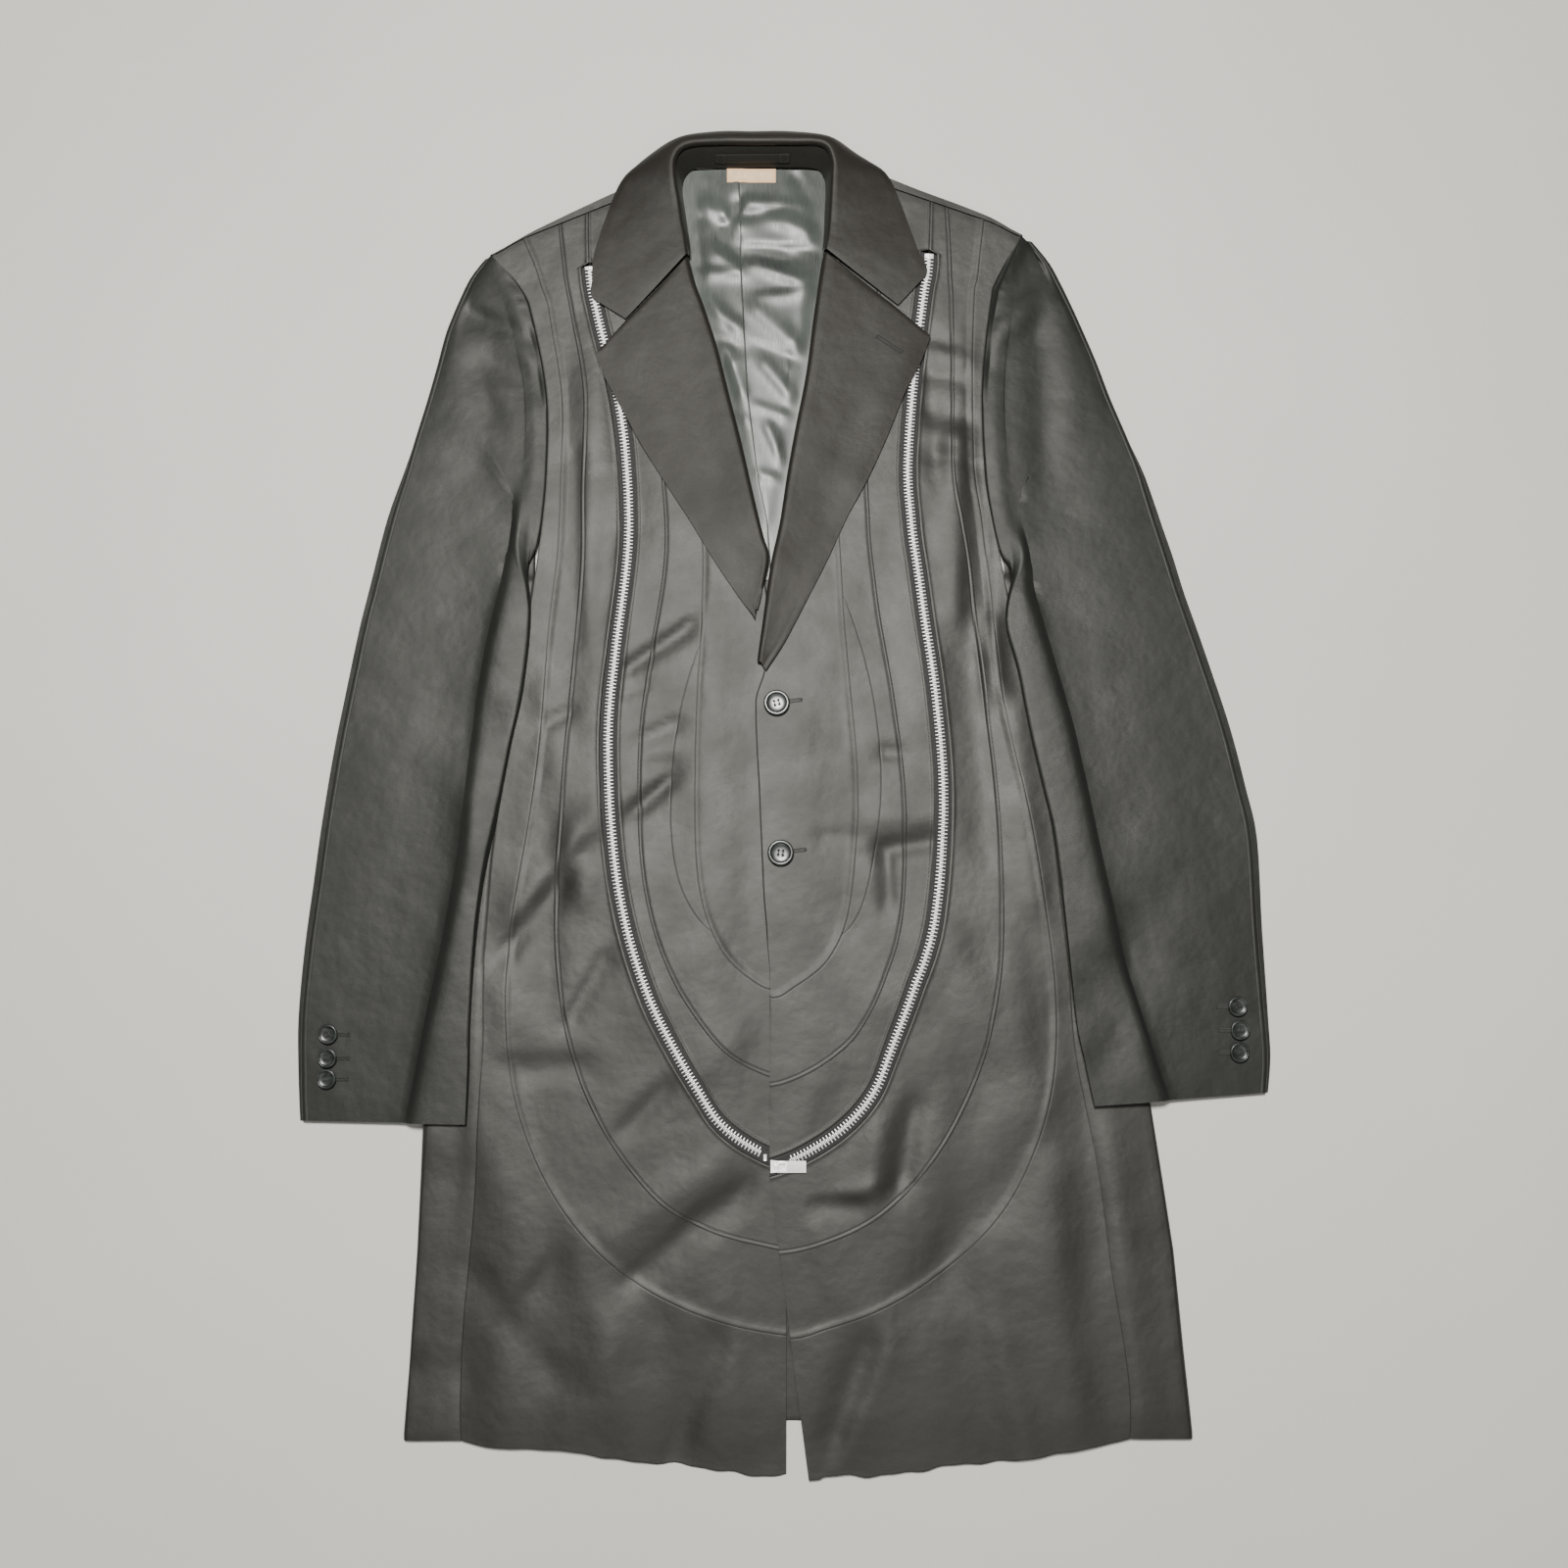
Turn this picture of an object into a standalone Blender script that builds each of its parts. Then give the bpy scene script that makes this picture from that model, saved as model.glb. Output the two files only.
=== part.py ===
"""Long single-breasted jacket, laid flat on its back with the fronts buttoned.

Lengths are in millimetres in the tables and become metres as each mesh is made.
+X is to the viewer's right, +Y towards the collar and +Z up from the floor.
Left and right in names are the wearer's, so the wearer's right is at -X.
"""

import math

import bmesh
import bpy
from mathutils import Vector

MM = 0.001
RIGHT, LEFT = -1, 1
SIDE_NAMES = {RIGHT: "right", LEFT: "left"}

# Middle of the finished outline, which becomes x = 0 and y = 0
MIDDLE_X = -0.5
MIDDLE_Y = 3.4

# Walls and clearances
SEAM = 0.2
CLEAR = 0.5
BACK_WALL = 1.6
LINING_LOW = 1.9
LINING_WALL = 1.0
FRONT_WALL = 2.0
SIDE_WALL = 1.6
SLEEVE_WALL = 1.6
LAPEL_WALL = 2.0
COLLAR_WALL = 2.2
STAND_WALL = 1.6

# Height of the fronts' outer face above the floor
SKIRT_TOP = 7.0
CHEST_RISE = 1.6
SHOULDER_RISE = 2.2
HEM_DROP = 2.2
UNDER_LAP_SINK = 1.6
OVER_LAP_RISE = 1.0

# Right front: each row is a ray from the front edge or roll line, turned down by some degrees,
# and the distance along it at which each seam lies
FRONT_COLUMNS = ("x", "y", "turn", "bib", "rib", "zip", "outer", "ring", "side")
RIGHT_FRONT = (
    (-84, 468, 23, 14, 40, 74, 96, 128, 154),
    (-74, 404, 12, 17, 42, 79, 94, 112, 131),
    (-63.5, 367, 6, 22.5, 48.5, 80.5, 97.5, 116.5, 130.5),
    (-42, 295, 0, 32, 58, 87, 108, 129, 140),
    (-27, 228, 0, 39, 62, 90, 125, 142, 154),
    (-11, 163, 0, 51, 77, 109, 141, 162, 176),
    (-4, 98, 0, 60, 94, 123, 152, 176, 192),
    (-1, 31, 0, 66, 106, 132, 159, 180, 206),
    (1, -42, 2, 68, 107, 129, 167, 193, 216),
    (1, -82, 12, 64, 100, 121, 171, 208, 226),
    (1, -107, 26, 51, 90, 113, 176, 224, 246),
    (1, -121, 42, 39, 84, 112, 185, 243, 303),
    (1, -132, 56, 28, 80, 115, 190, 250, 411),
    (1, -139, 66, 20, 76, 123, 194, 251, 374),
    (1, -146, 79, 13, 71, 127, 189, 250, 352),
    (1, -152, 90, 7, 69, 128, 188, 249, 345),
)
LEFT_FRONT = (
    (34, 477, 20, 12, 42, 84, 96, 128, 158),
    (30, 410, 10, 13, 44, 83, 97, 121, 136),
    (25, 380, 5, 16, 46, 82, 101, 119, 134),
    (14, 302, 0, 23, 50, 83, 113, 129, 137),
    (2, 235, 0, 36, 59, 92, 124, 143, 150),
    (-4, 195, 0, 45, 65, 99, 137, 154, 161),
    (-11, 160, 0, 53, 74, 110, 149, 163, 175),
    (-19, 110, 0, 65, 90, 126, 162, 178, 191),
    (-22, 53, 0, 73, 103, 137, 172, 185, 202),
    (-19, -15, 2, 75, 107, 138, 175, 199, 215),
    (-16, -82, 12, 65, 103, 129, 178, 216, 228),
    (-14, -107, 26, 55, 93, 117, 179, 234, 254),
    (-13, -121, 42, 40, 92, 120.5, 188, 253, 330),
    (-12, -132, 53, 30, 85, 127, 188, 253, 425),
    (-11, -143, 66, 20, 75, 125, 191, 250, 378),
    (-11, -150, 79, 13, 72, 127, 189, 249, 353),
    (-11, -155, 90, 7, 69, 129, 187, 248, 345),
)
FRONTS = {RIGHT: RIGHT_FRONT, LEFT: LEFT_FRONT}
HEM_CORNER = {RIGHT: 12, LEFT: 13}
ARMPIT = {RIGHT: 5.25, LEFT: 6.25}
REST = 1.1

# Crescent: between which rays it lies, and its greatest width
CRESCENT = {RIGHT: (6.0, 9.5, 18.0), LEFT: (6.5, 10.5, 18.0)}
TIP = 0.2

# Zip: the ray where it starts at the top, the ray where the teeth end, half its slot and teeth
ZIP_TOP = {RIGHT: 0.75, LEFT: 0.7}
ZIP_END = {RIGHT: 14.25, LEFT: 15.4}
ZIP_MOUTH = 0.05
SLOT_HALF = 6.6
TEETH_HALF = 3.0
TAPE_SINK = 1.4
TAPE_WALL = 0.9
TEETH_PROUD = 0.3

# Over front: below this height its edge sways out to the left, as it lies open at the hem
SWAY_FROM = -290.0
SWAY = 0.133
SWAY_REACH = 45.0

# Soft ridges (rise above 0) and troughs that cross the fronts
FOLD_COLUMNS = ("x1", "y1", "x2", "y2", "rise", "width")
FOLDS = (
    (-204, -128, -150, -58, -2.2, 11),
    (-192, -96, -138, -30, 2.2, 13),
    (-198, -212, -152, -214, -1.4, 10),
    (-112, -254, -88, -230, -1.8, 9),
    (-104, -358, -14, -292, -2.2, 11),
    (-118, -330, -60, -290, 1.8, 13),
    (-215, -368, -168, -422, -1.4, 13),
    (-150, -330, -120, -440, 1.2, 16),
    (-116, 82, -72, 114, -1.5, 9),
    (-110, -24, -86, -2, -1.8, 8),
    (-178, 60, -168, 10, 1.4, 12),
    (74, -53, 104, -49, -2.4, 8),
    (76, -64, 76, -90, -1.6, 8),
    (70, -30, 108, -28, 1.6, 10),
    (84, -288, 94, -246, -2.2, 10),
    (60, -300, 66, -262, 1.8, 11),
    (66, -412, 36, -478, 1.4, 14),
    (108, 336, 116, 230, -1.3, 8),
    (134, 330, 130, 250, 1.3, 9),
    (152, 110, 160, 70, 2.0, 10),
    (120, -120, 150, -190, 1.6, 16),
    (180, -120, 186, -200, -1.2, 12),
)

# Side folds, height along the body and how far out the fold lies
RIGHT_EDGE = ((186, 190), (151, 201), (106, 211), (54, 219), (9, 223), (-49, 228), (-114, 238),
              (-185, 251), (-256, 262), (-342, 264), (-412, 267), (-472, 270))
LEFT_EDGE = ((174, 164), (136, 177), (84, 191), (39, 203), (-5, 212), (-64, 223), (-136, 237),
             (-192, 253), (-241, 266), (-295, 273), (-342, 279), (-412, 284), (-472, 289))
BODY_EDGE = {RIGHT: RIGHT_EDGE, LEFT: LEFT_EDGE}
UNDERARM = 28.0

# Back: its armhole lies this far outside the front's, and its side seam this far in from the fold
ARMHOLE_STEP = 1.6
UNDERARM_FADE = 40.0
CENTRE_BACK_X = -8.0
BACK_HEM = ((0, -460), (150, -464), (300, -470))

# Shoulder outline of the back, and the span of the neck where it has no rolled edge
SHOULDER_LINE = ((-227, 406), (-198, 424), (-167, 440), (-137, 455), (-84, 479), (-25, 481),
                 (34, 483), (79, 470), (105, 459), (136, 447), (160, 437), (190, 424))
NECK_LEFT_X, NECK_RIGHT_X = -100.0, 54.0
NECK_FADE = 18.0
SHOULDER_STRIP = 3.2

# Lining in the neck: height, left edge, pleat, right edge
LINING = (
    (478, -70, -36, 28),
    (458, -76, -35, 32),
    (436, -81, -34, 36),
    (404, -86, -34, 42),
    (367, -76, -32, 36),
    (330, -66, -30, 30),
    (295, -56, -28, 24),
    (262, -48, -24, 18),
    (228, -40, -20, 12),
    (195, -32, -13, 6),
    (168, -26, -11, 1),
    (150, -22, -10, -3),
)
PLEAT_LAP = 7.0
LINING_FOLDS = (
    (-66, 452, -40, 436, 2.4, 7),
    (-50, 408, -36, 396, 2.0, 6),
    (-62, 372, -40, 352, 1.8, 6),
    (-44, 330, -34, 300, 1.8, 6),
    (-18, 444, 18, 428, 2.4, 8),
    (-22, 402, 14, 386, 2.2, 7),
    (-20, 362, 4, 340, 2.0, 7),
    (-14, 318, 4, 296, 2.0, 6),
    (-12, 268, -2, 244, 1.6, 5),
)

# Lapels: roll point, outer edge point, height of the roll and whether it turns into the front
LAPEL_COLUMNS = ("roll_x", "roll_y", "out_x", "out_y", "loft", "turned")
RIGHT_LAPEL = (
    (-74, 402, -122, 350, 4.0, 1),
    (-72, 395, -145, 325, 4.0, 1),
    (-68, 380, -136, 304, 4.0, 1),
    (-61, 361, -122, 278, 3.8, 1),
    (-51, 329, -108, 252, 3.6, 1),
    (-42, 293, -90, 223, 3.4, 1),
    (-33, 257, -72, 195, 3.0, 1),
    (-24, 217, -54, 165, 2.6, 1),
    (-16, 183, -38, 141, 2.0, 1),
    (-11.5, 166, -31, 131, 1.8, 1),
    (-16, 140, -25, 123, 0.9, 0),
    (-19, 126, -22, 118, 0.2, 0),
)
LEFT_LAPEL = (
    (30, 406, 86, 361, 4.0, 1),
    (28, 397, 112, 340, 4.0, 1),
    (25, 377, 104, 319, 4.0, 1),
    (21, 348, 92, 295, 3.8, 1),
    (16, 309, 77, 258, 3.6, 1),
    (8, 267, 62, 225, 3.4, 1),
    (2, 233, 47, 197, 3.0, 1),
    (-4, 193, 33, 166, 2.8, 1),
    (-11, 159, 17, 134, 2.6, 1),
    (-17, 115, 0, 101, 2.0, 1),
    (-21, 86, -14, 79, 1.2, 1),
)
LAPELS = {RIGHT: RIGHT_LAPEL, LEFT: LEFT_LAPEL}
ROLL_INSET = 6.0
INSET_FADE = {RIGHT: (126.0, 100.0), LEFT: (82.0, 56.0)}

# Collar: neck seam, roll and fall edge points from the right gorge round the neck to the left
COLLAR_COLUMNS = ("seam_x", "seam_y", "roll_x", "roll_y", "edge_x", "edge_y", "crest", "edge_z", "hung")
COLLAR = (
    (-71, 405, -74, 405, -122, 353, 17.6, 0, 0),
    (-70, 412, -75, 413, -147, 369, 17.8, 0, 0),
    (-69, 421, -76, 421, -148, 384, 18, 0, 0),
    (-69, 431, -78, 431, -147, 403, 18.6, 0, 0),
    (-68, 445, -80, 446, -138, 434, 20.4, 0, 0),
    (-67, 459, -83, 462, -126, 465, 23, 11, 0.3),
    (-67, 470, -83, 477, -105, 487, 25, 6, 0.8),
    (-62, 478, -74, 486, -82, 500, 26, 3, 1),
    (-46, 479, -49, 488, -52, 505, 26, 3, 1),
    (-25, 480, -25, 488, -26, 505, 26, 3, 1),
    (-1, 480, 3, 488, 4, 505, 26, 3, 1),
    (15, 479, 28, 487, 36, 500, 26, 3, 1),
    (19, 471, 35, 476, 56, 488, 25, 6, 0.8),
    (21, 460, 35, 463, 78, 471, 23, 11, 0.3),
    (22, 446, 34, 446, 88, 450, 20.4, 0, 0),
    (24, 432, 33, 431, 96, 427, 18.6, 0, 0),
    (26, 421, 32, 420, 103, 407, 18, 0, 0),
    (26, 414, 31, 414, 109, 388, 17.8, 0, 0),
    (27, 409, 30, 409, 87, 364, 17.6, 0, 0),
)
STAND_FOOT = 4.2

# Sleeves: over the shoulder each row starts at a ray of the armhole, below it at a point of
# the inner fold; both end at the outer fold
RIGHT_HEAD = ((0.1, -233, 403), (0.5, -244, 388), (1.0, -252, 370), (1.5, -257, 357),
              (2.0, -262, 342), (2.5, -268, 316), (3.0, -275, 288), (3.5, -283, 259),
              (4.0, -290, 231), (4.5, -299, 199), (5.0, -306, 168))
RIGHT_ARM = ((-191.0, 148, -311, 143), (-190.0, 117, -317, 117), (-195, 65, -326, 65),
             (-203, 25, -333, 22), (-212, -29, -340, -32), (-221, -77, -345, -80),
             (-226, -127, -350, -128), (-228, -178, -353, -178), (-228, -214, -352, -216),
             (-229, -253, -350, -251))
LEFT_HEAD = ((0.1, 193, 417), (0.5, 206, 400), (1.0, 215, 382), (1.5, 222, 366),
             (2.0, 229, 349), (2.5, 240, 321), (3.0, 250, 292), (3.5, 261, 264),
             (4.0, 271, 237), (4.5, 277, 215), (5.0, 283, 193), (5.5, 288, 176),
             (6.0, 293, 159))
LEFT_ARM = ((169, 147, 297, 143), (164, 118, 305, 118), (173, 82, 316, 82), (181, 37, 329, 37),
            (190, -6, 339, -8), (198, -44, 346, -46), (205, -114, 348, -114),
            (211, -178, 351, -178), (216, -205, 352, -205), (223, -240, 350, -231))
SLEEVES = {RIGHT: (RIGHT_HEAD, RIGHT_ARM), LEFT: (LEFT_HEAD, LEFT_ARM)}
LIFT_FROM = {RIGHT: (162.0, 149.0), LEFT: (159.0, 148.0)}
LIFT_START, LIFT_RUN = 3.0, 16.0
SLEEVE_RISE = 5.2
SLEEVE_LOFT = 1.2
OUTER_SEAM = 5.0
UNDER_LAP = 15.0

# Buttons: radius, thickness and steps round, then centres
FRONT_BUTTON = (9.8, 3.2, 20)
CUFF_BUTTON = (7.3, 2.6, 14)
FRONT_BUTTONS = ((-6, 55), (-3, -57))
CUFF_BUTTONS = {RIGHT: ((-332, -189), (-332, -206), (-332, -221)),
                LEFT: ((330, -169), (331, -186), (330, -202))}

# Zip slider, its bridge, its pull and the end stop
SLIDER_X, SLIDER_Y = -4.6, -283.0
SLIDER_LENGTH, SLIDER_WIDTH = 11.4, 9.4
SLIDER_LOW, SLIDER_TOP = 7.0, 9.6
BRIDGE_HALF, BRIDGE_LEG, BRIDGE_WIDTH = 1.6, 1.0, 3.0
BRIDGE_INSIDE, BRIDGE_TOP = 12.3, 13.1
HINGE_Z = 10.9
PULL_BAR, PULL_LENGTH, PULL_WIDTH = 1.4, 20.0, 8.4
PULL_EYE_LENGTH, PULL_EYE_WIDTH = 4.2, 4.0
STOP_SIZE = (2.2, 4.6, 2.2)
STOP_X, STOP_Y = -14.2, -277.0

# Hanger loop and label
LOOP_X = (-54.0, 4.0)
LOOP_WIDTH, LOOP_WALL, LOOP_OFF = 4.5, 1.0, 1.2
LABEL_X = (-45.0, -7.0)
LABEL_Y = (464.5, 476.0)
LABEL_WALL = 0.6

# Colour, roughness and metallic of each material
FINISHES = {
    "shell": ((0.036, 0.037, 0.034), 0.85, 0.0),
    "lining": ((0.11, 0.13, 0.12), 0.35, 0.0),
    "tape": ((0.012, 0.012, 0.012), 0.8, 0.0),
    "zip_metal": ((0.62, 0.62, 0.6), 0.3, 1.0),
    "button": ((0.012, 0.014, 0.013), 0.18, 0.0),
    "label": ((0.78, 0.6, 0.38), 0.75, 0.0),
}


# Curves and small helpers
def smooth(value, start, end):
    """Goes from 0 at start to 1 at end, level at both."""
    share = min(max((value - start) / (end - start), 0.0), 1.0)
    return share * share * (3.0 - 2.0 * share)


def hermite(before, first, second, after, share):
    """A smooth value between first and second, shaped by their neighbours."""
    slope_in = (second - before) / 2.0
    slope_out = (after - first) / 2.0
    cubed, squared = share ** 3, share ** 2
    return ((2 * cubed - 3 * squared + 1) * first + (cubed - 2 * squared + share) * slope_in
            + (3 * squared - 2 * cubed) * second + (cubed - squared) * slope_out)


def along(values, place):
    """Reads a smooth curve through evenly numbered values at a fractional place."""
    last = len(values) - 1
    start = min(int(place), last - 1)
    first, second = values[start], values[start + 1]
    before = values[start - 1] if start > 0 else 2 * first - second
    after = values[start + 2] if start + 2 <= last else 2 * second - first
    return hermite(before, first, second, after, place - start)


def straight(pairs, place):
    """Reads a table of pairs by straight lines, whichever way its first column runs."""
    rows = sorted(pairs)
    if place <= rows[0][0]:
        return rows[0][1]
    for (low, first), (high, second) in zip(rows, rows[1:]):
        if place <= high:
            return first + (second - first) * (place - low) / (high - low)
    return rows[-1][1]


def fold_relief(folds, x, y):
    """Height that soft ridges and troughs add at a point."""
    total = 0.0
    for x1, y1, x2, y2, rise, width in folds:
        run_x, run_y = x2 - x1, y2 - y1
        length = math.hypot(run_x, run_y)
        share = ((x - x1) * run_x + (y - y1) * run_y) / length ** 2
        beyond = max(-share, share - 1.0, 0.0) * length
        aside = ((x - x1) * run_y - (y - y1) * run_x) / length
        total += rise * math.exp(-(aside / width) ** 2 - (beyond / (1.3 * width)) ** 2)
    return total


# Fronts: rays, seams and heights
def front_value(side, column, place):
    index = FRONT_COLUMNS.index(column)
    rows = FRONTS[side]
    if column != "side":
        return along([row[index] for row in rows], place)
    corner = HEM_CORNER[side]
    if place <= corner:
        return along([row[index] for row in rows[:corner + 1]], place)
    return along([row[index] for row in rows[corner:]], place - corner)


def front_point(side, place, distance):
    """Point at a distance along the ray numbered place."""
    turn = math.radians(front_value(side, "turn", place))
    x = front_value(side, "x", place) + side * distance * math.cos(turn)
    y = front_value(side, "y", place) - distance * math.sin(turn)
    if side == LEFT and y < SWAY_FROM:
        reach = 1.0 - smooth(x - front_value(side, "x", len(LEFT_FRONT) - 1), 0.0, SWAY_REACH)
        x += SWAY * (SWAY_FROM - y) * reach
    return x, y


def crescent_width(side, place):
    start, end, width = CRESCENT[side]
    share = min(max((place - start) / (end - start), 0.0), 1.0)
    return width * math.sin(math.pi * share) ** 0.8


def between_rows(first, second):
    """The row a short way from first to second, so that a tip ends blunt."""
    return [(x1 + (x2 - x1) * TIP, y1 + (y2 - y1) * TIP) for (x1, y1), (x2, y2) in zip(first, second)]


def slot_half(side, place):
    return SEAM + (SLOT_HALF - SEAM) * min(max((place - ZIP_TOP[side]) / ZIP_MOUTH, 0.0), 1.0)


def roll_inset(side, place):
    """How far the front stops short of its roll line, to leave room for the lapel's fold."""
    high, low = INSET_FADE[side]
    return ROLL_INSET * (1.0 - smooth(front_value(side, "y", place), high, low))


def front_top(side, x, y):
    """Height of the front's outer face."""
    height = SKIRT_TOP + CHEST_RISE * smooth(y, 40, 200) + SHOULDER_RISE * smooth(y, 290, 420)
    height -= HEM_DROP * smooth(y, -448, -500)
    if side == RIGHT:
        height -= UNDER_LAP_SINK * smooth(x, -62, -26) * smooth(y, 180, 140)
    else:
        height += OVER_LAP_RISE * smooth(x, 58, 6) * smooth(y, 190, 150)
    near_lap = smooth(abs(x + 4), 8, 34)
    return height + near_lap * fold_relief(FOLDS, x, y)


# Panels of a front: the seams that bound each, and how many cells lie across it
def bib_inner(side, place):
    return roll_inset(side, place)


def bib_outer(side, place):
    return front_value(side, "bib", place) - SEAM


def crescent_inner(side, place):
    return front_value(side, "bib", place) + SEAM


def crescent_outer(side, place):
    return front_value(side, "bib", place) + crescent_width(side, place) - SEAM


def rib_inner(side, place):
    return front_value(side, "bib", place) + crescent_width(side, place) + SEAM


def rib_outer(side, place):
    return front_value(side, "rib", place) - SEAM


def zip_band_inner(side, place):
    return front_value(side, "rib", place) + SEAM


def zip_band_outer(side, place):
    return front_value(side, "zip", place) - slot_half(side, place)


def tape_inner(side, place):
    return front_value(side, "zip", place) - SLOT_HALF + 2 * SEAM


def tape_outer(side, place):
    return front_value(side, "zip", place) + SLOT_HALF - 2 * SEAM


def teeth_inner(side, place):
    return front_value(side, "zip", place) - TEETH_HALF


def teeth_outer(side, place):
    return front_value(side, "zip", place) + TEETH_HALF


def outer_band_inner(side, place):
    return front_value(side, "zip", place) + slot_half(side, place)


def outer_band_outer(side, place):
    return front_value(side, "outer", place) - SEAM


def ring_inner(side, place):
    return front_value(side, "outer", place) + SEAM


def ring_outer(side, place):
    return front_value(side, "ring", place) - SEAM


def skirt_inner(side, place):
    return front_value(side, "ring", place) + SEAM


def side_gap(side, place):
    """Half a seam's gap, measured along a ray that crosses the side seam at a slant."""
    return SEAM / max(math.cos(math.radians(front_value(side, "turn", place))), 0.5)


def skirt_outer(side, place):
    return front_value(side, "side", place) - side_gap(side, place)


FRONT_PANELS = (
    ("bib", bib_inner, bib_outer, 2),
    ("rib_band", rib_inner, rib_outer, 1),
    ("zip_band", zip_band_inner, zip_band_outer, 1),
    ("outer_band", outer_band_inner, outer_band_outer, 2),
    ("ring", ring_inner, ring_outer, 2),
    ("skirt_front", skirt_inner, skirt_outer, 3),
)


def front_places(side, first=0.0, last=None):
    """Every half ray, with the two beside the top of the zip, between first and last."""
    end = len(FRONTS[side]) - 1
    places = [half / 2 for half in range(2 * end + 1)]
    places += [ZIP_TOP[side], ZIP_TOP[side] + ZIP_MOUTH]
    last = end if last is None else last
    inside = [place for place in sorted(places) if first < place < last]
    return [first] + inside + [last]


# Back and shoulder outlines
def side_places(side):
    """Half rays from the shoulder seam to the hem corner."""
    return sorted([half / 2 for half in range(2 * HEM_CORNER[side] + 1)] + [ARMPIT[side]])


def side_points(side):
    return [front_point(side, place, front_value(side, "side", place)) for place in side_places(side)]


def back_edge(side, y):
    """How far out the back reaches: to the armhole above, to a seam under the arm below."""
    armhole = ARMHOLE_STEP + straight([(point[1], abs(point[0])) for point in side_points(side)], y)
    seam = straight(BODY_EDGE[side], y) - UNDERARM
    pit = front_point(side, ARMPIT[side], front_value(side, "side", ARMPIT[side]))[1]
    return seam + (armhole - seam) * smooth(y, pit - UNDERARM_FADE, pit)


def shoulder_seam_y(x):
    """Where the front's shoulder seam lies, seen from above."""
    side = RIGHT if x < CENTRE_BACK_X - 20 else LEFT
    start_x = front_value(side, "x", 0)
    turn = math.radians(front_value(side, "turn", 0))
    return front_value(side, "y", 0) - abs(x - start_x) * math.tan(turn)


def shoulder_outline_y(x):
    return max(straight(SHOULDER_LINE, x), shoulder_seam_y(x) + SHOULDER_STRIP * shoulder_roll(x))


def shoulder_roll(x):
    """0 at the neck and 1 along the shoulders, where the back rolls over to the front."""
    return max(smooth(x, NECK_LEFT_X, NECK_LEFT_X - NECK_FADE),
               smooth(x, NECK_RIGHT_X, NECK_RIGHT_X + NECK_FADE))


# Meshes
def finish(name, mesh, slot, parts):
    """Puts a mesh into the scene as one piece with its material."""
    piece = bpy.data.objects.new(name, mesh)
    parts.objects.link(piece)
    colour, rough, metal = FINISHES[slot]
    material = bpy.data.materials.get(slot)
    if material is None:
        material = bpy.data.materials.new(slot)
        material.use_nodes = True
        shader = material.node_tree.nodes["Principled BSDF"]
        shader.inputs["Base Color"].default_value = (*colour, 1.0)
        shader.inputs["Roughness"].default_value = rough
        shader.inputs["Metallic"].default_value = metal
    mesh.materials.append(material)
    mesh.shade_smooth()
    mesh.set_sharp_from_angle(angle=math.radians(40))
    return piece


def world(x, y, z):
    return Vector(((x - MIDDLE_X) * MM, (y - MIDDLE_Y) * MM, z * MM))


def slab(name, grid, low, high, slot, parts):
    """A wall whose lower and upper faces have the same plan, a grid of points."""
    rows, columns = len(grid), len(grid[0])
    shape = bmesh.new()
    layers = []
    for height in (low, high):
        layers.append([[shape.verts.new(world(x, y, height(x, y))) for x, y in row] for row in grid])
    bottom, top = layers
    for i in range(rows - 1):
        for j in range(columns - 1):
            for layer in layers:
                shape.faces.new((layer[i][j], layer[i + 1][j], layer[i + 1][j + 1], layer[i][j + 1]))
    for i in range(rows - 1):
        for j in (0, columns - 1):
            shape.faces.new((bottom[i][j], bottom[i + 1][j], top[i + 1][j], top[i][j]))
    for j in range(columns - 1):
        for i in (0, rows - 1):
            shape.faces.new((bottom[i][j], bottom[i][j + 1], top[i][j + 1], top[i][j]))
    bmesh.ops.recalc_face_normals(shape, faces=shape.faces)
    mesh = bpy.data.meshes.new(name)
    shape.to_mesh(mesh)
    shape.free()
    return finish(name, mesh, slot, parts)


def sheet(name, grid, wall, slot, parts):
    """A bent sheet through a grid of points in space, with its wall half to either side."""
    rows, columns = len(grid), len(grid[0])
    shape = bmesh.new()
    points = [[shape.verts.new(world(*point)) for point in row] for row in grid]
    for i in range(rows - 1):
        for j in range(columns - 1):
            shape.faces.new((points[i][j], points[i + 1][j], points[i + 1][j + 1], points[i][j + 1]))
    mesh = bpy.data.meshes.new(name)
    shape.to_mesh(mesh)
    shape.free()
    piece = finish(name, mesh, slot, parts)
    thicken = piece.modifiers.new("wall", "SOLIDIFY")
    thicken.thickness = wall * MM
    thicken.offset = 0.0
    return piece


def strip_grid(side, places, inner, outer, cells):
    """Grid of a panel between two seams of a front."""
    grid = []
    for place in places:
        near, far = inner(side, place), outer(side, place)
        grid.append([front_point(side, place, near + (far - near) * cell / cells)
                     for cell in range(cells + 1)])
    return grid


# Pieces
def build_front(side, parts):
    name = SIDE_NAMES[side]

    def high(x, y):
        return front_top(side, x, y)

    def low(x, y):
        return front_top(side, x, y) - FRONT_WALL

    for panel, inner, outer, cells in FRONT_PANELS:
        grid = strip_grid(side, front_places(side), inner, outer, cells)
        slab(f"{name}_{panel}", grid, low, high, "shell", parts)
    start, end, _ = CRESCENT[side]
    grid = strip_grid(side, front_places(side, start, end), crescent_inner, crescent_outer, 1)
    grid[0] = between_rows(grid[0], grid[1])
    grid[-1] = between_rows(grid[-1], grid[-2])
    slab(f"{name}_crescent", grid, low, high, "shell", parts)


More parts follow.
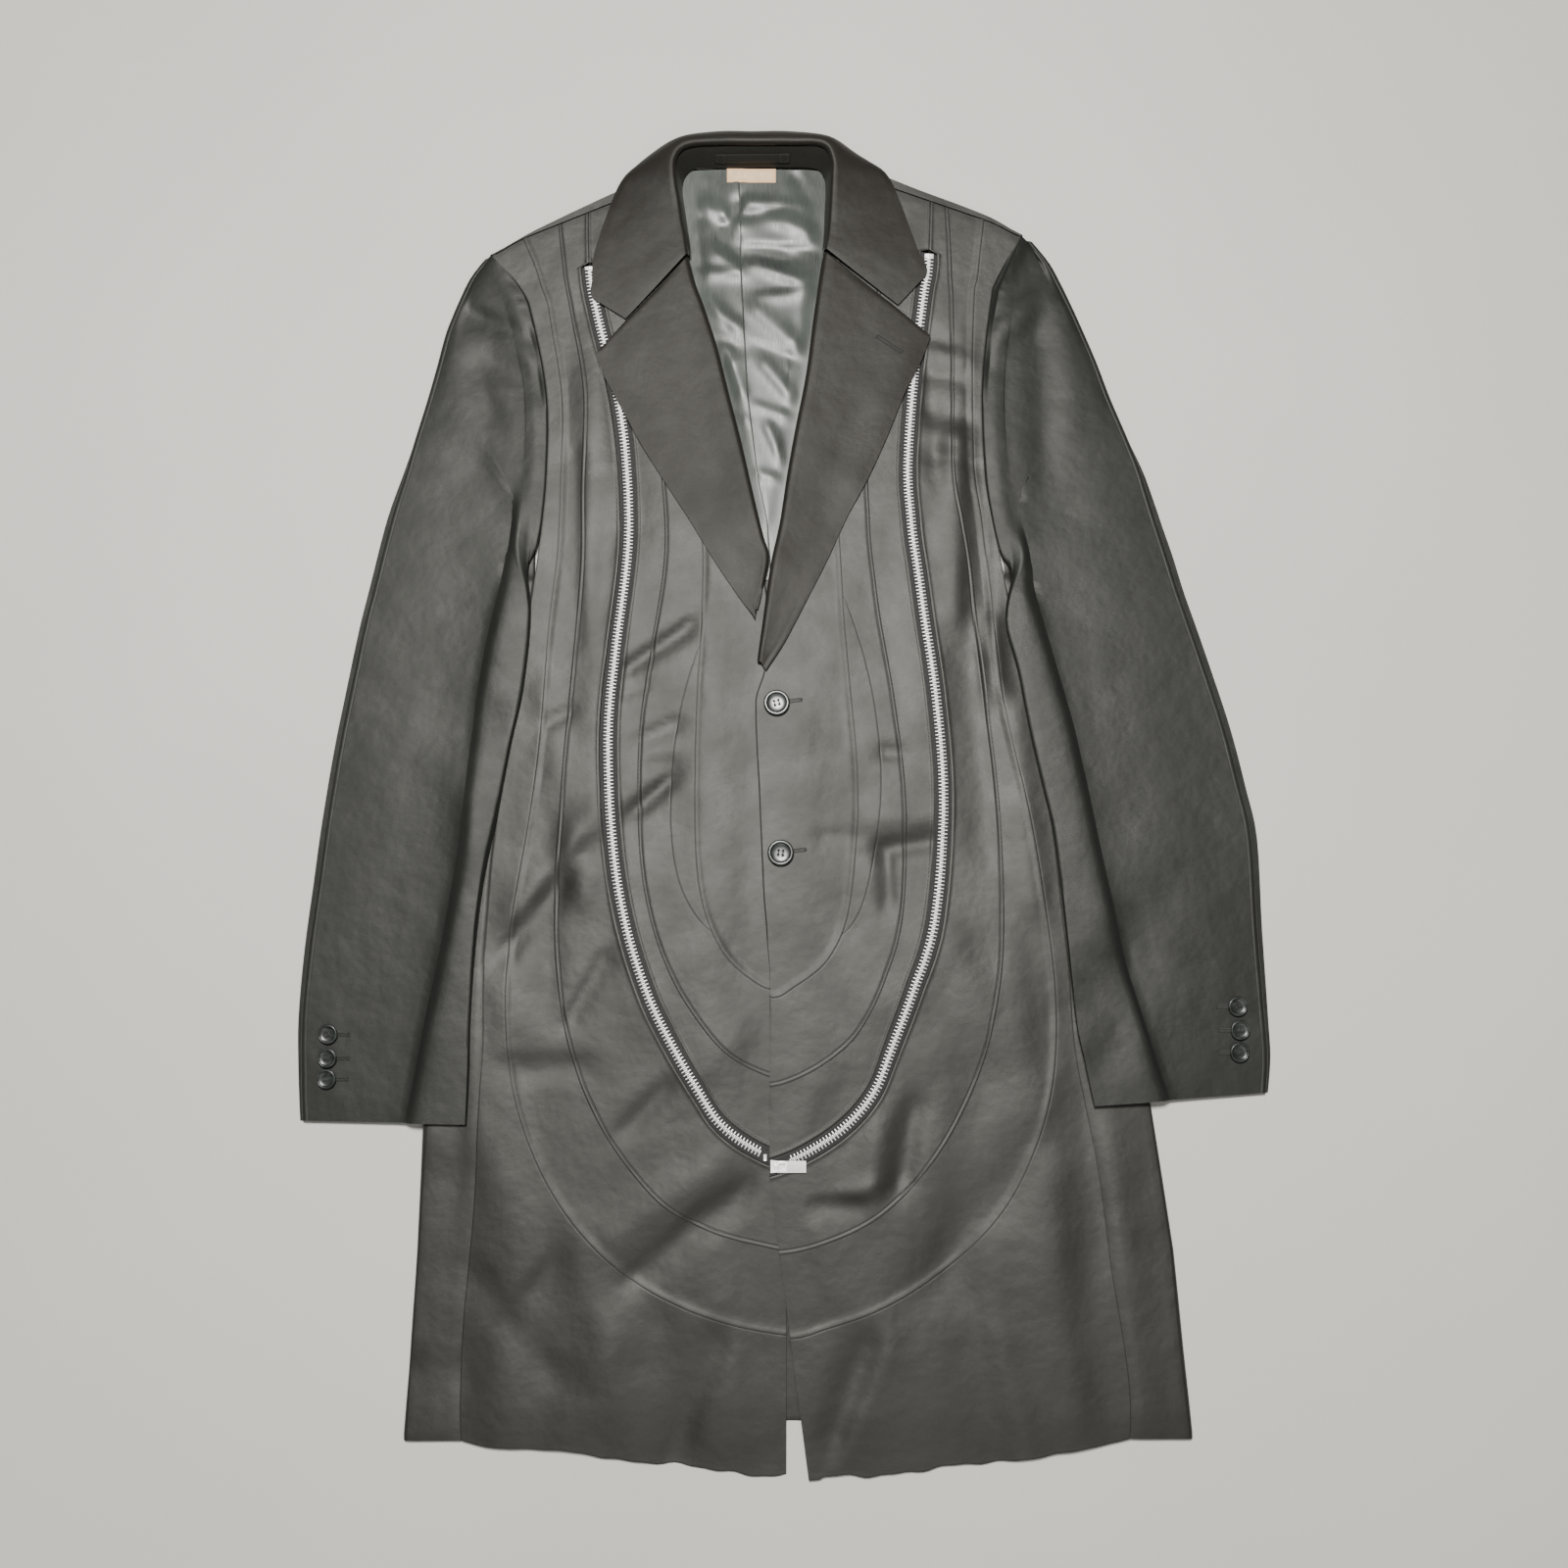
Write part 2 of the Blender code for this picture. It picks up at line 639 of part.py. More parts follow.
def build_zip(side, parts):
    name = SIDE_NAMES[side]
    top = ZIP_TOP[side] + ZIP_MOUTH

    def tape_high(x, y):
        return front_top(side, x, y) - TAPE_SINK

    def tape_low(x, y):
        return tape_high(x, y) - TAPE_WALL

    def teeth_low(x, y):
        return tape_high(x, y) + 0.3

    def teeth_high(x, y):
        return front_top(side, x, y) + TEETH_PROUD

    grid = strip_grid(side, front_places(side, top), tape_inner, tape_outer, 1)
    slab(f"{name}_zip_tape", grid, tape_low, tape_high, "tape", parts)
    grid = strip_grid(side, front_places(side, top, ZIP_END[side]), teeth_inner, teeth_outer, 1)
    slab(f"{name}_zip_teeth", grid, teeth_low, teeth_high, "zip_metal", parts)


def build_side_panel(side, parts):
    """From the front's side seam over the side fold and back under to the back seam."""
    grid = []
    for place in front_places(side, ARMPIT[side], HEM_CORNER[side]):
        distance = front_value(side, "side", place)
        seam_y = front_point(side, place, distance)[1]
        seam_x, _ = front_point(side, place, distance + side_gap(side, place))
        edge = straight(BODY_EDGE[side], seam_y)
        under = back_edge(side, seam_y) + SEAM
        high = front_top(side, seam_x, seam_y) - SIDE_WALL / 2
        low = SIDE_WALL / 2
        radius = (high - low) / 2
        turn_x = edge - SIDE_WALL / 2 - radius
        row = [(seam_x, seam_y, high), (side * (abs(seam_x) + turn_x) / 2, seam_y, high)]
        for step in range(5):
            angle = math.pi / 2 - math.pi * step / 4
            row.append((side * (turn_x + radius * math.cos(angle)), seam_y,
                        low + radius + radius * math.sin(angle)))
        row.append((side * under, seam_y, low))
        grid.append(row)
    sheet(f"{SIDE_NAMES[side]}_side_panel", grid, SIDE_WALL, "shell", parts)


def build_back(side, parts):
    """Half the back, from the hem to the shoulder, where it rolls over to meet the front."""
    centre = CENTRE_BACK_X + side * SEAM
    top_y = side_points(side)[0][1]
    corner_x = side * (back_edge(side, top_y) - SEAM)
    hem_y = straight(BACK_HEM, abs(corner_x))
    outer = sorted(point[1] for point in side_points(side) if hem_y + 4 < point[1] < top_y - 2)
    neck_x = NECK_LEFT_X if side == RIGHT else NECK_RIGHT_X
    neck = (neck_x - centre) / (corner_x - centre)
    faded = (neck_x + side * NECK_FADE - centre) / (corner_x - centre)
    shares = (0.0, neck / 2, neck, faded, (faded + 1) / 2, 1.0)

    def low(_x, _y):
        return 0.0

    def high(x, y):
        outline = shoulder_outline_y(x)
        if y < min(shoulder_seam_y(x), outline - 3) + 0.6:
            return BACK_WALL
        rounding = 2.5 * smooth(y, outline - 1.5, outline)
        return BACK_WALL + shoulder_roll(x) * (front_top(side, x, y) - BACK_WALL - rounding)

    grid = [[] for _ in range(len(outer) + 5)]
    for share in shares:
        top_x = centre + (corner_x - centre) * share
        outline = shoulder_outline_y(top_x)
        seam_y = min(shoulder_seam_y(top_x), outline - 3) + 0.4
        hem = straight(BACK_HEM, abs(top_x))
        for row, y in enumerate([hem_y] + outer + [top_y]):
            height = (y - hem_y) / (top_y - hem_y)
            edge = side * (back_edge(side, y) - SEAM)
            grid[row].append((centre + (edge - centre) * share, hem + (seam_y - hem) * height))
        grid[-3].append((top_x, seam_y + 0.5))
        grid[-2].append((top_x, outline - 1.5))
        grid[-1].append((top_x, outline))
    slab(f"{SIDE_NAMES[side]}_back", grid, low, high, "shell", parts)


def build_lining(side, parts):
    """Satin lining of one half back, seen in the neck and the V; the left half laps the right."""
    edge = 1 if side == RIGHT else 3
    rise = 0.0 if side == RIGHT else LINING_WALL + 0.4
    cells = 5

    def margin(x, y):
        right_edge = straight([(row[0], row[1]) for row in LINING], y)
        left_edge = straight([(row[0], row[3]) for row in LINING], y)
        inside = min(x - right_edge, left_edge - x)
        return smooth(inside, 14, 26) * smooth(y, 176, 200)

    def low(x, y):
        pleat = straight([(row[0], row[2]) for row in LINING], y)
        lap = rise * smooth(x, pleat + 16, pleat + 2) * smooth(y, 176, 200)
        return LINING_LOW + lap + margin(x, y) * max(fold_relief(LINING_FOLDS, x, y), 0.0)

    def high(x, y):
        return low(x, y) + LINING_WALL

    grid = []
    for row in LINING:
        start = row[2] + (-SEAM if side == RIGHT else SEAM)
        grid.append([(start + (row[edge] - start) * cell / cells, row[0]) for cell in range(cells + 1)])
    slab(f"{SIDE_NAMES[side]}_back_lining", grid, low, high, "lining", parts)


def lapel_row(side, rows, index):
    """One section of a lapel: round the roll and out to the edge."""
    roll_x, roll_y, out_x, out_y, loft, turned = rows[index]
    before = rows[max(index - 1, 0)]
    after = rows[min(index + 1, len(rows) - 1)]
    tangent = Vector((after[0] - before[0], after[1] - before[1])).normalized()
    inward = Vector((tangent.y, -tangent.x))
    if inward.x * side < 0:
        inward = -inward
    if index == 0:
        inward = Vector((out_x - roll_x, out_y - roll_y)).normalized()
    half = LAPEL_WALL / 2
    base = front_top(side, roll_x + side * ROLL_INSET, roll_y)
    low = base - FRONT_WALL / 2
    high = base + REST + half + loft
    radius = (high - low) / 2
    row = []
    for step in range(5):
        if turned:
            angle = -math.pi / 2 + math.pi * step / 4
            out = half + radius - radius * math.cos(angle)
            z = low + radius + radius * math.sin(angle)
        else:
            out = half + step * 0.5
            z = high
        row.append((roll_x + inward.x * out, roll_y + inward.y * out, z))
    start = Vector((row[-1][0], row[-1][1]))
    end = Vector((out_x, out_y))
    cells = 4
    for cell in range(1, cells + 1):
        share = cell / cells
        spot = start.lerp(end, share)
        rest = front_top(side, spot.x, spot.y) + REST + half
        row.append((spot.x, spot.y, rest + loft * (1 - share) ** 1.5))
    return row


def build_lapel(side, parts):
    rows = LAPELS[side]
    grid = [lapel_row(side, rows, index) for index in range(len(rows))]
    sheet(f"{SIDE_NAMES[side]}_lapel", grid, LAPEL_WALL, "shell", parts)


def collar_value(column, place):
    index = COLLAR_COLUMNS.index(column)
    return along([row[index] for row in COLLAR], place)


def collar_places():
    return [half / 2 for half in range(2 * (len(COLLAR) - 1) + 1)]


def collar_row(place):
    """Seam, roll and fall of the collar at one place, as points in space."""
    seam = Vector((collar_value("seam_x", place), collar_value("seam_y", place)))
    roll = Vector((collar_value("roll_x", place), collar_value("roll_y", place)))
    edge = Vector((collar_value("edge_x", place), collar_value("edge_y", place)))
    crest = collar_value("crest", place) - COLLAR_WALL / 2
    hung = min(max(collar_value("hung", place), 0.0), 1.0)
    side = RIGHT if edge.x < -26 else LEFT
    rest = front_top(side, edge.x, edge.y) + REST + COLLAR_WALL / 2
    edge_z = rest + (collar_value("edge_z", place) - rest) * smooth(hung, 0, 0.6)
    out = (edge - roll).normalized()
    start = roll + out * 3.6
    fall = [(*(roll + out * 1.1), crest - 3.4), (*(roll + out * 1.5), crest - 1.4),
            (*start, crest)]
    cells = 4
    for cell in range(1, cells + 1):
        share = cell / cells
        spot = start.lerp(edge, share)
        drop = math.sqrt(max(1.0 - share ** 2, 0.0)) * hung + (1 - share) ** 1.35 * (1 - hung)
        fall.append((*spot, edge_z + (crest - edge_z) * drop))
    foot = STAND_FOOT + (collar_value("crest", 0) - 6.5 - STAND_FOOT) * (1 - smooth(
        min(place, len(COLLAR) - 1 - place), 0, 3.5))
    head = crest - 4.9
    stand = []
    for share in (0.0, 0.5, 1.0):
        spot = seam.lerp(roll + out * 0.9, share)
        stand.append((*spot, foot + (head - foot) * share))
    return fall, stand


def build_collar(parts):
    rows = [collar_row(place) for place in collar_places()]
    sheet("collar_fall", [fall for fall, _ in rows], COLLAR_WALL, "shell", parts)
    sheet("collar_stand", [stand for _, stand in rows], STAND_WALL, "shell", parts)


def sleeve_lift(side, x, y):
    """0 where a sleeve lies on the floor and 1 where it lies on the side of the body."""
    high, low = LIFT_FROM[side]
    beyond = abs(x) - straight(BODY_EDGE[side], y) - LIFT_START
    return smooth(y, high, low) * smooth(beyond, LIFT_RUN, 0.0)


def sleeve_low(side, x, y):
    """Middle of the under sleeve's wall."""
    floor = SLEEVE_WALL / 2
    on_body = max(front_top(side, x, y), SKIRT_TOP) + CLEAR + SLEEVE_WALL / 2
    return floor + (on_body - floor) * sleeve_lift(side, x, y)


def sleeve_sections(side):
    """Upper and under sleeve sections, from the shoulder down to the cuff."""
    head, arm = SLEEVES[side]
    rows = []
    for place, out_x, out_y in head:
        inner = front_point(side, place, front_value(side, "side", place) + 2 * SEAM)
        rows.append((Vector(inner), Vector((out_x, out_y)), True))
    for in_x, in_y, out_x, out_y in arm:
        rows.append((Vector((in_x, in_y)), Vector((out_x, out_y)), False))
    upper, under = [], []
    for inner, outer, at_armhole in rows:
        upper.append(upper_section(side, inner, outer, at_armhole))
        under.append(under_section(side, inner, outer, at_armhole))
    return upper, under


def sleeve_top(side, inner, outer, distance, at_armhole):
    """Point in the middle of the upper sleeve's wall, some way in from the outer fold."""
    width = (inner - outer).length
    spot = outer.lerp(inner, distance / width)
    share = distance / width
    z = sleeve_low(side, spot.x, spot.y) + SLEEVE_RISE + SLEEVE_LOFT * math.sin(math.pi * share)
    if at_armhole:
        flush = front_top(side, inner.x, inner.y) - SLEEVE_WALL / 2
        fullness = 1.2 * math.exp(-((1 - share) * width - 9.0) ** 2 / 60.0)
        near = smooth(share, 0.1, 1.0)
        z = z + (flush - z) * near + fullness * smooth(width, 20, 60)
    return (spot.x, spot.y, z)


def upper_section(side, inner, outer, at_armhole):
    width = (inner - outer).length
    seam = min(OUTER_SEAM, 0.4 * width) + SEAM
    away = (outer - inner).normalized()
    cells, bends, laps = 4, 4, 2
    climb = abs(outer.x) - straight(BODY_EDGE[side], inner.y) - LIFT_START
    if at_armhole:
        near = min(19.0, 0.35 * width)
        even = [seam + (width - near - seam) * cell / cells for cell in range(cells)]
        marks = [seam, climb - LIFT_RUN, climb - 0.5 * LIFT_RUN, climb]
        marks = [min(mark, width - near - 2.0 * (cells - number)) for number, mark in enumerate(marks)]
        toward = smooth(inner.y, 300, 200)
        flat = [first + (second - first) * toward for first, second in zip(even, marks)]
        flat += [width - near + near * step / (bends + laps) for step in range(bends + laps + 1)]
        return [sleeve_top(side, inner, outer, distance, True) for distance in flat]
    high = sleeve_top(side, inner, outer, width - 4.0, False)[2]
    low = sleeve_low(side, inner.x, inner.y)
    radius = (high - low) / 2
    turn = width - SLEEVE_WALL / 2 - radius
    marks = [seam, climb - LIFT_RUN, climb - 0.5 * LIFT_RUN, climb]
    marks = [min(mark, turn - 2.0 * (cells - number)) for number, mark in enumerate(marks)]
    row = [sleeve_top(side, inner, outer, mark, False) for mark in marks]
    for step in range(bends + 1):
        angle = math.pi / 2 - math.pi * step / bends
        spot = inner + away * (SLEEVE_WALL / 2 + radius * (1 - math.cos(angle)))
        row.append((spot.x, spot.y, low + radius + radius * math.sin(angle)))
    for step in range(1, laps + 1):
        spot = inner + away * (SLEEVE_WALL / 2 + radius + UNDER_LAP * step / laps)
        row.append((spot.x, spot.y, sleeve_low(side, spot.x, spot.y)))
    return row


def under_distances(side, inner, outer, start, at_armhole):
    """Where the under sleeve has its corners, closest where it climbs onto the body."""
    width = (inner - outer).length
    if at_armhole:
        reach = abs(outer.x) - back_edge(side, inner.y) - 2 * SEAM
        end = width * reach / (abs(outer.x) - abs(inner.x))
    else:
        end = width - SLEEVE_WALL - SLEEVE_RISE / 2 - UNDER_LAP - 2 * SEAM
    climb = abs(outer.x) - straight(BODY_EDGE[side], inner.y) - LIFT_START
    marks = [climb - LIFT_RUN, climb - 0.6 * LIFT_RUN, climb - 0.3 * LIFT_RUN, climb]
    marks = [min(mark, end - 2.0 * (4 - number)) for number, mark in enumerate(marks)]
    even = [start + (end - start) * cell / 5 for cell in range(1, 5)]
    toward = smooth(inner.y, 300, 200)
    return [first + (second - first) * toward for first, second in zip(even, marks)] + [end]


def under_section(side, inner, outer, at_armhole):
    width = (inner - outer).length
    seam = min(OUTER_SEAM, 0.4 * width) - SEAM
    top = sleeve_top(side, inner, outer, seam, at_armhole)
    low = sleeve_low(side, outer.x, outer.y)
    radius = min((top[2] - low) / 2, seam - SLEEVE_WALL / 2 - 0.2)
    away = (inner - outer).normalized()
    high = (top[2] - low) / 2
    row = [top]
    for step in range(5):
        angle = math.pi / 2 - math.pi * step / 4
        spot = outer + away * (SLEEVE_WALL / 2 + radius * (1 - math.cos(angle)))
        row.append((spot.x, spot.y, low + high + high * math.sin(angle)))
    start = SLEEVE_WALL / 2 + radius
    for distance in under_distances(side, inner, outer, start, at_armhole):
        spot = outer + away * distance
        row.append((spot.x, spot.y, sleeve_low(side, spot.x, spot.y)))
    return row


def build_sleeve(side, parts):
    upper, under = sleeve_sections(side)
    name = SIDE_NAMES[side]
    sheet(f"{name}_upper_sleeve", upper, SLEEVE_WALL, "shell", parts)
    sheet(f"{name}_under_sleeve", under, SLEEVE_WALL, "shell", parts)


def build_button(name, x, y, z, size, parts):
    """A turned disc with a raised rim and a dished face."""
    radius, thick, steps = size
    profile = ((0.0, 0.6), (0.62, 0.6), (0.78, 1.0), (1.0, 0.6), (0.84, 0.0), (0.0, 0.0))
    mesh = bpy.data.meshes.new(name)
    points = [(across * radius * MM, 0.0, up * thick * MM) for across, up in profile]
    mesh.from_pydata(points, [(i, i + 1) for i in range(len(points) - 1)], [])
    piece = finish(name, mesh, "button", parts)
    piece.location = world(x, y, z)
    turn = piece.modifiers.new("turn", "SCREW")
    turn.axis = "Z"
    turn.steps = steps
    turn.render_steps = steps
    turn.use_merge_vertices = True
    turn.merge_threshold = 0.0001
    weld = piece.modifiers.new("poles", "WELD")
    weld.merge_threshold = 0.0001


def build_buttons(parts):
    for number, (x, y) in enumerate(FRONT_BUTTONS, 1):
        build_button(f"front_button_{number}", x, y, front_top(LEFT, x, y) + 0.3, FRONT_BUTTON, parts)
    for side, centres in CUFF_BUTTONS.items():
        for number, (x, y) in enumerate(centres, 1):
            z = cuff_top(side, x, y) + 0.4
            build_button(f"{SIDE_NAMES[side]}_cuff_button_{number}", x, y, z, CUFF_BUTTON, parts)


def cuff_top(side, x, y):
    """Outer face of the upper sleeve where the cuff buttons lie."""
    row = SLEEVES[side][1][-3]
    inner, outer = Vector(row[:2]), Vector(row[2:])
    share = (abs(outer.x) - abs(x)) / (abs(outer.x) - abs(inner.x))
    loft = SLEEVE_LOFT * math.sin(math.pi * share)
    return sleeve_low(side, x, y) + SLEEVE_RISE + loft + SLEEVE_WALL / 2


def box(name, low, high, slot, parts):
    """A plain block between two corners."""
    shape = bmesh.new()
    bmesh.ops.create_cube(shape, size=1.0)
    for vert in shape.verts:
        x, y, z = (a + (b - a) * (part + 0.5) for a, b, part in zip(low, high, vert.co))
        vert.co = world(x, y, z)
    mesh = bpy.data.meshes.new(name)
    shape.to_mesh(mesh)
    shape.free()
    return finish(name, mesh, slot, parts)


def cut_or_join(piece, tool, operation, cutters):
    """Booleans a tool into or out of a piece and keeps the tool as a hidden guide."""
    for collection in list(tool.users_collection):
        collection.objects.unlink(tool)
    cutters.objects.link(tool)
    tool.hide_render = True
    tool.display_type = "WIRE"
    step = piece.modifiers.new(tool.name, "BOOLEAN")
    step.operation = operation
    step.object = tool


def build_slider(parts, cutters):
    """Slider body, broad at the head, with a bridge that the pull turns in."""
    half_l, half_w = SLIDER_LENGTH / 2, SLIDER_WIDTH / 2
    body = box("slider", (SLIDER_X - half_l, SLIDER_Y - half_w, SLIDER_LOW),
               (SLIDER_X + half_l, SLIDER_Y + half_w, SLIDER_TOP), "zip_metal", parts)
    for vert in body.data.vertices:
        if vert.co.x > world(SLIDER_X, 0, 0).x:
            vert.co.y += (world(0, SLIDER_Y, 0).y - vert.co.y) * 0.3
    edge = body.modifiers.new("edges", "BEVEL")
    edge.width = 0.7 * MM
    edge.segments = 2
    reach = BRIDGE_HALF + BRIDGE_LEG
    bridge = box("bridge", (SLIDER_X - reach, SLIDER_Y - BRIDGE_WIDTH / 2, SLIDER_TOP - 0.8),
                 (SLIDER_X + reach, SLIDER_Y + BRIDGE_WIDTH / 2, BRIDGE_TOP), "zip_metal", parts)
    soft = bridge.modifiers.new("edges", "BEVEL")
    soft.width = 0.5 * MM
    soft.segments = 2
    eye = box("bridge_eye", (SLIDER_X - BRIDGE_HALF, SLIDER_Y - SLIDER_WIDTH, SLIDER_TOP + 0.02),
              (SLIDER_X + BRIDGE_HALF, SLIDER_Y + SLIDER_WIDTH, BRIDGE_INSIDE), "zip_metal", parts)
    cut_or_join(body, bridge, "UNION", cutters)
    cut_or_join(body, eye, "DIFFERENCE", cutters)


def build_pull(parts, cutters):
    """Flat tab whose end bar lies in the bridge; its origin is on the hinge axis."""
    half_b, half_w = PULL_BAR / 2, PULL_WIDTH / 2
    pull = box("zip_pull", (SLIDER_X - half_b, SLIDER_Y - half_w, HINGE_Z - half_b),
               (SLIDER_X + PULL_LENGTH, SLIDER_Y + half_w, HINGE_Z + half_b), "zip_metal", parts)
    hinge = world(SLIDER_X, SLIDER_Y, HINGE_Z)
    for vert in pull.data.vertices:
        vert.co -= hinge
    pull.location = hinge
    edge = pull.modifiers.new("edges", "BEVEL")
    edge.width = 0.35 * MM
    edge.segments = 1
    window = box("pull_eye", (SLIDER_X + half_b, SLIDER_Y - PULL_EYE_WIDTH / 2, HINGE_Z - 2),
                 (SLIDER_X + half_b + PULL_EYE_LENGTH, SLIDER_Y + PULL_EYE_WIDTH / 2, HINGE_Z + 2),
                 "zip_metal", parts)
    cut_or_join(pull, window, "DIFFERENCE", cutters)


def build_stop(parts):
    length, width, height = STOP_SIZE
    low = front_top(RIGHT, STOP_X, STOP_Y) - TAPE_SINK + 0.3
    box("zip_stop", (STOP_X - length / 2, STOP_Y - width / 2, low),
        (STOP_X + length / 2, STOP_Y + width / 2, low + height), "zip_metal", parts)


def build_loop_and_label(parts):
    """The hanger loop on the stand, and the bare label below it on the lining."""
    middle = (len(COLLAR) - 1) / 2
    grid = []
    cells = 10
    for cell in range(cells + 1):
        share = cell / cells
        x = LOOP_X[0] + (LOOP_X[1] - LOOP_X[0]) * share
        place = middle + (share - 0.5) * 3.4
        _, stand = collar_row(place)
        bow = math.sin(math.pi * share)
        foot, head = Vector(stand[0]), Vector(stand[-1])
        rise = (head - foot).normalized()
        off = LOOP_OFF + STAND_WALL / 2 + LOOP_WALL / 2 + 1.2 * bow
        centre = foot.lerp(head, 0.58)
        row = []
        for edge in (-0.5, 0.5):
            spot = centre + rise * edge * LOOP_WIDTH
            row.append((x, spot.y - off, spot.z))
        grid.append(row)
    sheet("hanger_loop", grid, LOOP_WALL, "shell", parts)

    def label_low(x, y):
        pleat = straight([(row[0], row[2]) for row in LINING], y)
        lap = (LINING_WALL + 0.4) * smooth(x, pleat + 16, pleat + 2)
        lap = lap if x > pleat - 12 else 0.0
        return LINING_LOW + LINING_WALL + 0.4 + max(lap, 0.9)

    def label_high(x, y):
        return label_low(x, y) + LABEL_WALL

    xs = [LABEL_X[0] + (LABEL_X[1] - LABEL_X[0]) * cell / 6 for cell in range(7)]
    label = [[(x, y) for x in xs] for y in (LABEL_Y[0], sum(LABEL_Y) / 2, LABEL_Y[1])]
    slab("label", label, label_low, label_high, "label", parts)


def main():
    for old in list(bpy.data.objects):
        bpy.data.objects.remove(old)
    parts = bpy.data.collections.new("long_jacket")
    cutters = bpy.data.collections.new("cutters")
    bpy.context.scene.collection.children.link(parts)
    bpy.context.scene.collection.children.link(cutters)
    for side in (RIGHT, LEFT):
        build_back(side, parts)
        build_side_panel(side, parts)
        build_front(side, parts)
        build_zip(side, parts)
        build_lining(side, parts)
        build_lapel(side, parts)
        build_sleeve(side, parts)
    build_collar(parts)
    build_loop_and_label(parts)
    build_slider(parts, cutters)
    build_pull(parts, cutters)
    build_stop(parts)
    build_buttons(parts)


main()
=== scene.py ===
"""Long jacket, laid flat on its back with the fronts buttoned: the dressed model.

Lengths in the tables are in millimetres and become metres as each mesh is made.
+X is to the viewer's right, +Y towards the collar and +Z up from the floor.
Left and right in names are the wearer's, so the wearer's right is at -X.
"""

import functools
import math

import bmesh
import bpy
import numpy as np
from bpy.props import FloatProperty, FloatVectorProperty, PointerProperty
from mathutils import Matrix, Vector


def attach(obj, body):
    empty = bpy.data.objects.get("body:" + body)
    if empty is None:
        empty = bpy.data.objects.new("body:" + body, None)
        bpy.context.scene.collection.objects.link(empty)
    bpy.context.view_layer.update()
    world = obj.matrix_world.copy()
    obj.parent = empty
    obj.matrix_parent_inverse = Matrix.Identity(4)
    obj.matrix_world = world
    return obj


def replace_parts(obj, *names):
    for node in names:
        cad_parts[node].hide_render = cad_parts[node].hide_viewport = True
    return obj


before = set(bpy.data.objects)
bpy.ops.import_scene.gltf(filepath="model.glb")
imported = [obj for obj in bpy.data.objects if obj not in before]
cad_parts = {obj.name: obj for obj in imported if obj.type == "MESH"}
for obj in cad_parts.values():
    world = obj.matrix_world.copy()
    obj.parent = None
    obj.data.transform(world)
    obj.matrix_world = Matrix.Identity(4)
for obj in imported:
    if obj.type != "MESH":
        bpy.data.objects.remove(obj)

bl_info = {
    "name": "Long Jacket Dresser",
    "version": (1, 0, 0),
    "blender": (4, 5, 0),
    "location": "View3D > Sidebar > Jacket",
    "description": "Sews the cloth, zip and buttons of the long jacket over its packed frame",
    "category": "Object",
}

MM = 0.001
RIGHT, LEFT = -1, 1
SIDE_NAMES = {RIGHT: "right", LEFT: "left"}
MIDDLE_X, MIDDLE_Y = -0.5, 3.4

# Walls, seams and heights of the solids that the cloth follows
SEAM, CLEAR, REST = 0.2, 0.5, 1.1
FRONT_WALL, SIDE_WALL, SLEEVE_WALL = 2.0, 1.6, 1.6
LAPEL_WALL, COLLAR_WALL = 2.0, 2.2
BACK_WALL, LINING_LOW, LINING_WALL, SATIN_WALL, PLEAT_RISE = 1.6, 1.9, 1.0, 0.7, 0.9
SKIRT_TOP, CHEST_RISE, SHOULDER_RISE, HEM_DROP = 7.0, 1.6, 2.2, 2.2
UNDER_LAP_SINK, OVER_LAP_RISE = 1.6, 1.0

# Fronts: each row is a ray from the front edge, turned down, and where each seam lies along it
FRONT_COLUMNS = ("x", "y", "turn", "bib", "rib", "zip", "outer", "ring", "side")
RIGHT_FRONT = (
    (-84, 468, 23, 14, 40, 74, 96, 128, 154),
    (-74, 404, 12, 17, 42, 77.8, 94, 113.5, 131),
    (-63.5, 367, 6, 22.5, 48.5, 80.5, 97.5, 116.5, 130.5),
    (-42, 295, 0, 32, 58, 87, 108, 129, 140),
    (-27, 228, 0, 39, 62, 90, 125, 142, 154),
    (-11, 163, 0, 51, 77, 109, 141, 162, 176),
    (-4, 98, 0, 60, 94, 123, 152, 176, 192),
    (-1, 31, 0, 66, 106, 132, 159, 180, 206),
    (1, -42, 2, 68, 107, 129, 167, 193, 216),
    (1, -82, 12, 64, 100, 121, 171, 208, 226),
    (1, -107, 26, 51, 90, 113, 176, 224, 246),
    (1, -121, 42, 39, 84, 112, 185, 243, 303),
    (1, -132, 56, 28, 80, 115, 190, 250, 411),
    (1, -139, 66, 20, 76, 123, 194, 251, 374),
    (1, -146, 79, 13, 71, 127, 189, 250, 352),
    (1, -152, 90, 7, 69, 128, 188, 249, 345),
)
LEFT_FRONT = (
    (34, 477, 20, 12, 42, 84, 96, 128, 158),
    (30, 410, 10, 13, 44, 81.5, 97, 119.5, 136),
    (25, 380, 5, 16, 46, 82.5, 101, 120.5, 134),
    (14, 302, 0, 23, 50, 83, 113, 129, 137),
    (2, 235, 0, 36, 59, 92, 124, 143, 150),
    (-4, 195, 0, 45, 65, 99, 137, 154, 161),
    (-11, 160, 0, 53, 74, 110, 149, 163, 175),
    (-19, 110, 0, 65, 90, 126, 162, 178, 191),
    (-22, 53, 0, 73, 103, 137, 172, 185, 202),
    (-19, -15, 2, 75, 107, 138, 175, 199, 215),
    (-16, -82, 12, 65, 103, 129, 178, 216, 228),
    (-14, -107, 26, 55, 93, 117, 179, 234, 254),
    (-13, -121, 42, 40, 92, 120.5, 188, 253, 330),
    (-12, -132, 53, 30, 85, 127, 188, 253, 425),
    (-11, -143, 66, 20, 75, 125, 191, 250, 378),
    (-11, -150, 79, 13, 72, 127, 189, 249, 353),
    (-11, -155, 90, 7, 69, 129, 187, 248, 345),
)
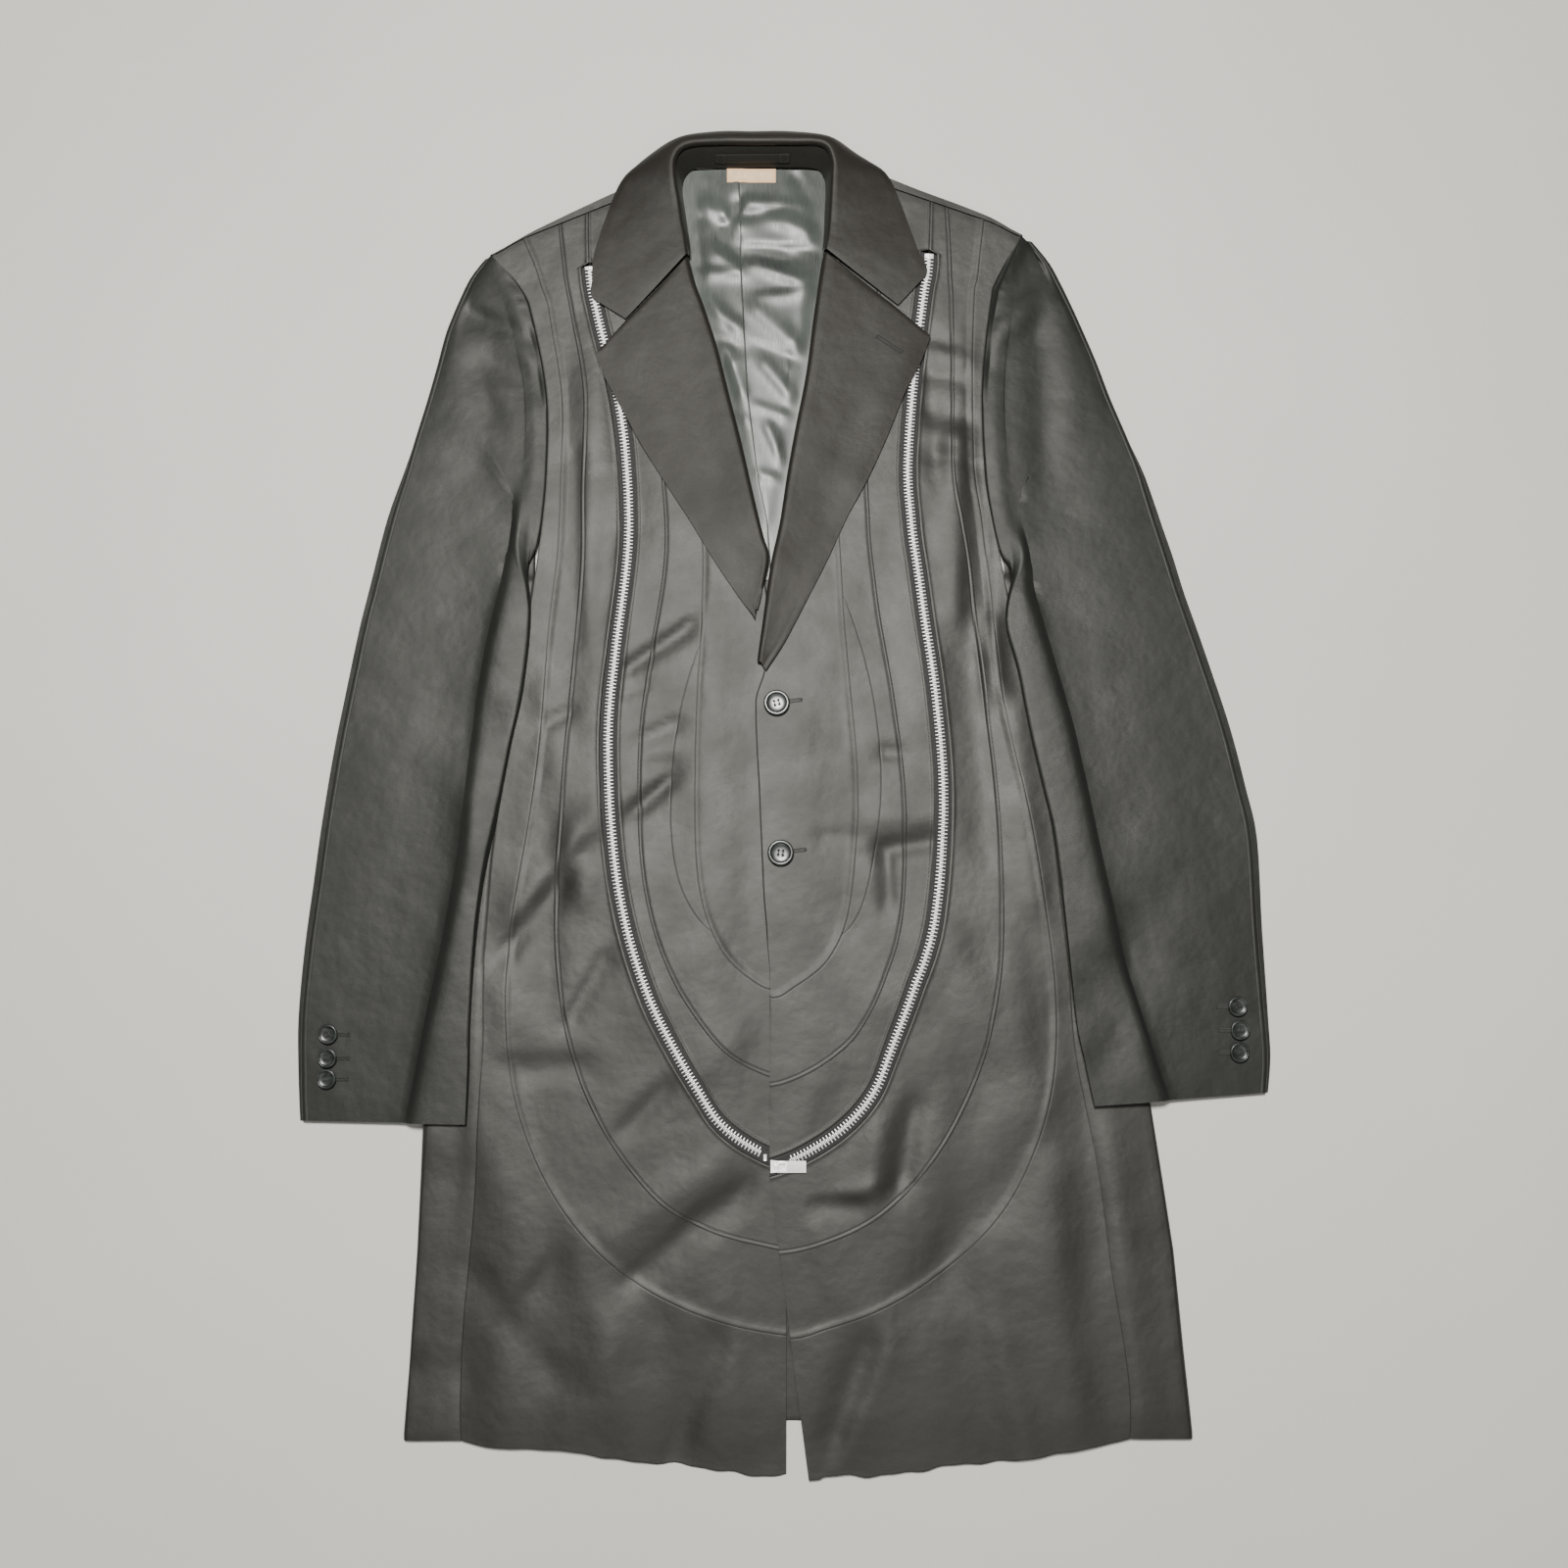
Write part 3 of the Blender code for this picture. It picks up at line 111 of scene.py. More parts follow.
FRONTS = {RIGHT: RIGHT_FRONT, LEFT: LEFT_FRONT}
HEM_CORNER = {RIGHT: 12, LEFT: 13}
ARMPIT = {RIGHT: 5.25, LEFT: 6.25}
CRESCENT = {RIGHT: (6.0, 9.5, 18.0), LEFT: (6.5, 10.5, 18.0)}
CRESCENT_TIP = 0.004
ZIP_TOP = {RIGHT: 0.75, LEFT: 0.7}
ZIP_END = {RIGHT: 14.25, LEFT: 15.4}
ZIP_MOUTH, SLOT_HALF, TAPE_SINK = 0.05, 6.6, 1.4
TAPE_OFFSETS = (-6.2, -5.6, -5.0, -4.7, -4.3, -3.9, -3.6, -1.8, 0.0,
                1.8, 3.6, 3.9, 4.3, 4.7, 5.0, 5.6, 6.2)
CORD_LINE, CORD_RISE, TAPE_CLOTH, TAPE_COLOUR = 4.3, 0.35, 0.7, (0.012, 0.012, 0.012)
TOOTH_SIZE, TOOTH_SINK = (4.5, 0.86, 1.5), 0.55
STOP_TEETH, STOP_TEETH_FROM = 4, 0.3
SWAY_FROM, SWAY, SWAY_REACH = -290.0, 0.133, 45.0
HEM_RUFFLE = ((1.1, 15.0, 0.0), (0.8, 6.1, 1.3), (0.5, 3.3, 0.0))
ROLL_INSET = 6.0
INSET_FADE = {RIGHT: (126.0, 100.0), LEFT: (82.0, 56.0)}

# Folds from (x1, y1) to (x2, y2), then rise (a trough is below 0), width and lean to one flank
BODY_FOLDS = (
    (-204, -128, -150, -58, -2.2, 11, 0),
    (-192, -96, -138, -30, 2.2, 13, 0),
    (-198, -212, -152, -214, -1.4, 10, 0),
    (-112, -254, -88, -230, -1.8, 9, 0),
    (-104, -358, -14, -292, -2.2, 11, 0),
    (-118, -330, -60, -290, 1.8, 13, 0),
    (-215, -368, -168, -422, -1.4, 13, 0),
    (-150, -330, -120, -440, 1.2, 16, 0),
    (-116, 82, -72, 114, -1.5, 9, 0),
    (-110, -24, -86, -2, -1.8, 8, 0),
    (-178, 60, -168, 10, 1.4, 12, 0),
    (74, -53, 104, -49, -2.4, 8, 0),
    (76, -64, 76, -90, -1.6, 8, 0),
    (70, -30, 108, -28, 1.6, 10, 0),
    (84, -288, 94, -246, -2.2, 10, 0),
    (60, -300, 66, -262, 1.8, 11, 0),
    (66, -412, 36, -478, 1.4, 14, 0),
    (108, 336, 116, 230, -1.3, 8, 0),
    (134, 330, 130, 250, 1.3, 9, 0),
    (152, 110, 160, 70, 2.0, 10, 0),
    (120, -120, 150, -190, 1.6, 16, 0),
    (180, -120, 186, -200, -1.2, 12, 0),
)
BODY_CREASES = (
    (-51, -411, -80, -484, -1.1, 9, 0.2),
    (55, -411, 36, -462, -0.9, 8, 0.2),
    (-124, -405, -160, -484, 0.9, 13, 0),
    (179, -272, 102, -367, -0.9, 13, 0),
    (150, -410, 168, -484, 0.8, 11, 0.2),
    (-230, -180, -222, -260, 0.8, 9, 0),
    (20, -330, 60, -390, 0.7, 12, 0),
    (-20, -180, -70, -220, 0.6, 11, 0),
    (-146, 330, -132, 210, 0.9, 9, 0.2),
    (-120, 300, -112, 190, -0.8, 9, 0),
    (-160, 240, -158, 110, -1.1, 8, 0.3),
    (-140, 60, -146, -60, 1.3, 12, 0.2),
    (-170, -40, -176, -150, -1.1, 11, 0.2),
    (-210, -160, -206, -290, 1.0, 13, 0),
    (-240, -300, -236, -430, -0.9, 14, 0),
    (-190, -330, -200, -470, 0.9, 15, 0.2),
    (-90, -400, -70, -480, -0.8, 13, 0.2),
    (-40, -380, -30, -470, 0.7, 12, 0),
    (-50, 30, -46, -90, 0.5, 16, 0),
    (40, 20, 46, -110, -0.5, 14, 0.2),
    (130, 250, 126, 130, 1.1, 9, 0.2),
    (150, 230, 150, 120, -1.0, 7, 0.3),
    (138, 80, 146, -40, -1.1, 10, 0.2),
    (172, 40, 182, -90, 1.1, 9, 0),
    (206, -180, 222, -330, -1.0, 13, 0.2),
    (240, -280, 256, -440, 0.9, 14, 0),
    (130, -380, 150, -480, -1.0, 13, 0.2),
    (190, -360, 206, -480, 0.9, 14, 0.2),
    (60, -200, 100, -140, 0.7, 12, 0),
    (30, -250, 70, -190, -0.6, 12, 0.2),
    (-116, 84, -75, 112, -0.9, 4.5, 0.35),
    (-118, 64, -107, 68, -0.8, 4, 0),
    (-103, 30, -85, 38, -1.0, 5, 0.2),
    (-97, 9, -87, 10, -0.8, 4, 0),
    (-107, -21, -87, -4, -0.9, 4.5, 0.3),
    (-174, 41, -163, 47, -0.9, 4, 0),
    (-199, -121, -151, -60, -0.5, 7, 0.4),
    (-160, -42, -152, -78, 1.0, 9, 0),
    (-155, -176, -134, -138, -0.9, 6, 0.3),
    (-194, -217, -154, -210, -0.3, 7, 0),
    (-110, -253, -92, -234, -0.35, 6, 0.3),
    (-102, -355, -59, -316, -0.45, 7, 0.4),
    (-59, -316, -18, -291, -0.35, 6, 0.4),
    (-223, -419, -168, -358, -0.9, 9, 0.3),
    (-132, 250, -140, 120, -0.8, 9, 0.2),
    (-150, 290, -150, 150, 0.9, 11, 0),
    (-176, -10, -190, -170, 0.9, 13, 0),
    (-122, -60, -100, -170, 0.7, 12, 0),
    (-60, -150, -30, -240, 0.6, 18, 0),
    (75, -53, 101, -49, -0.5, 5, 0.4),
    (75, -64, 76, -86, -0.35, 5, 0.3),
    (76, 18, 82, 18, -1.1, 4.5, 0),
    (105, 343, 124, 334, -0.7, 5, 0),
    (108, 312, 131, 306, -0.8, 5, 0.2),
    (112, 281, 138, 273, -0.7, 5, 0),
    (115, 246, 141, 242, -0.8, 5, 0.2),
    (120, 328, 136, 322, 0.6, 5, 0),
    (112, 262, 128, 258, 0.6, 5, 0),
    (156, 113, 155, 68, 0.8, 6, 0),
    (88, -250, 88, -285, -0.35, 7, 0.3),
    (49, -301, 63, -297, 0.9, 5, 0),
    (25, -310, 51, -310, -0.9, 5, 0.3),
    (62, -412, 34, -479, -0.9, 7, 0.2),
    (28, -44, 54, -44, -0.4, 3, 0),
    (96, 190, 104, 60, 0.7, 12, 0),
    (176, -150, 196, -330, 0.8, 16, 0),
    (140, -220, 120, -340, -0.8, 15, 0),
)
SLEEVE_CREASES = (
    (-234, 355, -190, 330, -1.5, 8, 0.3),
    (-222, 320, -192, 304, -1.2, 7, 0.3),
    (-212, 338, -192, 324, 1.0, 6, 0),
    (-237, 312, -225, 281, -0.9, 7, 0),
    (-234, 242, -223, 211, -0.9, 8, 0),
    (-242, 53, -220, 46, -1.3, 6, 0.2),
    (-240, 35, -219, 40, -1.0, 5, 0),
    (-238, 44, -224, 43, 0.9, 5, 0),
    (-240, -6, -233, -42, 1.2, 10, 0),
    (-290, 150, -302, -40, 1.1, 18, 0),
    (-262, 200, -274, 60, -0.9, 15, 0),
    (-320, -40, -318, -160, -0.7, 13, 0),
    (-268, -60, -276, -210, -0.6, 14, 0),
    (158, 355, 187, 402, -1.5, 9, 0.3),
    (156, 316, 182, 337, -1.2, 8, 0.3),
    (172, 350, 196, 372, 1.1, 8, 0),
    (197, 375, 200, 204, -1.1, 9, 0),
    (225, -153, 259, -86, -1.5, 9, 0.3),
    (232, -205, 258, -127, -1.1, 9, 0.2),
    (240, -110, 262, -60, 1.1, 10, 0),
    (240, 180, 262, 40, 1.1, 16, 0),
    (300, 60, 312, -60, -0.9, 14, 0),
    (280, -40, 292, -150, 0.8, 14, 0),
    (322, -100, 326, -160, -0.6, 10, 0),
)
LAPEL_CREASES = (
    (-110, 330, -70, 250, 0.5, 16, 0),
    (-84, 300, -52, 220, -0.4, 12, 0),
    (84, 320, 50, 230, 0.5, 16, 0),
    (58, 280, 26, 190, -0.4, 11, 0),
)

# Side folds: height along the body and how far out the fold lies
RIGHT_EDGE = ((186, 190), (151, 201), (106, 211), (54, 219), (9, 223), (-49, 228), (-114, 238),
              (-185, 251), (-256, 262), (-342, 264), (-412, 267), (-472, 270))
LEFT_EDGE = ((174, 164), (136, 177), (84, 191), (39, 203), (-5, 212), (-64, 223), (-136, 237),
             (-192, 253), (-241, 266), (-295, 273), (-342, 279), (-412, 284), (-472, 289))
BODY_EDGE = {RIGHT: RIGHT_EDGE, LEFT: LEFT_EDGE}
UNDERARM, ARMHOLE_STEP, UNDERARM_FADE = 28.0, 1.6, 40.0
CENTRE_BACK_X = -8.0
BACK_HEM = ((0, -460), (150, -464), (300, -470))
SHOULDER_LINE = ((-227, 406), (-198, 424), (-167, 440), (-137, 455), (-84, 479), (-25, 481),
                 (34, 483), (79, 470), (105, 459), (136, 447), (160, 437), (190, 424))
NECK_LEFT_X, NECK_RIGHT_X, NECK_FADE, SHOULDER_STRIP = -100.0, 54.0, 18.0, 3.2
SHOULDER_EASE, SHOULDER_REACH = 3.8, 34.0

# Tuck of a side panel under the armhole: how far up it goes, and how far below the panel
ARMPIT_TUCK = ((30.0, 3.6), (22.0, 3.4), (14.0, 3.1), (7.5, 2.6), (5.0, 1.8), (2.5, 0.9))

# Lining in the neck: height, edge of its right half, pleat, edge of its left half; then its wrinkles
LINING = (
    (478, -78, -36, 32),
    (458, -80, -35, 35),
    (436, -82, -34, 37),
    (404, -86, -34, 42),
    (367, -76, -32, 36),
    (330, -66, -30, 30),
    (295, -56, -28, 24),
    (262, -48, -24, 18),
    (228, -40, -20, 12),
    (195, -32, -13, 6),
    (168, -26, -11, 1),
    (150, -22, -10, -3),
)
LINING_WRINKLES = (
    (-37, 449, -46, 426, -3.0, 5, 0.2),
    (-30, 441, -8, 444, -2.2, 6, 0),
    (-28, 408, 3, 405, -2.4, 7, 0),
    (-69, 418, -66, 398, -2.2, 5, 0),
    (-74, 446, -67, 440, -2.0, 4, 0),
    (10, 470, 22, 452, -1.8, 6, 0),
    (-66, 452, -40, 436, 2.4, 7, 0),
    (-50, 408, -36, 396, 2.0, 6, 0),
    (-62, 372, -40, 352, 1.8, 6, 0),
    (-44, 330, -34, 300, 1.8, 6, 0),
    (-18, 444, 18, 428, 2.4, 8, 0),
    (-22, 402, 14, 386, 2.2, 7, 0),
    (-20, 362, 4, 340, 2.0, 7, 0),
    (-14, 318, 4, 296, 2.0, 6, 0),
    (-12, 268, -2, 244, 1.6, 5, 0),
    (-62, 462, -44, 418, -1.5, 6, 0.4),
    (-76, 395, -44, 393, 1.1, 5, 0.3),
    (-30, 452, 20, 448, 1.0, 5, 0.2),
    (-23, 414, 26, 412, -1.2, 5, 0.4),
    (-16, 374, 22, 378, 1.0, 5, 0.3),
    (-64, 342, -38, 334, -1.0, 5, 0.3),
    (-56, 316, -36, 322, 0.9, 4, 0),
    (-20, 334, 12, 322, -1.0, 5, 0.4),
    (-20, 286, 8, 276, 1.0, 4.5, 0.2),
    (-48, 284, -32, 276, 0.8, 4, 0),
    (-16, 232, 2, 226, 0.8, 4, 0),
    (-40, 440, -36, 410, -1.0, 4, 0),
    (4, 430, 14, 350, 0.9, 7, 0),
)

# Lapels: roll point, outer edge point, height of the roll and whether it turns into the front
RIGHT_LAPEL = (
    (-74, 402, -122, 350, 4.0, 1),
    (-72, 395, -145, 325, 4.0, 1),
    (-68, 380, -136, 304, 4.0, 1),
    (-61, 361, -122, 278, 3.8, 1),
    (-51, 329, -108, 252, 3.6, 1),
    (-42, 293, -90, 223, 3.4, 1),
    (-33, 257, -72, 195, 3.0, 1),
    (-24, 217, -54, 165, 2.6, 1),
    (-16, 183, -38, 141, 2.0, 1),
    (-11.5, 166, -31, 131, 1.8, 1),
    (-16, 140, -25, 123, 0.9, 0),
    (-19, 126, -22, 118, 0.2, 0),
)
LEFT_LAPEL = (
    (30, 406, 86, 361, 4.0, 1),
    (28, 397, 112, 340, 4.0, 1),
    (25, 377, 104, 319, 4.0, 1),
    (21, 348, 92, 295, 3.8, 1),
    (16, 309, 77, 258, 3.6, 1),
    (8, 267, 62, 225, 3.4, 1),
    (2, 233, 47, 197, 3.0, 1),
    (-4, 193, 33, 166, 2.8, 1),
    (-11, 159, 17, 134, 2.6, 1),
    (-17, 115, 0, 101, 2.0, 1),
    (-21, 86, -14, 79, 1.2, 1),
)
LAPELS = {RIGHT: RIGHT_LAPEL, LEFT: LEFT_LAPEL}

# Collar: neck seam, roll and fall edge points from the right gorge round the neck to the left
COLLAR_COLUMNS = ("seam_x", "seam_y", "roll_x", "roll_y", "edge_x", "edge_y", "crest", "edge_z", "hung")
COLLAR = (
    (-73, 405, -74, 405, -122, 353, 17.6, 0, 0),
    (-73.5, 412, -75, 413, -147, 369, 17.8, 0, 0),
    (-74.5, 421, -76, 421, -148, 384, 18, 0, 0),
    (-76, 431, -78, 431, -147, 403, 18.6, 0, 0),
    (-78, 445, -80, 446, -138, 434, 20.4, 0, 0),
    (-80, 459, -83, 462, -126, 465, 23, 11, 0.3),
    (-79, 470, -83, 477, -105, 487, 25, 6, 0.8),
    (-70, 479, -74, 486, -82, 500, 26, 3, 1),
    (-46, 479, -49, 488, -52, 505, 26, 3, 1),
    (-25, 480, -25, 488, -26, 505, 26, 3, 1),
    (-1, 480, 3, 488, 4, 505, 26, 3, 1),
    (24, 479, 28, 487, 36, 500, 26, 3, 1),
    (31, 471, 35, 476, 56, 488, 25, 6, 0.8),
    (32, 460, 35, 463, 78, 471, 23, 11, 0.3),
    (31.5, 446, 34, 446, 88, 450, 20.4, 0, 0),
    (31, 432, 33, 431, 96, 427, 18.6, 0, 0),
    (30.5, 421, 32, 420, 103, 407, 18, 0, 0),
    (30, 414, 31, 414, 109, 388, 17.8, 0, 0),
    (29, 409, 30, 409, 87, 364, 17.6, 0, 0),
)
STAND_FOOT = 4.2
COLLAR_ROLL = ((1.1, 3.4), (1.3, 2.2), (1.8, 0.9), (2.6, 0.2))

# Sleeves: rows that start at a ray of the armhole, then rows that start at the inner fold
RIGHT_HEAD = ((0.1, -233, 403), (0.5, -244, 388), (1.0, -252, 370), (1.5, -257, 357),
              (2.0, -262, 342), (2.5, -268, 316), (3.0, -275, 288), (3.5, -283, 259),
              (4.0, -290, 231), (4.5, -299, 199), (5.0, -306, 168))
RIGHT_ARM = ((-191.0, 148, -311, 143), (-190.0, 117, -317, 117), (-195, 65, -326, 65),
             (-203, 25, -333, 22), (-212, -29, -340, -32), (-221, -77, -345, -80),
             (-226, -127, -350, -128), (-228, -178, -353, -178), (-228, -214, -352, -216),
             (-229, -253, -350, -251))
LEFT_HEAD = ((0.1, 193, 417), (0.5, 206, 400), (1.0, 215, 382), (1.5, 222, 366),
             (2.0, 229, 349), (2.5, 240, 321), (3.0, 250, 292), (3.5, 261, 264),
             (4.0, 271, 237), (4.5, 277, 215), (5.0, 283, 193), (5.5, 288, 176),
             (6.0, 293, 159))
LEFT_ARM = ((169, 147, 297, 143), (164, 118, 305, 118), (173, 82, 316, 82), (181, 37, 329, 37),
            (190, -6, 339, -8), (198, -44, 346, -46), (205, -114, 348, -114),
            (211, -178, 351, -178), (216, -205, 352, -205), (223, -240, 350, -231))
SLEEVES = {RIGHT: (RIGHT_HEAD, RIGHT_ARM), LEFT: (LEFT_HEAD, LEFT_ARM)}
LIFT_FROM = {RIGHT: (162.0, 149.0), LEFT: (159.0, 148.0)}
LIFT_START, LIFT_RUN = 3.0, 16.0
SLEEVE_RISE, SLEEVE_LOFT, OUTER_SEAM, UNDER_LAP = 5.2, 1.2, 5.0, 15.0
SHOULDER_FILL, HEAD_FULLNESS, HEAD_PUCKER, FOLD_DROP, HEAD_BLEND = 0.85, 1.2, 0.28, 1.6, (300, 200)

# Buttons: radius and thickness, then centres; buttonholes reach this far from the button
FRONT_BUTTON, CUFF_BUTTON = (9.8, 3.2), (7.3, 2.6)
FRONT_BUTTONS = ((-6, 55), (-3, -57))
CUFF_BUTTONS = {RIGHT: ((-332, -189), (-332, -206), (-332, -221)),
                LEFT: ((330, -169), (331, -186), (330, -202))}
BUTTON_TURNS = (0.25, -0.1, 0.4, -0.3, 0.1, 0.35, -0.2, 0.5)
FRONT_HOLE_REACH, CUFF_HOLE_REACH = 18.0, 15.0
LAPEL_HOLE = (71, 338, 89, 326)

# Slider, pull and stop; the loop's distance off the stand; the label
SLIDER_X, SLIDER_Y = -4.6, -283.0
SLIDER_LENGTH, SLIDER_WIDTH, SLIDER_LOW, SLIDER_TOP = 11.4, 9.4, 7.0, 9.6
BRIDGE_RADIUS, BRIDGE_LEG, BRIDGE_WIDTH, BRIDGE_TOP, BRIDGE_SUNK = 1.6, 1.0, 3.0, 13.1, 0.3
HINGE_Z, PULL_BAR, PULL_LENGTH, PULL_WIDTH = 10.9, 1.4, 20.0, 8.4
PULL_EYE = (4.2, 4.0)
STOP_X, STOP_Y, STOP_SIZE = -14.2, -277.0, (2.2, 4.6, 2.2)
LOOP_X, LOOP_WIDTH, LOOP_OFF, LOOP_BOW, LOOP_HEIGHT = (-54.0, 4.0), 7.425, 1.78, 0.5, 0.55
LOOP_ENDS = (("right", 1, 5), ("left", 35, 39))
LABEL_X, LABEL_Y, LABEL_WALL = (-45.0, -7.0), (467.3, 478.6), 0.6

# How finely the cloth is laid out, and how its edges are finished
ROW_STEP, CELL_STEP = 4.5, 3.2
PLAIN_EDGE = (0.0, 0.35, 0.8, 1.5, 2.6)
WORKED_EDGE = (0.0, 0.35, 0.8, 1.4, 2.0, 2.5, 2.9, 3.3, 3.8, 4.8)
WELT_LINE, SLOT_LINE = 2.9, 2.2
EDGE_ROLL, WELT_RISE, SLOT_LIP, PROUD_RISE, FOLD_SINK = 0.15, 0.3, 0.4, 0.7, 0.5
GROOVE_DEPTH, GROOVE_WIDTH = 0.2, 0.45
GAP = 0.05
CREASE_DEPTH, CREASE_BREADTH, FOLD_END = 2.0, 1.4, 1.6
SEAM_EASE = 0.9
SEAM_SHARES = ((-1.0, 0.1), (-0.5, 0.2), (0.0, 0.4), (0.5, 0.2), (1.0, 0.1))
STITCH_PITCH, STITCH_LIFT, HOLE_STITCH_PITCH, LOOK_AHEAD = 3.0, 0.12, 0.55, 0.8
EDGE_NEAR_WIDTH, LEAST_WALL, RIM_TAPER, SHARP_ANGLE = 4.0, 0.35, 0.6, 42

# Walls of the dressed shells that are thinner than their solids
SIDE_CLOTH, SLEEVE_CLOTH, LAPEL_CLOTH, BACK_LIFT = 1.4, 1.35, 1.7, 0.1
COLLAR_CLOTH, STAND_CLOTH, LOOP_CLOTH = 1.8, 1.3, 0.8

# Limits on a sheet's worked-out size: its least side, and how full its rectangle may be
LEAST_SIDE, LEAST_ROOM, LEAST_FILL = 0.0101, 1.01, 0.32

# Lights: place and size in metres; then the colours of the lamps and of the sky
KEY_PLACE, KEY_SIZE = (-0.12, 0.5, 2.0), 0.4
FILL_PLACE, FILL_SIZE = (0.2, -1.3, 1.9), 1.6
LAMP_COLOUR, SKY_COLOUR, SKY_STRENGTH = (1.0, 0.985, 0.94), (1.0, 0.985, 0.95, 1.0), 0.07
CAMERA_PLACE, CAMERA_TILT = (-0.00005, -0.15074, 1.16128), math.radians(7)
CAMERA_LENS, CAMERA_SENSOR = 36.0, 36.0


# Sizes and colours that a user would change
class JacketCloth(bpy.types.PropertyGroup):
    wall: FloatProperty(name="Cloth wall", description="Thickness of the twill", default=0.0013,
                        min=0.0008, max=0.002, unit="LENGTH")
    twill_pitch: FloatProperty(name="Twill pitch", description="Distance between two twill lines",
                               default=0.0007, min=0.0004, max=0.0015, unit="LENGTH")
    body_colour: FloatVectorProperty(name="Body", description="Colour of the body twill",
                                     subtype="COLOR", default=(0.0124, 0.0123, 0.0110), min=0, max=1)
    facing_colour: FloatVectorProperty(name="Facing", description="Colour of lapels and collar",
                                       subtype="COLOR", default=(0.0142, 0.0126, 0.0110), min=0, max=1)
    sleeve_colour: FloatVectorProperty(name="Sleeves", description="Colour of the sleeve twill",
                                       subtype="COLOR", default=(0.0106, 0.0114, 0.0104), min=0, max=1)
    thread_colour: FloatVectorProperty(name="Thread", description="Colour of the sewing thread",
                                       subtype="COLOR", default=(0.016, 0.017, 0.016), min=0, max=1)


class JacketTrim(bpy.types.PropertyGroup):
    tooth_pitch: FloatProperty(name="Tooth pitch", description="Distance between teeth of one row",
                               default=0.0027, min=0.002, max=0.004, unit="LENGTH")
    metal_colour: FloatVectorProperty(name="Zip metal", description="Colour of teeth and slider",
                                      subtype="COLOR", default=(0.98, 0.98, 0.97), min=0, max=1)
    button_colour: FloatVectorProperty(name="Buttons", description="Colour of the buttons",
                                       subtype="COLOR", default=(0.010, 0.012, 0.011), min=0, max=1)
    satin_colour: FloatVectorProperty(name="Lining", description="Colour of the satin lining",
                                      subtype="COLOR", default=(0.060, 0.068, 0.063), min=0, max=1)
    label_colour: FloatVectorProperty(name="Label", description="Colour of the bare label",
                                      subtype="COLOR", default=(0.80, 0.60, 0.38), min=0, max=1)


class JacketStage(bpy.types.PropertyGroup):
    floor_colour: FloatVectorProperty(name="Floor", description="Colour of the floor",
                                      subtype="COLOR", default=(0.60, 0.585, 0.56), min=0, max=1)
    key_power: FloatProperty(name="Key light", description="Power of the light above the chest",
                             default=76.0, min=0, max=200, subtype="POWER")
    fill_power: FloatProperty(name="Fill light", description="Power of the light from below the hem",
                              default=13.0, min=0, max=200, subtype="POWER")


# Curves and small helpers
def smooth(value, start, end):
    """Goes from 0 at start to 1 at end, level at both."""
    share = np.clip((value - start) / (end - start), 0.0, 1.0)
    return share * share * (3.0 - 2.0 * share)


def hermite(before, first, second, after, share):
    """A smooth value between first and second, shaped by their neighbours."""
    slope_in = (second - before) / 2.0
    slope_out = (after - first) / 2.0
    cubed, squared = share ** 3, share ** 2
    return ((2 * cubed - 3 * squared + 1) * first + (cubed - 2 * squared + share) * slope_in
            + (3 * squared - 2 * cubed) * second + (cubed - squared) * slope_out)


def along(values, place):
    """Reads a smooth curve through evenly numbered values at a fractional place."""
    last = len(values) - 1
    start = min(int(place), last - 1)
    first, second = values[start], values[start + 1]
    before = values[start - 1] if start > 0 else 2 * first - second
    after = values[start + 2] if start + 2 <= last else 2 * second - first
    return hermite(before, first, second, after, place - start)


def straight(pairs, place):
    """Reads a table of pairs by straight lines, whichever way its first column runs."""
    rows = sorted(pairs)
    return float(np.interp(place, [row[0] for row in rows], [row[1] for row in rows]))


def refined(grid, steps, axis=0):
    """A grid with this many smooth steps between its rows, or between its columns."""
    values = np.moveaxis(np.asarray(grid, dtype=float), axis, 0)
    last = len(values) - 1
    fine = [along(values, step / steps) for step in range(last * steps + 1)]
    return np.moveaxis(np.array(fine), 0, axis)


def relief(folds, x, y, broad=1.0):
    """Height that soft ridges and troughs add at each point."""
    total = np.zeros(np.shape(x))
    for x1, y1, x2, y2, rise, width, lean in folds:
        run_x, run_y = x2 - x1, y2 - y1
        length = math.hypot(run_x, run_y)
        share = ((x - x1) * run_x + (y - y1) * run_y) / length ** 2
        beyond = np.maximum(np.maximum(-share, share - 1.0), 0.0) * length
        aside = ((x - x1) * run_y - (y - y1) * run_x) / length
        flank = broad * width * (1.0 + lean * np.tanh(aside / width))
        total = total + rise * np.exp(-(aside / flank) ** 2 - (beyond / (FOLD_END * broad * width)) ** 2)
    return total


# Fronts: rays, seams and heights
@functools.lru_cache(maxsize=None)
def front_value(side, column, place):
    index = FRONT_COLUMNS.index(column)
    rows = FRONTS[side]
    corner = HEM_CORNER[side]
    if column in ("bib", "rib", "zip", "outer", "ring"):
        values = [row[index] for row in rows]
        ease = min(SEAM_EASE, place, len(rows) - 1 - place)
        return sum(share * along(values, place + shift * ease) for shift, share in SEAM_SHARES)
    if column != "side":
        return along([row[index] for row in rows], place)
    if place <= corner:
        return along([row[index] for row in rows[:corner + 1]], place)
    return along([row[index] for row in rows[corner:]], place - corner)


def front_point(side, place, distance):
    """Point, or points, at a distance along the ray numbered place."""
    turn = math.radians(front_value(side, "turn", place))
    x = front_value(side, "x", place) + side * distance * math.cos(turn)
    y = front_value(side, "y", place) - distance * math.sin(turn)
    if side == LEFT:
        reach = 1.0 - smooth(x - front_value(side, "x", len(LEFT_FRONT) - 1), 0.0, SWAY_REACH)
        x = x + SWAY * np.maximum(SWAY_FROM - y, 0.0) * reach
    return x, y


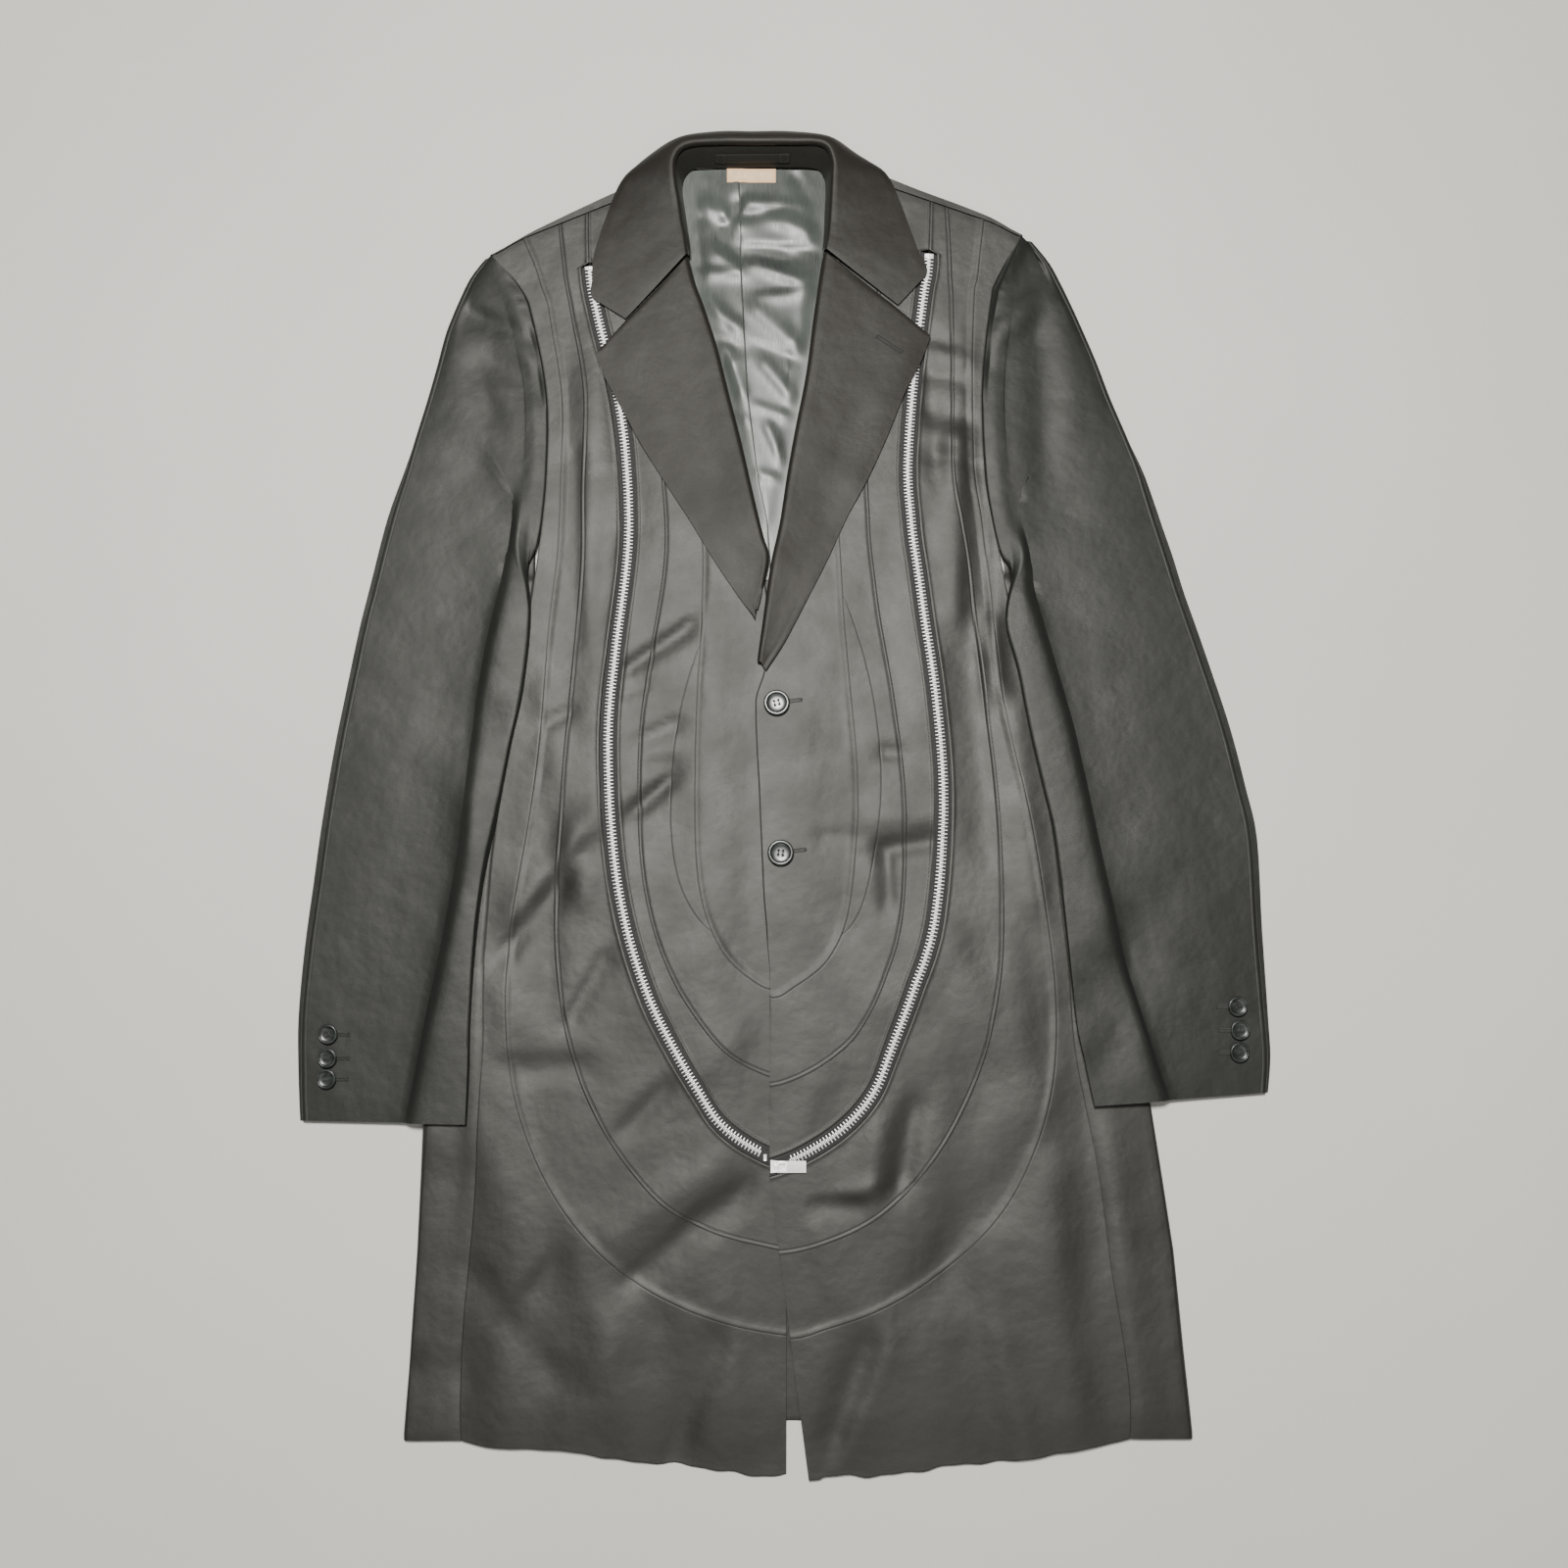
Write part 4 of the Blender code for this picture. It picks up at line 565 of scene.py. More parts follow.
def front_top(side, x, y):
    """Height of the front's outer face, as its solid has it."""
    height = SKIRT_TOP + CHEST_RISE * smooth(y, 40, 200) + SHOULDER_RISE * smooth(y, 290, 420)
    height = height - HEM_DROP * smooth(y, -448, -500)
    if side == RIGHT:
        height = height - UNDER_LAP_SINK * smooth(x, -62, -26) * smooth(y, 180, 140)
    else:
        height = height + OVER_LAP_RISE * smooth(x, 58, 6) * smooth(y, 190, 150)
    return height + beside_front_edge(x) * relief(BODY_FOLDS, x, y)


def beside_front_edge(x):
    """0 along the front edge, which lies flat, and 1 where the folds start."""
    return smooth(np.abs(x + 4), 8, 34)


def cloth_top(side, x, y):
    """The solid's height with the fine creases on it."""
    creases = relief(BODY_CREASES, x, y, CREASE_BREADTH)
    return front_top(side, x, y) + CREASE_DEPTH * beside_front_edge(x) * creases


def crescent_width(side, place):
    start, end, width = CRESCENT[side]
    share = min(max((place - start) / (end - start), 0.0), 1.0)
    return width * math.sin(math.pi * share) ** 0.8


def slot_half(side, place):
    return SEAM + (SLOT_HALF - SEAM) * min(max((place - ZIP_TOP[side]) / ZIP_MOUTH, 0.0), 1.0)


def roll_inset(side, place):
    high, low = INSET_FADE[side]
    return ROLL_INSET * float(1.0 - smooth(front_value(side, "y", place), high, low))


def side_gap(side, place):
    return SEAM / max(math.cos(math.radians(front_value(side, "turn", place))), 0.5)


def seam_at(name, side, place):
    """Distance along the ray of each edge that a panel can have."""
    bib, zip_line = front_value(side, "bib", place), front_value(side, "zip", place)
    marks = {
        "roll": roll_inset(side, place),
        "bib": bib,
        "crescent": bib + crescent_width(side, place),
        "rib": front_value(side, "rib", place),
        "slot_in": zip_line - slot_half(side, place),
        "slot_out": zip_line + slot_half(side, place),
        "outer": front_value(side, "outer", place),
        "ring": front_value(side, "ring", place),
        "side": front_value(side, "side", place) - side_gap(side, place) + SEAM,
    }
    return marks[name]


# Panels of a front: inner and outer edge, and how each edge is finished
FRONT_PANELS = (
    ("bib", "roll", "bib", "fold", "proud"),
    ("rib_band", "crescent", "rib", "plain", "plain"),
    ("zip_band", "rib", "slot_in", "welt", "slot"),
    ("outer_band", "slot_out", "outer", "slot", "plain"),
    ("ring", "outer", "ring", "welt", "proud"),
    ("skirt_front", "ring", "side", "plain", "plain"),
)


def groove(distance, line):
    """Depth to which a row of stitches is sunk into the cloth."""
    return GROOVE_DEPTH * np.exp(-((distance - line) / GROOVE_WIDTH) ** 2)


def edge_finish(kind, distance):
    """Height that an edge's sewing adds, this far in from the edge."""
    rolled = -EDGE_ROLL * (1.0 - smooth(distance, 0.0, 0.8))
    if kind == "welt":
        ridge = WELT_RISE * smooth(distance, 0.2, 1.4) * (1.0 - smooth(distance, 1.9, 4.2))
        return rolled + ridge - groove(distance, WELT_LINE)
    if kind == "slot":
        lip = SLOT_LIP * (1.0 - smooth(distance, 1.6, 3.4))
        return rolled + lip - groove(distance, SLOT_LINE)
    if kind == "proud":
        return rolled + PROUD_RISE * (1.0 - smooth(distance, 0.8, 6.0))
    if kind == "fold":
        return -FOLD_SINK * (1.0 - smooth(distance, 0.0, 0.9))
    return rolled


def across(width, first, second, cells):
    """Distances across a strip, close together at its two edges."""
    scale = min(1.0, width / (1.25 * (first[-1] + second[-1])))
    start, end = np.array(first) * scale, width - np.array(second)[::-1] * scale
    return np.concatenate((start, np.linspace(start[-1], end[0], cells + 1)[1:-1], end))


def fine_places(side, first, last, reach, step=ROW_STEP):
    """Fractional rays, no further apart than a step where they reach furthest."""
    places = [first]
    while places[-1] < last - 1e-6:
        start = places[-1]
        end = min(math.floor(start * 4 + 1e-6) / 4 + 0.25, last)
        ends = [front_point(side, place, reach(place)) for place in (start, end)]
        run = math.hypot(ends[1][0] - ends[0][0], ends[1][1] - ends[0][1])
        parts = max(1, math.ceil(run / step))
        places += [start + (end - start) * (part + 1) / parts for part in range(parts)]
    return places


# Back and shoulder outlines
@functools.lru_cache(maxsize=None)
def side_points(side):
    places = sorted([half / 2 for half in range(2 * HEM_CORNER[side] + 1)] + [ARMPIT[side]])
    return [front_point(side, place, front_value(side, "side", place)) for place in places]


def back_edge(side, y):
    armhole = ARMHOLE_STEP + straight([(point[1], abs(point[0])) for point in side_points(side)], y)
    seam = straight(BODY_EDGE[side], y) - UNDERARM
    pit = front_point(side, ARMPIT[side], front_value(side, "side", ARMPIT[side]))[1]
    return seam + (armhole - seam) * smooth(y, pit - UNDERARM_FADE, pit)


def shoulder_seam_y(x):
    side = RIGHT if x < CENTRE_BACK_X - 20 else LEFT
    turn = math.radians(front_value(side, "turn", 0))
    return front_value(side, "y", 0) - abs(x - front_value(side, "x", 0)) * math.tan(turn)


def shoulder_roll(x):
    return max(smooth(x, NECK_LEFT_X, NECK_LEFT_X - NECK_FADE),
               smooth(x, NECK_RIGHT_X, NECK_RIGHT_X + NECK_FADE))


def shoulder_outline_y(x):
    return max(straight(SHOULDER_LINE, x), shoulder_seam_y(x) + SHOULDER_STRIP * shoulder_roll(x))


def shoulder_drop(x, y):
    """The shoulder's corner eased down, so that the outline runs on into the sleeve head."""
    side = np.where(x < CENTRE_BACK_X, RIGHT, LEFT)
    right, left = side_points(RIGHT)[0], side_points(LEFT)[0]
    corner_x = np.where(side == RIGHT, right[0], left[0])
    corner_y = np.where(side == RIGHT, right[1], left[1])
    near = 1.0 - smooth(side * (corner_x - x), 0.0, SHOULDER_REACH)
    return SHOULDER_EASE * near ** 2 * smooth(y, corner_y - SHOULDER_REACH, corner_y)


def half_turn(steps):
    """Cosines and sines round a fold, from its top to its foot."""
    angles = [math.pi / 2 - math.pi * step / steps for step in range(steps + 1)]
    return [(math.cos(angle), math.sin(angle)) for angle in angles]


# Cloth meshes: a grid of points becomes a thin closed shell
def placed(points):
    return (np.asarray(points, dtype=float) - (MIDDLE_X, MIDDLE_Y, 0.0)) * MM


def grid_faces(rows, columns):
    """Faces of a closed shell of two grids, the lower one numbered after the upper."""
    number = np.arange(rows * columns).reshape(rows, columns)
    below = number + rows * columns
    a, b, c, d = number[:-1, :-1], number[1:, :-1], number[1:, 1:], number[:-1, 1:]
    faces = [np.stack((a, b, c, d), -1).reshape(-1, 4)]
    low = [grid + rows * columns for grid in (d, c, b, a)]
    faces.append(np.stack(low, -1).reshape(-1, 4))
    rims = ((number[1:, 0], number[:-1, 0], below[:-1, 0], below[1:, 0]),
            (number[:-1, -1], number[1:, -1], below[1:, -1], below[:-1, -1]),
            (number[0, :-1], number[0, 1:], below[0, 1:], below[0, :-1]),
            (number[-1, 1:], number[-1, :-1], below[-1, :-1], below[-1, 1:]))
    faces += [np.stack(rim, -1).reshape(-1, 4) for rim in rims]
    return np.concatenate(faces)


def measures(points):
    """Width across, length along and area of a grid, in millimetres."""
    steps_along = np.linalg.norm(np.diff(points, axis=0), axis=2)
    steps_across = np.linalg.norm(np.diff(points, axis=1), axis=2)
    first = np.cross(points[1:, :-1] - points[:-1, :-1], points[1:, 1:] - points[:-1, :-1])
    second = np.cross(points[1:, 1:] - points[:-1, :-1], points[:-1, 1:] - points[:-1, :-1])
    area = (np.linalg.norm(first, axis=2).sum() + np.linalg.norm(second, axis=2).sum()) / 2
    return steps_across.sum(axis=1).max(), steps_along.sum(axis=0).max(), area


def border_nearness(distance):
    """1 at the border of a grid and 0 further in; from it the twill paints shade in the seams and a sheen
    beside them, and the label its warmer edge.
    """
    edge_nearness = 1.0 - smooth(distance, 0.0, EDGE_NEAR_WIDTH)
    edge_nearness[0, :] = 1.0
    edge_nearness[-1, :] = 1.0
    return edge_nearness


def run_length(points, axis):
    """Distance run along a grid of points, from its first row or column."""
    steps = np.linalg.norm(np.diff(points, axis=axis), axis=2)
    return np.insert(np.cumsum(steps, axis=axis), 0, 0.0, axis=axis)


def add_object(name, data):
    """Puts a new object in the scene."""
    made = bpy.data.objects.new(name, data)
    bpy.context.scene.collection.objects.link(made)
    return made


def sew(name, upper, lower, material, slot, edge_nearness=None):
    """Makes the closed shell between two grids one finished piece."""
    rows, columns = upper.shape[:2]
    points = np.concatenate((placed(upper).reshape(-1, 3), placed(lower).reshape(-1, 3)))
    faces = grid_faces(rows, columns)
    corners = points[faces]
    volume = np.einsum("ij,ij->i", corners[:, 0], np.cross(corners[:, 1], corners[:, 2])).sum()
    volume += np.einsum("ij,ij->i", corners[:, 0], np.cross(corners[:, 2], corners[:, 3])).sum()
    if volume < 0:
        faces = faces[:, ::-1]
    mesh = bpy.data.meshes.new(name)
    mesh.from_pydata(points.tolist(), [], faces.tolist())
    middle = (upper + lower) / 2
    flat = np.stack((run_length(middle, 1), run_length(middle, 0)), -1).reshape(-1, 2) * MM
    flat = np.concatenate((flat, flat))
    layer = mesh.uv_layers.new(name="cloth")
    order = np.empty(len(mesh.loops), dtype=np.int32)
    mesh.loops.foreach_get("vertex_index", order)
    layer.data.foreach_set("uv", flat[order].ravel().astype(np.float32))
    # The layer holds how near each point lies to its grid's border; the twill paints seam shade and sheen
    # from it, the label its warmer edge.
    painted_seam_shade = mesh.attributes.new("edge_nearness", "FLOAT", "POINT")
    values = np.zeros((rows, columns)) if edge_nearness is None else edge_nearness
    painted_seam_shade.data.foreach_set("value", np.tile(values.ravel(), 2).astype(np.float32))
    return dress(add_object(name, mesh), material, slot)


def dress(piece, material, slot, body="garment"):
    """Gives a piece its finish and the body that it rides on."""
    piece.data.materials.clear()
    piece.data.materials.append(material)
    piece.data.shade_smooth()
    piece.data.set_sharp_from_angle(angle=math.radians(SHARP_ANGLE))
    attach(piece, body)
    return piece


def bend_shell(points, wall):
    """Upper and lower grids of a bent sheet, a little thinner along its border."""
    down = np.gradient(points, axis=0)
    over = np.gradient(points, axis=1)
    normal = np.cross(down, over)
    normal = normal / np.maximum(np.linalg.norm(normal, axis=2, keepdims=True), 1e-9)
    thick = np.full(points.shape[:2], wall / 2.0)
    for border in (np.s_[0, :], np.s_[-1, :], np.s_[:, 0], np.s_[:, -1]):
        thick[border] = wall / 2.0 * RIM_TAPER
    return points + normal * thick[..., None], points - normal * thick[..., None]


def lay(plan):
    """Works out the size of the cut of a laid sheet of cloth; the result is not used."""
    width, length, area = measures(plan)
    width = min(max(width, LEAST_ROOM * area / length), area / (LEAST_FILL * length))
    width, length = max(width * MM, LEAST_SIDE), max(length * MM, LEAST_SIDE)
    area = min(area * MM * MM, width * length)


def sew_sheet(node, shell, material, slot, plan, edge_nearness=None):
    """Sews a shell as the laid sheet that takes a node's place."""
    weave = {"lining": "satin", "tape": "weave", "label": "weave"}.get(slot, "cloth")
    piece = sew(f"{node}_{weave}", *shell, material, slot, edge_nearness)
    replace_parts(piece, node)
    lay(plan)


# Hand modelling
def start_clean():
    """Leaves nothing selected and no edit mode open."""
    if bpy.context.object is not None and bpy.context.object.mode != "OBJECT":
        bpy.ops.object.mode_set(mode="OBJECT")
    bpy.ops.object.select_all(action="DESELECT")


def open_piece():
    """Opens the new primitive for editing, by faces, with nothing selected."""
    piece = bpy.context.object
    bpy.ops.object.mode_set(mode="EDIT")
    bpy.ops.mesh.select_mode(type="FACE")
    bpy.ops.mesh.select_all(action="DESELECT")
    return piece


def pick_faces(piece, wanted):
    """Selects the faces that pass a test."""
    bpy.ops.mesh.select_all(action="DESELECT")
    shape = bmesh.from_edit_mesh(piece.data)
    for face in shape.faces:
        face.select = bool(wanted(face))
    shape.select_flush(True)
    bmesh.update_edit_mesh(piece.data)


def apply_place():
    """Puts the place and size of a new primitive into its mesh."""
    bpy.ops.object.transform_apply(location=True, rotation=True, scale=True)


def inset_by(width):
    bpy.ops.mesh.inset(thickness=width * MM)


def move_by(x, y, z):
    bpy.ops.transform.translate(value=(x * MM, y * MM, z * MM))


def extrude_by(x, y, z):
    bpy.ops.mesh.extrude_region_move(TRANSFORM_OT_translate={"value": (x * MM, y * MM, z * MM)})


def pick_top(piece):
    pick_faces(piece, lambda face: face.normal.z > 0.9)


def close_piece(piece, name):
    """Ends editing and applies the piece's place to its mesh."""
    bpy.ops.object.mode_set(mode="OBJECT")
    apply_place()
    piece.name = name
    piece.data.name = name
    return piece


def apply_bevel(piece, width, segments=2, angle=30):
    """Rounds the sharp edges of a piece."""
    bpy.context.view_layer.objects.active = piece
    bevel = piece.modifiers.new("soft_edges", "BEVEL")
    bevel.width = width
    bevel.segments = segments
    bevel.limit_method = "ANGLE"
    bevel.angle_limit = math.radians(angle)
    bpy.ops.object.modifier_apply(modifier=bevel.name)


def apply_boolean(piece, tool, operation):
    """Cuts a tool out of a piece, or joins it on, and removes the tool."""
    bpy.context.view_layer.objects.active = piece
    step = piece.modifiers.new("tool", "BOOLEAN")
    step.operation = operation
    step.solver = "EXACT"
    step.object = tool
    bpy.ops.object.modifier_apply(modifier=step.name)
    bpy.data.objects.remove(tool)


def block(name, low, high):
    """A block added at its size and place, left open for editing."""
    start_clean()
    size = [(b - a) * MM for a, b in zip(low, high)]
    middle = placed([(a + b) / 2 for a, b in zip(low, high)])
    bpy.ops.mesh.primitive_cube_add(size=1.0, location=middle, scale=size)
    apply_place()
    piece = open_piece()
    piece.name = name
    return piece


def copy_at(mould, name, matrix):
    """A copy of a mould with its own mesh, its place in the mesh."""
    mesh = mould.data.copy()
    mesh.name = name
    mesh.transform(matrix)
    return add_object(name, mesh)


def joined_copies(name, mould, frames):
    """One mesh of many copies of a mould, each at its own frame."""
    source = mould.data
    points = np.array([vert.co[:] for vert in source.vertices])
    faces = [list(face.vertices) for face in source.polygons]
    all_points, all_faces = [], []
    for number, matrix in enumerate(frames):
        turn = np.array(matrix)
        all_points.append(points @ turn[:3, :3].T + turn[:3, 3])
        start = number * len(points)
        all_faces += [[start + corner for corner in face] for face in faces]
    mesh = bpy.data.meshes.new(name)
    mesh.from_pydata(np.concatenate(all_points).tolist(), [], all_faces)
    return add_object(name, mesh)


def frame_at(point, ahead, up=(0.0, 0.0, 1.0)):
    """A frame whose Y runs ahead and whose Z is nearest to up, placed at a point in metres."""
    y_axis = Vector(ahead).normalized()
    x_axis = y_axis.cross(Vector(up)).normalized()
    z_axis = x_axis.cross(y_axis)
    matrix = Matrix((x_axis, y_axis, z_axis)).transposed().to_4x4()
    matrix.translation = Vector(point)
    return matrix


def spaced(points, pitch, offset=0.0):
    """Points and directions at an even pitch along a path in space, in millimetres."""
    path = np.asarray(points, dtype=float)
    run = np.concatenate(([0.0], np.cumsum(np.linalg.norm(np.diff(path, axis=0), axis=1))))
    marks = np.arange(offset, run[-1], pitch)
    spots = np.stack([np.interp(marks, run, path[:, axis]) for axis in range(3)], -1)
    ahead = np.stack([np.interp(marks + LOOK_AHEAD, run, path[:, axis]) for axis in range(3)], -1)
    back = np.stack([np.interp(marks - LOOK_AHEAD, run, path[:, axis]) for axis in range(3)], -1)
    return spots, ahead - back


def frames_along(points, pitch, offset, up=(0.0, 0.0, 1.0)):
    """A frame at every step of a path."""
    spots, heads = spaced(points, pitch, offset)
    return [frame_at(spot, head, up) for spot, head in zip(placed(spots), heads)]


def sew_stitches(name, stitch, frames, slot="shell"):
    """Many stitches as one piece of thread."""
    dress(joined_copies(name, stitch, frames), sewing_thread(), slot)


# Finishes
class Shade:
    """Builds one material's nodes."""

    def __init__(self, name):
        self.material = bpy.data.materials.new(name)
        self.material.use_nodes = True
        self.tree = self.material.node_tree
        self.shader = self.tree.nodes["Principled BSDF"]

    def node(self, kind, settings=None, **inputs):
        made = self.tree.nodes.new(kind)
        for key, value in (settings or {}).items():
            setattr(made, key, value)
        for key, value in inputs.items():
            self.put(made.inputs[key.replace("_", " ")], value)
        return made

    def put(self, socket, value):
        if isinstance(value, bpy.types.NodeSocket):
            self.tree.links.new(value, socket)
        elif isinstance(value, tuple) and len(value) == 3 and socket.type == "RGBA":
            socket.default_value = (*value, 1.0)
        else:
            socket.default_value = value

    def place(self, turn=0.0, stretch=(1.0, 1.0, 1.0), source="Object"):
        """Coordinates of the piece, turned and stretched."""
        if source == "cloth":
            start = self.node("ShaderNodeUVMap", {"uv_map": "cloth"}).outputs["UV"]
        else:
            start = self.node("ShaderNodeTexCoord").outputs["Object"]
        mapping = self.node("ShaderNodeMapping", None, Vector=start)
        mapping.inputs["Rotation"].default_value = (0.0, 0.0, turn)
        mapping.inputs["Scale"].default_value = stretch
        return mapping.outputs["Vector"]

    def noise(self, place, scale, detail=2.0, rough=0.5):
        made = self.node("ShaderNodeTexNoise", None, Vector=place, Scale=scale, Detail=detail,
                         Roughness=rough)
        return made.outputs["Fac"]

    def wave(self, place, pitch, distortion=0.0, detail=0.0):
        """Straight lines a pitch apart, in metres."""
        made = self.node("ShaderNodeTexWave", None, Vector=place, Scale=math.tau / (20 * pitch),
                         Distortion=distortion, Detail=detail)
        return made.outputs["Fac"]

    def maths(self, operation, first, second):
        made = self.node("ShaderNodeMath", {"operation": operation})
        self.put(made.inputs[0], first)
        self.put(made.inputs[1], second)
        return made.outputs[0]

    def spread(self, value, low, high, to_low, to_high):
        made = self.node("ShaderNodeMapRange", None, Value=value, From_Min=low, From_Max=high,
                         To_Min=to_low, To_Max=to_high)
        return made.outputs["Result"]

    def mix(self, share, first, second):
        """A colour between two; the sockets 6, 7 and 2 are the ones for colours."""
        made = self.node("ShaderNodeMix", {"data_type": "RGBA", "blend_type": "MIX"})
        self.put(made.inputs["Factor"], share)
        self.put(made.inputs[6], first)
        self.put(made.inputs[7], second)
        return made.outputs[2]

    def tint(self, value, low, high, most, first, second):
        """Turns the first colour towards the second, at most so far, where a value is high."""
        return self.mix(self.spread(value, low, high, 0.0, most), first, second)

    def bump(self, height, distance, strength=1.0, normal=None):
        made = self.node("ShaderNodeBump", None, Height=height, Distance=distance, Strength=strength)
        if normal is not None:
            self.put(made.inputs["Normal"], normal)
        return made.outputs["Normal"]

    def finish(self, colour, rough, normal, **constants):
        self.put(self.shader.inputs["Base Color"], colour)
        self.put(self.shader.inputs["Roughness"], rough)
        self.put(self.shader.inputs["Normal"], normal)
        for key, value in constants.items():
            self.put(self.shader.inputs[key.replace("_", " ")], value)
        return self.material


def tone(colour, factor):
    return tuple(min(channel * factor, 1.0) for channel in colour[:3])


def twill_finish(name, colour, pitch, turn, gloss):
    """Wool twill with a satin face: diagonal lines, crossing threads and nap, with a painted sheen on its
    pressed edges and painted shade in its seams.
    """
    shade = Shade(name)
    lines = shade.wave(shade.place(turn), pitch, 0.7, 1.0)
    threads = shade.wave(shade.place(turn + 1.1), pitch * 0.62, 0.5, 1.0)
    fibre = shade.noise(shade.place(turn, (1.0, 3.5, 1.0)), 900.0, 3.0, 0.6)
    nap = shade.noise(shade.place(turn, (1.0, 1.6, 1.0)), 420.0, 4.0, 0.65)
    cockle = shade.noise(shade.place(), 30.0, 3.0, 0.5)
    cloud = shade.noise(shade.place(), 10.0, 3.0, 0.5)
    edge_nearness = shade.node("ShaderNodeAttribute", {"attribute_name": "edge_nearness"}).outputs["Fac"]
    ground = shade.tint(cloud, 0.3, 0.7, 1.0, tone(colour, 0.78), tone(colour, 1.28))
    ground = shade.tint(nap, 0.3, 0.72, 0.55, ground, tone(colour, 0.55))
    woven = shade.tint(lines, 0.0, 1.0, 0.28, ground, tone(colour, 1.75))
    fuzzy = shade.tint(fibre, 0.35, 0.75, 0.3, woven, tone(colour, 1.5))
    # Painted sheen: the colour is lighter in a band just inside each pressed seam and edge, where those
    # edges would catch the light.
    painted_edge_sheen = shade.tint(edge_nearness, 0.1, 0.8, 0.22, fuzzy, tone(colour, 1.9))
    # Painted shade: the colour turns much darker right at each seam and edge, where shade falls in the
    # groove between panels.
    painted_seam_shade = shade.tint(edge_nearness, 0.95, 1.0, 0.45, painted_edge_sheen, tone(colour, 0.2))
    uneven = shade.maths("ADD", cockle, shade.maths("MULTIPLY", fibre, 0.5))
    rough = shade.spread(uneven, 0.5, 1.1, 0.43, 0.56)
    normal = shade.bump(cockle, 0.0022, 0.6)
    normal = shade.bump(nap, 0.00018, 0.4, normal)
    normal = shade.bump(lines, 0.00007, 0.4, normal)
    normal = shade.bump(threads, 0.00005, 0.35, normal)
    normal = shade.bump(fibre, 0.00008, 0.3, normal)
    return shade.finish(painted_seam_shade, rough, normal, Sheen_Weight=0.05, Sheen_Roughness=0.4,
                        Sheen_Tint=(0.76, 0.78, 0.74), Specular_IOR_Level=gloss,
                        Specular_Tint=(1.0, 1.0, 0.96))


def satin_finish(name, colour):
    """Satin lining: fine warp lines and a close sheen."""
    shade = Shade(name)
    warp = shade.wave(shade.place(0.0), 0.00035, 0.4, 1.0)
    slub = shade.noise(shade.place(0.0, (14.0, 1.0, 1.0)), 120.0, 3.0, 0.55)
    cloud = shade.noise(shade.place(), 22.0, 3.0, 0.5)
    ground = shade.tint(cloud, 0.35, 0.68, 1.0, tone(colour, 0.45), tone(colour, 1.05))
    woven = shade.tint(slub, 0.3, 0.7, 0.3, ground, tone(colour, 1.5))
    rough = shade.spread(slub, 0.3, 0.7, 0.34, 0.45)
    normal = shade.bump(cloud, 0.0010, 0.25)
    normal = shade.bump(warp, 0.00003, 0.4, normal)
    return shade.finish(woven, rough, normal, Specular_IOR_Level=0.7, Sheen_Weight=0.12,
                        Sheen_Roughness=0.3, Anisotropic=0.45)


def tape_finish(name, colour):
    """Woven zip tape: ribs along it and picks across."""
    shade = Shade(name)
    ribs = shade.wave(shade.place(0.0, (1.0, 1.0, 1.0), "cloth"), 0.0009)
    picks = shade.wave(shade.place(math.pi / 2, (1.0, 1.0, 1.0), "cloth"), 0.0006, 0.3)
    fibre = shade.noise(shade.place(), 1200.0, 2.0)
    woven = shade.tint(ribs, 0.0, 1.0, 0.6, tone(colour, 0.6), tone(colour, 1.6))
    fuzzy = shade.tint(fibre, 0.4, 0.8, 0.4, woven, tone(colour, 2.4))
    rough = shade.spread(fibre, 0.3, 0.7, 0.55, 0.8)
    normal = shade.bump(ribs, 0.00014, 0.8)
    normal = shade.bump(picks, 0.00008, 0.6, normal)
    return shade.finish(fuzzy, rough, normal, Sheen_Weight=0.2)


def metal_finish(name, colour):
    """Nickel-plated zip metal with fine scratches and dull spots."""
    shade = Shade(name)
    brush = shade.noise(shade.place(0.3, (1.0, 9.0, 1.0)), 700.0, 3.0)
    spots = shade.noise(shade.place(), 260.0, 3.0)
    ground = shade.tint(spots, 0.4, 0.75, 0.5, colour, tone(colour, 0.72))
    rough = shade.spread(shade.maths("ADD", brush, spots), 0.6, 1.4, 0.32, 0.48)
    normal = shade.bump(brush, 0.00004, 0.3)
    return shade.finish(ground, rough, normal, Metallic=0.35, Specular_IOR_Level=0.9)


def button_finish(name, colour):
    """Polished dark resin with faint swirls and handling marks."""
    shade = Shade(name)
    swirl = shade.noise(shade.place(0.6, (1.0, 2.4, 1.0)), 140.0, 4.0, 0.6)
    marks = shade.noise(shade.place(1.0, (1.0, 12.0, 1.0)), 800.0, 2.0)
    ground = shade.tint(swirl, 0.42, 0.7, 1.0, colour, tone(colour, 3.4))
    rough = shade.spread(marks, 0.3, 0.8, 0.24, 0.42)
    normal = shade.bump(swirl, 0.00006, 0.25)
    return shade.finish(ground, rough, normal, Specular_IOR_Level=0.5, Coat_Weight=0.15,
                        Coat_Roughness=0.2)


def thread_finish(name, colour):
    """Twisted sewing thread."""
    shade = Shade(name)
    twist = shade.wave(shade.place(0.8), 0.0003, 0.5)
    fibre = shade.noise(shade.place(), 2400.0, 2.0)
    ground = shade.tint(twist, 0.0, 1.0, 0.6, tone(colour, 0.6), tone(colour, 2.2))
    rough = shade.spread(fibre, 0.3, 0.7, 0.45, 0.7)
    return shade.finish(ground, rough, shade.bump(twist, 0.00005, 0.6), Sheen_Weight=0.3)


